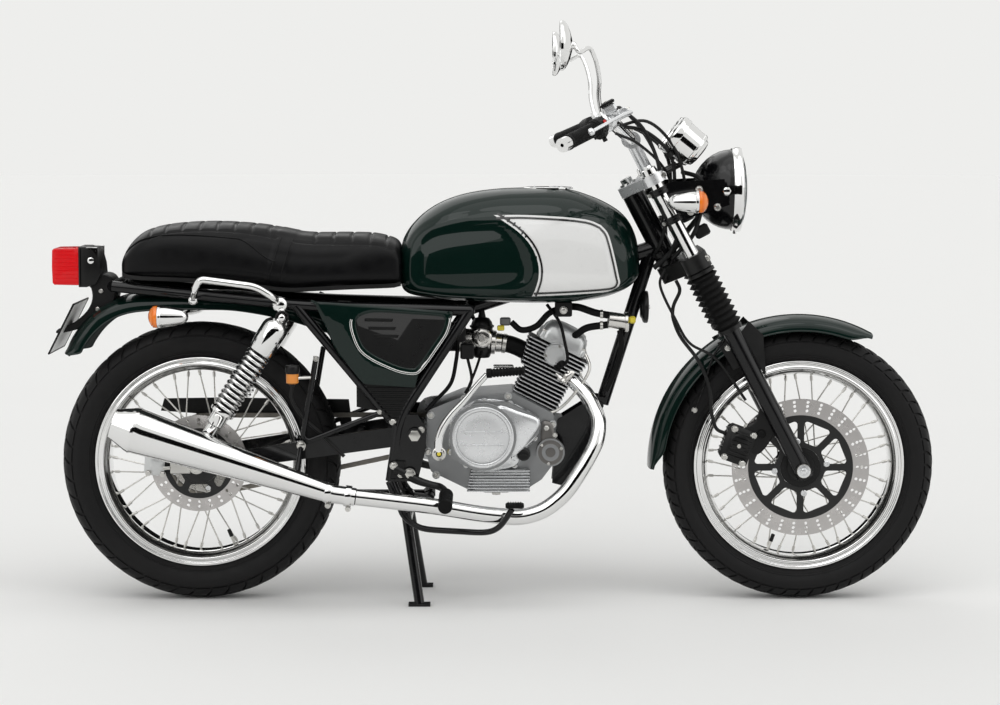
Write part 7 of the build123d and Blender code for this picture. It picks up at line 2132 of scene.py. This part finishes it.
class CAFE_OT_cylinder(bpy.types.Operator):
    """Finned barrel and head, rocker cover, plug, studs and oil lines"""
    bl_idname = "cafe.cylinder"
    bl_label = "Cylinder"

    def execute(self, context):
        shape = Shape()

        def fin(up, half_length, half_width, ahead, thick=3.4, corner=9, mark=4, tip=1):
            rows = []
            for lift, inset in ((-thick * 0.5 - 0.7, 14), (-thick * 0.5, 1.2), (-thick * 0.2, 0),
                                (thick * 0.2, 0), (thick * 0.5, 1.2), (thick * 0.5 + 0.7, 14)):
                ring = fin_outline(half_length - inset, half_width - inset, up + lift, corner)
                rows.append([p + BORE_AHEAD * ahead for p in ring])
            shape.rings(rows[:2], mark)
            shape.rings(rows[1:5], tip)
            shape.rings(rows[4:], mark)
            for ring in (rows[0], rows[-1]):
                shape.add(ring, [tuple(range(len(ring)))], mark)

        shape.rings([fin_outline(40, 42, 0, 12), fin_outline(40, 42, 62, 12)], 4, caps=True)
        count, low, height, half_length, half_width = BARREL_FINS
        for k in range(count):
            fin(low + height * k / count, half_length, half_width, 0)
        shape.rings([fin_outline(52, 45, 62, 14), fin_outline(54, 46, 100, 14), fin_outline(50, 44, 136, 16)],
                    4, caps=True)
        count, low, height, half_length, half_width = HEAD_FINS
        for k in range(count):
            grow = 0.84 + 0.16 * k / (count - 1)
            fin(low + height * k / count, half_length * grow, half_width * grow, -4)
        rows = []
        for up, half_length, half_width in ROCKER_SECTION:
            ring = fin_outline(half_length, half_width, up, min(18, half_width * 0.45))
            rows.append([p + BORE_AHEAD * ROCKER_AHEAD for p in ring])
        shape.rings(rows, 2, caps=True)
        for sx in (-1, 1):
            for sy in (-1, 1):
                ahead, left = ROCKER_AHEAD + sx * 49, sy * 41
                shape.lathe(bore_at(139, ahead, left), BORE_UP, [(-2, 8), (10, 7.5), (12, 6.5), (12, 0)], 20, 2)
                shape.bolt(bore_at(151, ahead, left), BORE_UP, 5.2, 5, 3)
            lean = BORE_UP + BORE_AHEAD * sx * 0.35
            shape.lathe(bore_at(163, ROCKER_AHEAD + sx * 30, 0), lean, [(0, 17), (12, 17), (14, 15), (14, 0)],
                        32, 2)
            shape.bolt(bore_at(176, ROCKER_AHEAD + sx * 35, 0), lean, 8, 5, 3)
        for way in (-1, 1):
            shape.lathe(bore_at(116, -6, way * 46), (0, way, 0),
                        [(0, 26), (17, 25), (20, 22), (20, 19), (18, 18), (18, 0)], 36, 2)
            for k in range(3):
                turn = math.radians(90 + 120 * k)
                arm = BORE_AHEAD * (21.5 * math.cos(turn)) + BORE_UP * (21.5 * math.sin(turn))
                spot = bore_at(116, -6, way * 66) + arm
                shape.bolt(spot - LEFT * (way * 1.5), (0, way, 0), 3.4, 3, 3, socket=True)
        shape.lathe(bore_at(96, 10, -58), (0.35, -1, 0.3),
                    [(0, 10), (6, 10), (7, 7), (18, 6.5), (18, 8), (30, 8),
                                                            (34, 6), (34, 0)], 24, 4)
        shape.tube(smooth_line([bore_at(104, 18, -84), bore_at(122, 20, -92), bore_at(150, 0, -76),
                                bore_at(184, -30, -52), (116, -34, 660)], 8), 3.6, 10, 4)
        shape.tube(smooth_line([bore_at(150, 50, -40), bore_at(120, 76, -56), bore_at(60, 70, -66),
                                bore_at(10, 52, -72), (104, -86, 424)], 8), 3.2, 10, 3)
        piece = shape.build("finned_cylinder", ("dark_alloy", "machined_alloy", "cast_alloy", "zinc", "rubber"),
                            "chassis", sharp=35)
        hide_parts("cylinder")
        return {"FINISHED"}


class CAFE_OT_engine(bpy.types.Operator):
    """Covers, ribs and bolts on the crankcase"""
    bl_idname = "cafe.engine"
    bl_label = "Engine"

    def execute(self, context):
        cover = Shape()
        face = CLUTCH + OUTWARD * 46
        cover.lathe(CLUTCH + OUTWARD * 16, OUTWARD,
                    [(0, 74.5), (14, 74), (24, 72), (29.6, 68), (31.2, 64.5), (31.2, 60), (30.2, 58.2),
                     (28.4, 57.6), (28.0, 54), (28.6, 40), (29.2, 20), (29.4, 0)], 96, 0)
        for z in (-16, 12):
            cover.block(face + Vector((0, 0.4, z)), (2 * math.sqrt(52 ** 2 - z * z) - 8, 2.4, 3.2), bevel=0.8,
                        mark=0)
        cover.slab(even_outline(RIGHT_COVER), ((0, -92), (0, -98), (1.5, -99.5), (2, -112), (5, -118),
                                               (12, -121.5), (22, -122.5)))
        for x, z in RIGHT_COVER_BOLTS:
            cover.lathe((x, -97, z), OUTWARD, [(0, 8), (9, 7.4), (11, 6.4), (11, 0)], 24, 0)
            cover.bolt((x, -107.5, z), OUTWARD, 4.6, 4, 1, socket=True)
        cover.slab(even_outline(RIGHT_LOBE, 3), ((0, -118), (0, -127), (2.5, -130), (7, -131.5)))
        cover.lathe((64, -116, 338), OUTWARD, [(0, 15), (10, 14), (12, 11), (12, 0)], 30, 2)
        cover.block((64, -130, 338), (16, 6, 4), bevel=1, mark=2)
        for k in range(8):
            z = 300 - 6.4 * k
            left_x = -52 - k * 1.2
            cover.block(((left_x + 78) / 2, -104, z), (78 - left_x, 22, 2.6), bevel=0.9, mark=0)
        cover.block((14, -100, 278), (122, 14, 50), bevel=4, mark=3)
        cover.build("right_covers", ("machined_alloy", "zinc", "satin_black", "cast_alloy"), "chassis",
                    sharp=32)

        extra = Shape()
        centre = Vector((123, -112, 341))
        extra.lathe(centre, OUTWARD, [(-20, 31.5), (-4, 31), (1, 29.5), (2.6, 26), (2.6, 20), (1.6, 18.5),
                                      (1.6, 11), (4, 10), (4.6, 0)], 56, 0)
        for k in range(3):
            turn = math.radians(20 + 120 * k)
            extra.bolt(centre + Vector((25 * math.cos(turn), -2, 25 * math.sin(turn))), OUTWARD, 3.8, 3.4, 1,
                       socket=True)
        extra.slab(even_outline(FILTER_ARM, 3), ((0, -92), (0, -104), (3, -107), (8, -108)))
        extra.bolt((114, -106, 394), OUTWARD, 6, 5, 1)
        extra.bolt((132, -105, 378), OUTWARD, 5, 4, 1)
        for x, z in CASE_BOLTS:
            extra.lathe((x, -84, z), OUTWARD, [(0, 9), (9, 9), (11, 7.5), (11, 0)], 24, 2)
            extra.bolt((x, -94, z), OUTWARD, 5, 5, 1)
        extra.lathe((-96, -98, 340), OUTWARD, [(0, 7), (1.2, 7), (1.2, 0)], 20, 3)
        extra.block((4, -60, 252), (60, 46, 10), bevel=3, mark=2)
        extra.bolt((4, -60, 247), (0, 0, -1), 11, 7, 1)
        for k in range(6):
            extra.block((8, -40 + 16 * k, 256), (118, 3, 8), bevel=1, mark=2)
        extra.slab(even_outline(LEFT_COVER), ((0, 92), (0, 104), (3, 110), (10, 113), (24, 114)))
        extra.lathe((18, 100, 356), LEFT, [(0, 70), (20, 69), (25, 64), (26.4, 57), (25.6, 50), (26.4, 30),
                                           (26.6, 0)], 72, 4)
        extra.lathe((18, 124, 356), LEFT, [(0, 13), (4, 12.5), (5, 10), (5, 0)], 32, 1)
        for k in range(9):
            turn = 2 * math.pi * k / 9
            extra.bolt((8 + 88 * math.cos(turn), 109, 362 + 76 * math.sin(turn)), LEFT, 4.6, 5, 1, socket=True)
        extra.slab(even_outline(SPROCKET_COVER, 3), ((0, 93), (0, 100), (3, 103), (9, 104)), 4)
        extra.build("engine_extras", ("dark_alloy", "zinc", "cast_alloy", "yellow_mark", "machined_alloy"),
                    "chassis")

        carb = Shape()
        spot = Vector((-28, 0, 585))
        carb.lathe(spot + LEFT * 27, OUTWARD, [(0, 16), (2, 22.5), (52, 22.5), (54, 20), (55, 17), (56, 10),
                                               (56, 0)], 44, 0)
        carb.lathe(spot - LEFT * 28, OUTWARD, [(0, 19), (4, 18.5), (5.5, 15), (5.5, 8), (8, 7), (8, 0)], 40, 0)
        for k in range(4):
            turn = math.radians(45 + 90 * k)
            carb.bolt(spot + Vector((19 * math.cos(turn), -28, 19 * math.sin(turn))), OUTWARD, 3, 3, 2,
                      socket=True)
        carb.lathe(spot, UP, [(-46, 0), (-46, 16), (-42, 19), (-30, 22), (-14, 24), (20, 24), (22, 27),
                              (26, 27), (27, 24), (34, 22), (42, 16), (44, 9), (58, 6), (58, 0)], 40, 1)
        carb.lathe((-68, 0, 578), (1, 0, -0.075), [(0, 22), (2, 26), (20, 26), (24, 22), (58, 21), (62, 27),
                                                   (70, 27), (72, 22), (84, 21)], 40, 0)
        lay_hoses(carb, CARB_LINES)
        duct = smooth_line([(12, 0, 573), (42, 0, 566), (78, 0, 549)], 6)
        carb.tube(duct, 19.5, 24, 3)
        carb.lathe((18, 0, 571), Vector((1, 0, -0.15)), [(0, 20), (0, 22), (8, 22), (8, 20)], 32, 2)
        carb.tube([(-62, 0, 578), (-90, 0, 578), (-120, 0, 578), (-160, 0, 578)], 25, 28, 3)
        carb.lathe((-80, 0, 578), FORWARD, [(0, 25), (0, 27), (8, 27), (8, 25)], 32, 2)
        carb.block((24, -30, 622), (24, 14, 18), bevel=3, mark=4)
        carb.block((14, -36, 608), (16, 10, 12), bevel=2, mark=5)
        lay_hoses(carb, BREATHER_HOSES)
        for x, z in ((236, 640), (236, 615)):
            carb.lathe((x, -50, z), FORWARD, [(-3, 8), (-3, 9.6), (3, 9.6), (3, 8)], 24, 2)
        carb.rod((250, -50, 628), (292, -50, 622), 18, 0)
        carb.lathe((292, -50, 622), FORWARD, [(-4, 21), (-4, 22), (2, 22), (4, 18), (4, 0)], 32, 0)
        carb.block((304, -58, 628), (14, 14, 16), bevel=3, mark=5)
        lay_hoses(carb, VALVE_HOSES)
        carb.block((152, -56, 652), (38, 22, 34), bevel=3, mark=1)
        carb.bolt((152, -67, 650), OUTWARD, 7, 5, 2)
        carb.block((-86, -52, 600), (46, 30, 44), bevel=4, mark=1)
        carb.block((-60, -74, 560), (30, 22, 34), bevel=3, mark=1)
        lay_hoses(carb, DRAIN_HOSES)
        piece = carb.build("carb_and_hoses", ("satin_chrome", "satin_black", "zinc", "rubber", "gasket_grey",
                                              "yellow_mark"), "chassis")
        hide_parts("carburettor")
        return {"FINISHED"}


class CAFE_OT_exhaust(bpy.types.Operator):
    """Port flange, clamps, muffler with its end cone, pedals and the kick lever"""
    bl_idname = "cafe.exhaust"
    bl_label = "Exhaust"

    def execute(self, context):
        parts = Shape()
        port = Vector((168, -36, 498))
        line = Vector((40, -28, -38)).normalized()
        parts.lathe(port - line * 6, line, [(0, 22), (0, 27), (3, 28), (11, 28), (14, 26), (16, 20)], 40, 0)
        for way in (-1, 1):
            spot = port + across_of(line)[0] * (34 * way)
            parts.lathe(spot - line * 6, line, [(0, 9), (8, 9), (9, 7)], 24, 0)
            parts.bolt(spot + line * 2, line, 6, 7, 1)
            parts.rod(spot - line * 18, spot + line * 12, 3.5, 1)
        parts.build("port_flange", ("satin_chrome", "zinc"), "chassis")

        muffler = Shape()
        header, cone = CONE_START - HEADER_END, CONE_SHOULDER - CONE_START
        axis, run = cone.normalized(), cone.length
        muffler.lathe(HEADER_END, header, [(0, 17.6), (0, 19.4), (46, 20), (50, 20.4)], 48, 0)
        section = [(-4, 20.2), (0, 21), (4, 21)]
        for k in range(1, CONE_STEPS):
            section.append((run * k / CONE_STEPS, 20.6 + 29.4 * (k / CONE_STEPS) ** 0.98))
        section += [(run + along, radius) for along, radius in
                    ((-5, 49.6), (-2.5, 50.4), (0, 50), (4, 49.2), (40, 34.6), (44, 33.4), (46, 33),
                     (46.2, 31.4), (44, 30.6), (10, 30), (-4, 29), (-4, 0))]
        muffler.lathe(CONE_START, axis, section, 72, 0)
        muffler.lathe(CONE_START, axis, [(run - 5.5, 49.9), (run - 5.5, 50.9), (run - 1, 50.9),
                                         (run - 1, 49.9)], 72, 0)
        for clamp, along in ((HEADER_END + header.normalized() * 16, header), (CONE_START + axis * 8, axis)):
            muffler.lathe(clamp, along, [(-7, 20), (-7, 22.4), (-6, 23), (6, 23), (7, 22.4), (7, 20)], 48, 0)
            muffler.block(clamp + UP * -26, (12, 10, 10), bevel=1.5, mark=0)
            muffler.rod(clamp + Vector((0, -10, -27)), clamp + Vector((0, 10, -27)), 3.4, 1)
            muffler.bolt(clamp + Vector((0, -9, -27)), OUTWARD, 5, 4, 1)
        muffler.rod(Vector((-422, -118.5, 360)), Vector((-428, -184, 304)), 6.5, 2)
        muffler.bolt((-422, -126, 358), OUTWARD, 8, 6, 1)
        piece = muffler.build("long_muffler", ("chrome", "zinc", "frame_black"), "chassis")
        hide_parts("muffler")

        pedals = Shape()
        brake = smooth_line([(-210, -130.3, 232), (-200, -132, 206), (-180, -136, 188), (-150, -146, 177),
                             (-80, -160, 174), (-20, -172, 174), (8, -184, 186), (26, -200, 210),
                             (38, -206, 230)], 6)
        pedals.tube(brake, 6.6, 12, 0)
        pedals.block((44, -206, 238), (40, 34, 9), bevel=2.5, mark=1)
        for k in range(6):
            pedals.block((30 + 5.4 * k, -206, 243), (2.4, 32, 2.2), bevel=0.5, mark=1)
        pedals.lathe((-210, -122, 234), OUTWARD, [(0, 15), (16, 15), (18, 12), (18, 0)], 32, 0)
        gear = smooth_line([(-70, 128, 300), (-44, 131, 297), (-20, 134, 292), (18, 142, 290), (56, 150, 290)],
                           6)
        pedals.tube(gear, 6, 12, 2)
        pedals.lathe((-70, 92, 300), LEFT, [(0, 8), (30, 8), (30, 12), (42, 12), (43, 9), (43, 0)], 28, 2)
        pedals.rod((56, 146, 290), (56, 188, 290), 10, 1)
        pedals.lathe((-120, -92, 345), OUTWARD, [(0, 10), (56, 10), (58, 15), (74, 15), (76, 12), (76, 7)], 32,
                     3)
        pedals.lathe((-120, -168, 345), OUTWARD, [(0, 7), (0.6, 6.4), (1.2, 4.4)], 24, 0)
        pedals.lathe((-120, -169.2, 345), OUTWARD, [(0, 4.4), (0.4, 3.6), (0.4, 0)], 24, 4)
        kick = smooth_line([(-120, -160, 345), (-121, -161, 372), (-112, -162, 402), (-92, -163, 432),
                            (-64, -165, 462), (-38, -168, 494), (-16, -170, 518)], 6)
        pedals.tube(kick, [9.5 - 3 * ramp(i, 0, 30) for i in range(len(kick))], 14, 2)
        start, end = Vector((-16, -170, 521)), Vector((66, -182, 528))
        along = (end - start).normalized()
        section = [(0, 0), (0, 10.5), (10, 10.5), (12, 8)]
        for k in range(9):
            section += [(14 + k * 7, 9.6), (18 + k * 7, 9.6), (18.6 + k * 7, 8), (20.4 + k * 7, 8)]
        section += [(78, 10.2), (82, 9.6), (83, 6), (83, 0)]
        pedals.lathe(start, along, section, 24, 1)
        pedals.block(start + along * 36 + UP * 13, (44, 14, 7), bevel=2, mark=2)
        piece = pedals.build("pedals", ("frame_black", "rubber", "chrome", "zinc", "yellow_mark"), "chassis")
        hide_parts("foot_levers")

        caliper = Shape()
        centre = FRONT_AXLE + polar(148, math.radians(160)) + LEFT * -62
        radial = polar(1, math.radians(160))
        along = polar(1, math.radians(70))
        for y, thick in ((-79, 22), (-46, 18)):
            caliper.block(centre + LEFT * (y + 62), (62, 80, thick), (radial, along, LEFT), 6, 0)
        caliper.block(centre + radial * 26, (16, 74, 46), (radial, along, LEFT), 5, 0)
        for k in range(7):
            caliper.block(centre + radial * 33.5 + along * (-27 + 9 * k), (5, 3, 40), (radial, along, LEFT), 1,
                          0)
            caliper.block(centre + radial * -4 + along * (-27 + 9 * k) + LEFT * -29.5, (44, 3, 5),
                          (radial, along, LEFT), 1, 0)
        for a, b, radius in ((-22, 33, 6), (22, 33, 6), (22, -33, 6), (-20, -33, 6), (0, 0, 5)):
            caliper.bolt(centre + radial * a + along * b + LEFT * -28, OUTWARD, radius, 5, 1)
        caliper.lathe(centre + along * 8 + LEFT * -28, OUTWARD, [(0, 20), (2.5, 20), (4, 17), (4, 0)], 36, 0)
        caliper.rod(centre + along * 40 + LEFT * -16, centre + along * 52 + LEFT * -16, 4, 1)
        caliper.slab(even_outline(FRONT_LINK, 3), ((0.8, -72), (0, -73), (0, -83), (1.6, -84.4)))
        for x, z in ((614, 444), (622, 422), (560, 360)):
            caliper.bolt((x, -84, z), OUTWARD, 7, 5, 1)
        caliper.lathe((588, -84, 378), OUTWARD, [(0, 10), (6, 9), (8, 5), (8, 0)], 24, 2)
        piece = caliper.build("caliper", ("satin_black", "zinc", "rubber"), "steering_head")
        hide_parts("front_caliper")

        rear = Shape()
        radial = polar(1, math.radians(176))
        along = polar(1, math.radians(86))
        centre = REAR_AXLE + radial * 92 + LEFT * -62
        for y, thick in ((-77, 20), (-46, 18)):
            rear.block(centre + LEFT * (y + 62), (48, 62, thick), (radial, along, LEFT), 6, 0)
        rear.block(centre + radial * 21, (11, 58, 42), (radial, along, LEFT), 4, 0)
        for a, b, radius in ((-16, 26, 5.5), (16, 26, 5.5), (16, -26, 5.5), (-16, -26, 5.5)):
            rear.bolt(centre + radial * a + along * b + LEFT * -25, OUTWARD, radius, 4.5, 1)
        rear.lathe(centre + LEFT * -24, OUTWARD, [(0, 17), (2.5, 17), (4, 14), (4, 0)], 36, 0)
        rear.block(centre + LEFT * -26.5, (30, 4, 2.4), (radial, along, LEFT), 1, 2)
        rear.slab(even_outline(REAR_LINK, 3), ((0.8, -78), (0, -79), (0, -85), (1, -86)), 2)
        rear.lathe((-440, -128, 494), UP, [(0, 0), (0, 11), (2, 13), (22, 13), (22, 14.5), (35, 14.5), (36, 13),
                                           (36, 0)], 32, 3)
        rear.lathe((-440, -128, 495), UP, [(0, 13.2), (21, 13.2)], 32, 3)
        rear.rod((-430, -128, 506), (-402, -114, 506), 4, 1)
        piece = rear.build("rear_caliper", ("cast_alloy", "zinc", "satin_black", "black_plastic"), "chassis")
        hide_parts("rear_brake")
        return {"FINISHED"}


SETTINGS = {"cafe_colours": CafeColours,
            "cafe_studio": CafeStudio,
            "cafe_body": CafeBody,
            "cafe_wheels": CafeWheels}
OPERATORS = (
    CAFE_OT_node_finishes,
    CAFE_OT_tank,
    CAFE_OT_seat,
    CAFE_OT_tyres,
    CAFE_OT_rims,
    CAFE_OT_wheel_details,
    CAFE_OT_guards,
    CAFE_OT_chain,
    CAFE_OT_headlamp,
    CAFE_OT_instruments,
    CAFE_OT_controls,
    CAFE_OT_mirrors,
    CAFE_OT_bellows,
    CAFE_OT_cables,
    CAFE_OT_side_covers,
    CAFE_OT_shocks,
    CAFE_OT_tail,
    CAFE_OT_frame_details,
    CAFE_OT_cylinder,
    CAFE_OT_engine,
    CAFE_OT_exhaust,
    CAFE_OT_studio,
)


class CAFE_PT_sidebar(bpy.types.Panel):
    """Sizes, colours and pieces of the motorcycle"""
    bl_idname = "CAFE_PT_sidebar"
    bl_label = "Cafe Racer"
    bl_space_type = "VIEW_3D"
    bl_region_type = "UI"
    bl_category = "Cafe Racer"

    def draw(self, context):
        for holder in (getattr(context.scene, name) for name in SETTINGS):
            for key in holder.__annotations__:
                self.layout.prop(holder, key)
        for operator in OPERATORS:
            self.layout.operator(operator.bl_idname)


def register():
    for kind in (*SETTINGS.values(), *OPERATORS, CAFE_PT_sidebar):
        bpy.utils.register_class(kind)
    for name, kind in SETTINGS.items():
        setattr(bpy.types.Scene, name, bpy.props.PointerProperty(type=kind))


def unregister():
    for name in SETTINGS:
        delattr(bpy.types.Scene, name)
    for kind in reversed((*SETTINGS.values(), *OPERATORS, CAFE_PT_sidebar)):
        bpy.utils.unregister_class(kind)


def main():
    register()
    for operator in OPERATORS:
        group, name = operator.bl_idname.split(".")
        getattr(getattr(bpy.ops, group), name)()


if __name__ == "__main__":
    main()
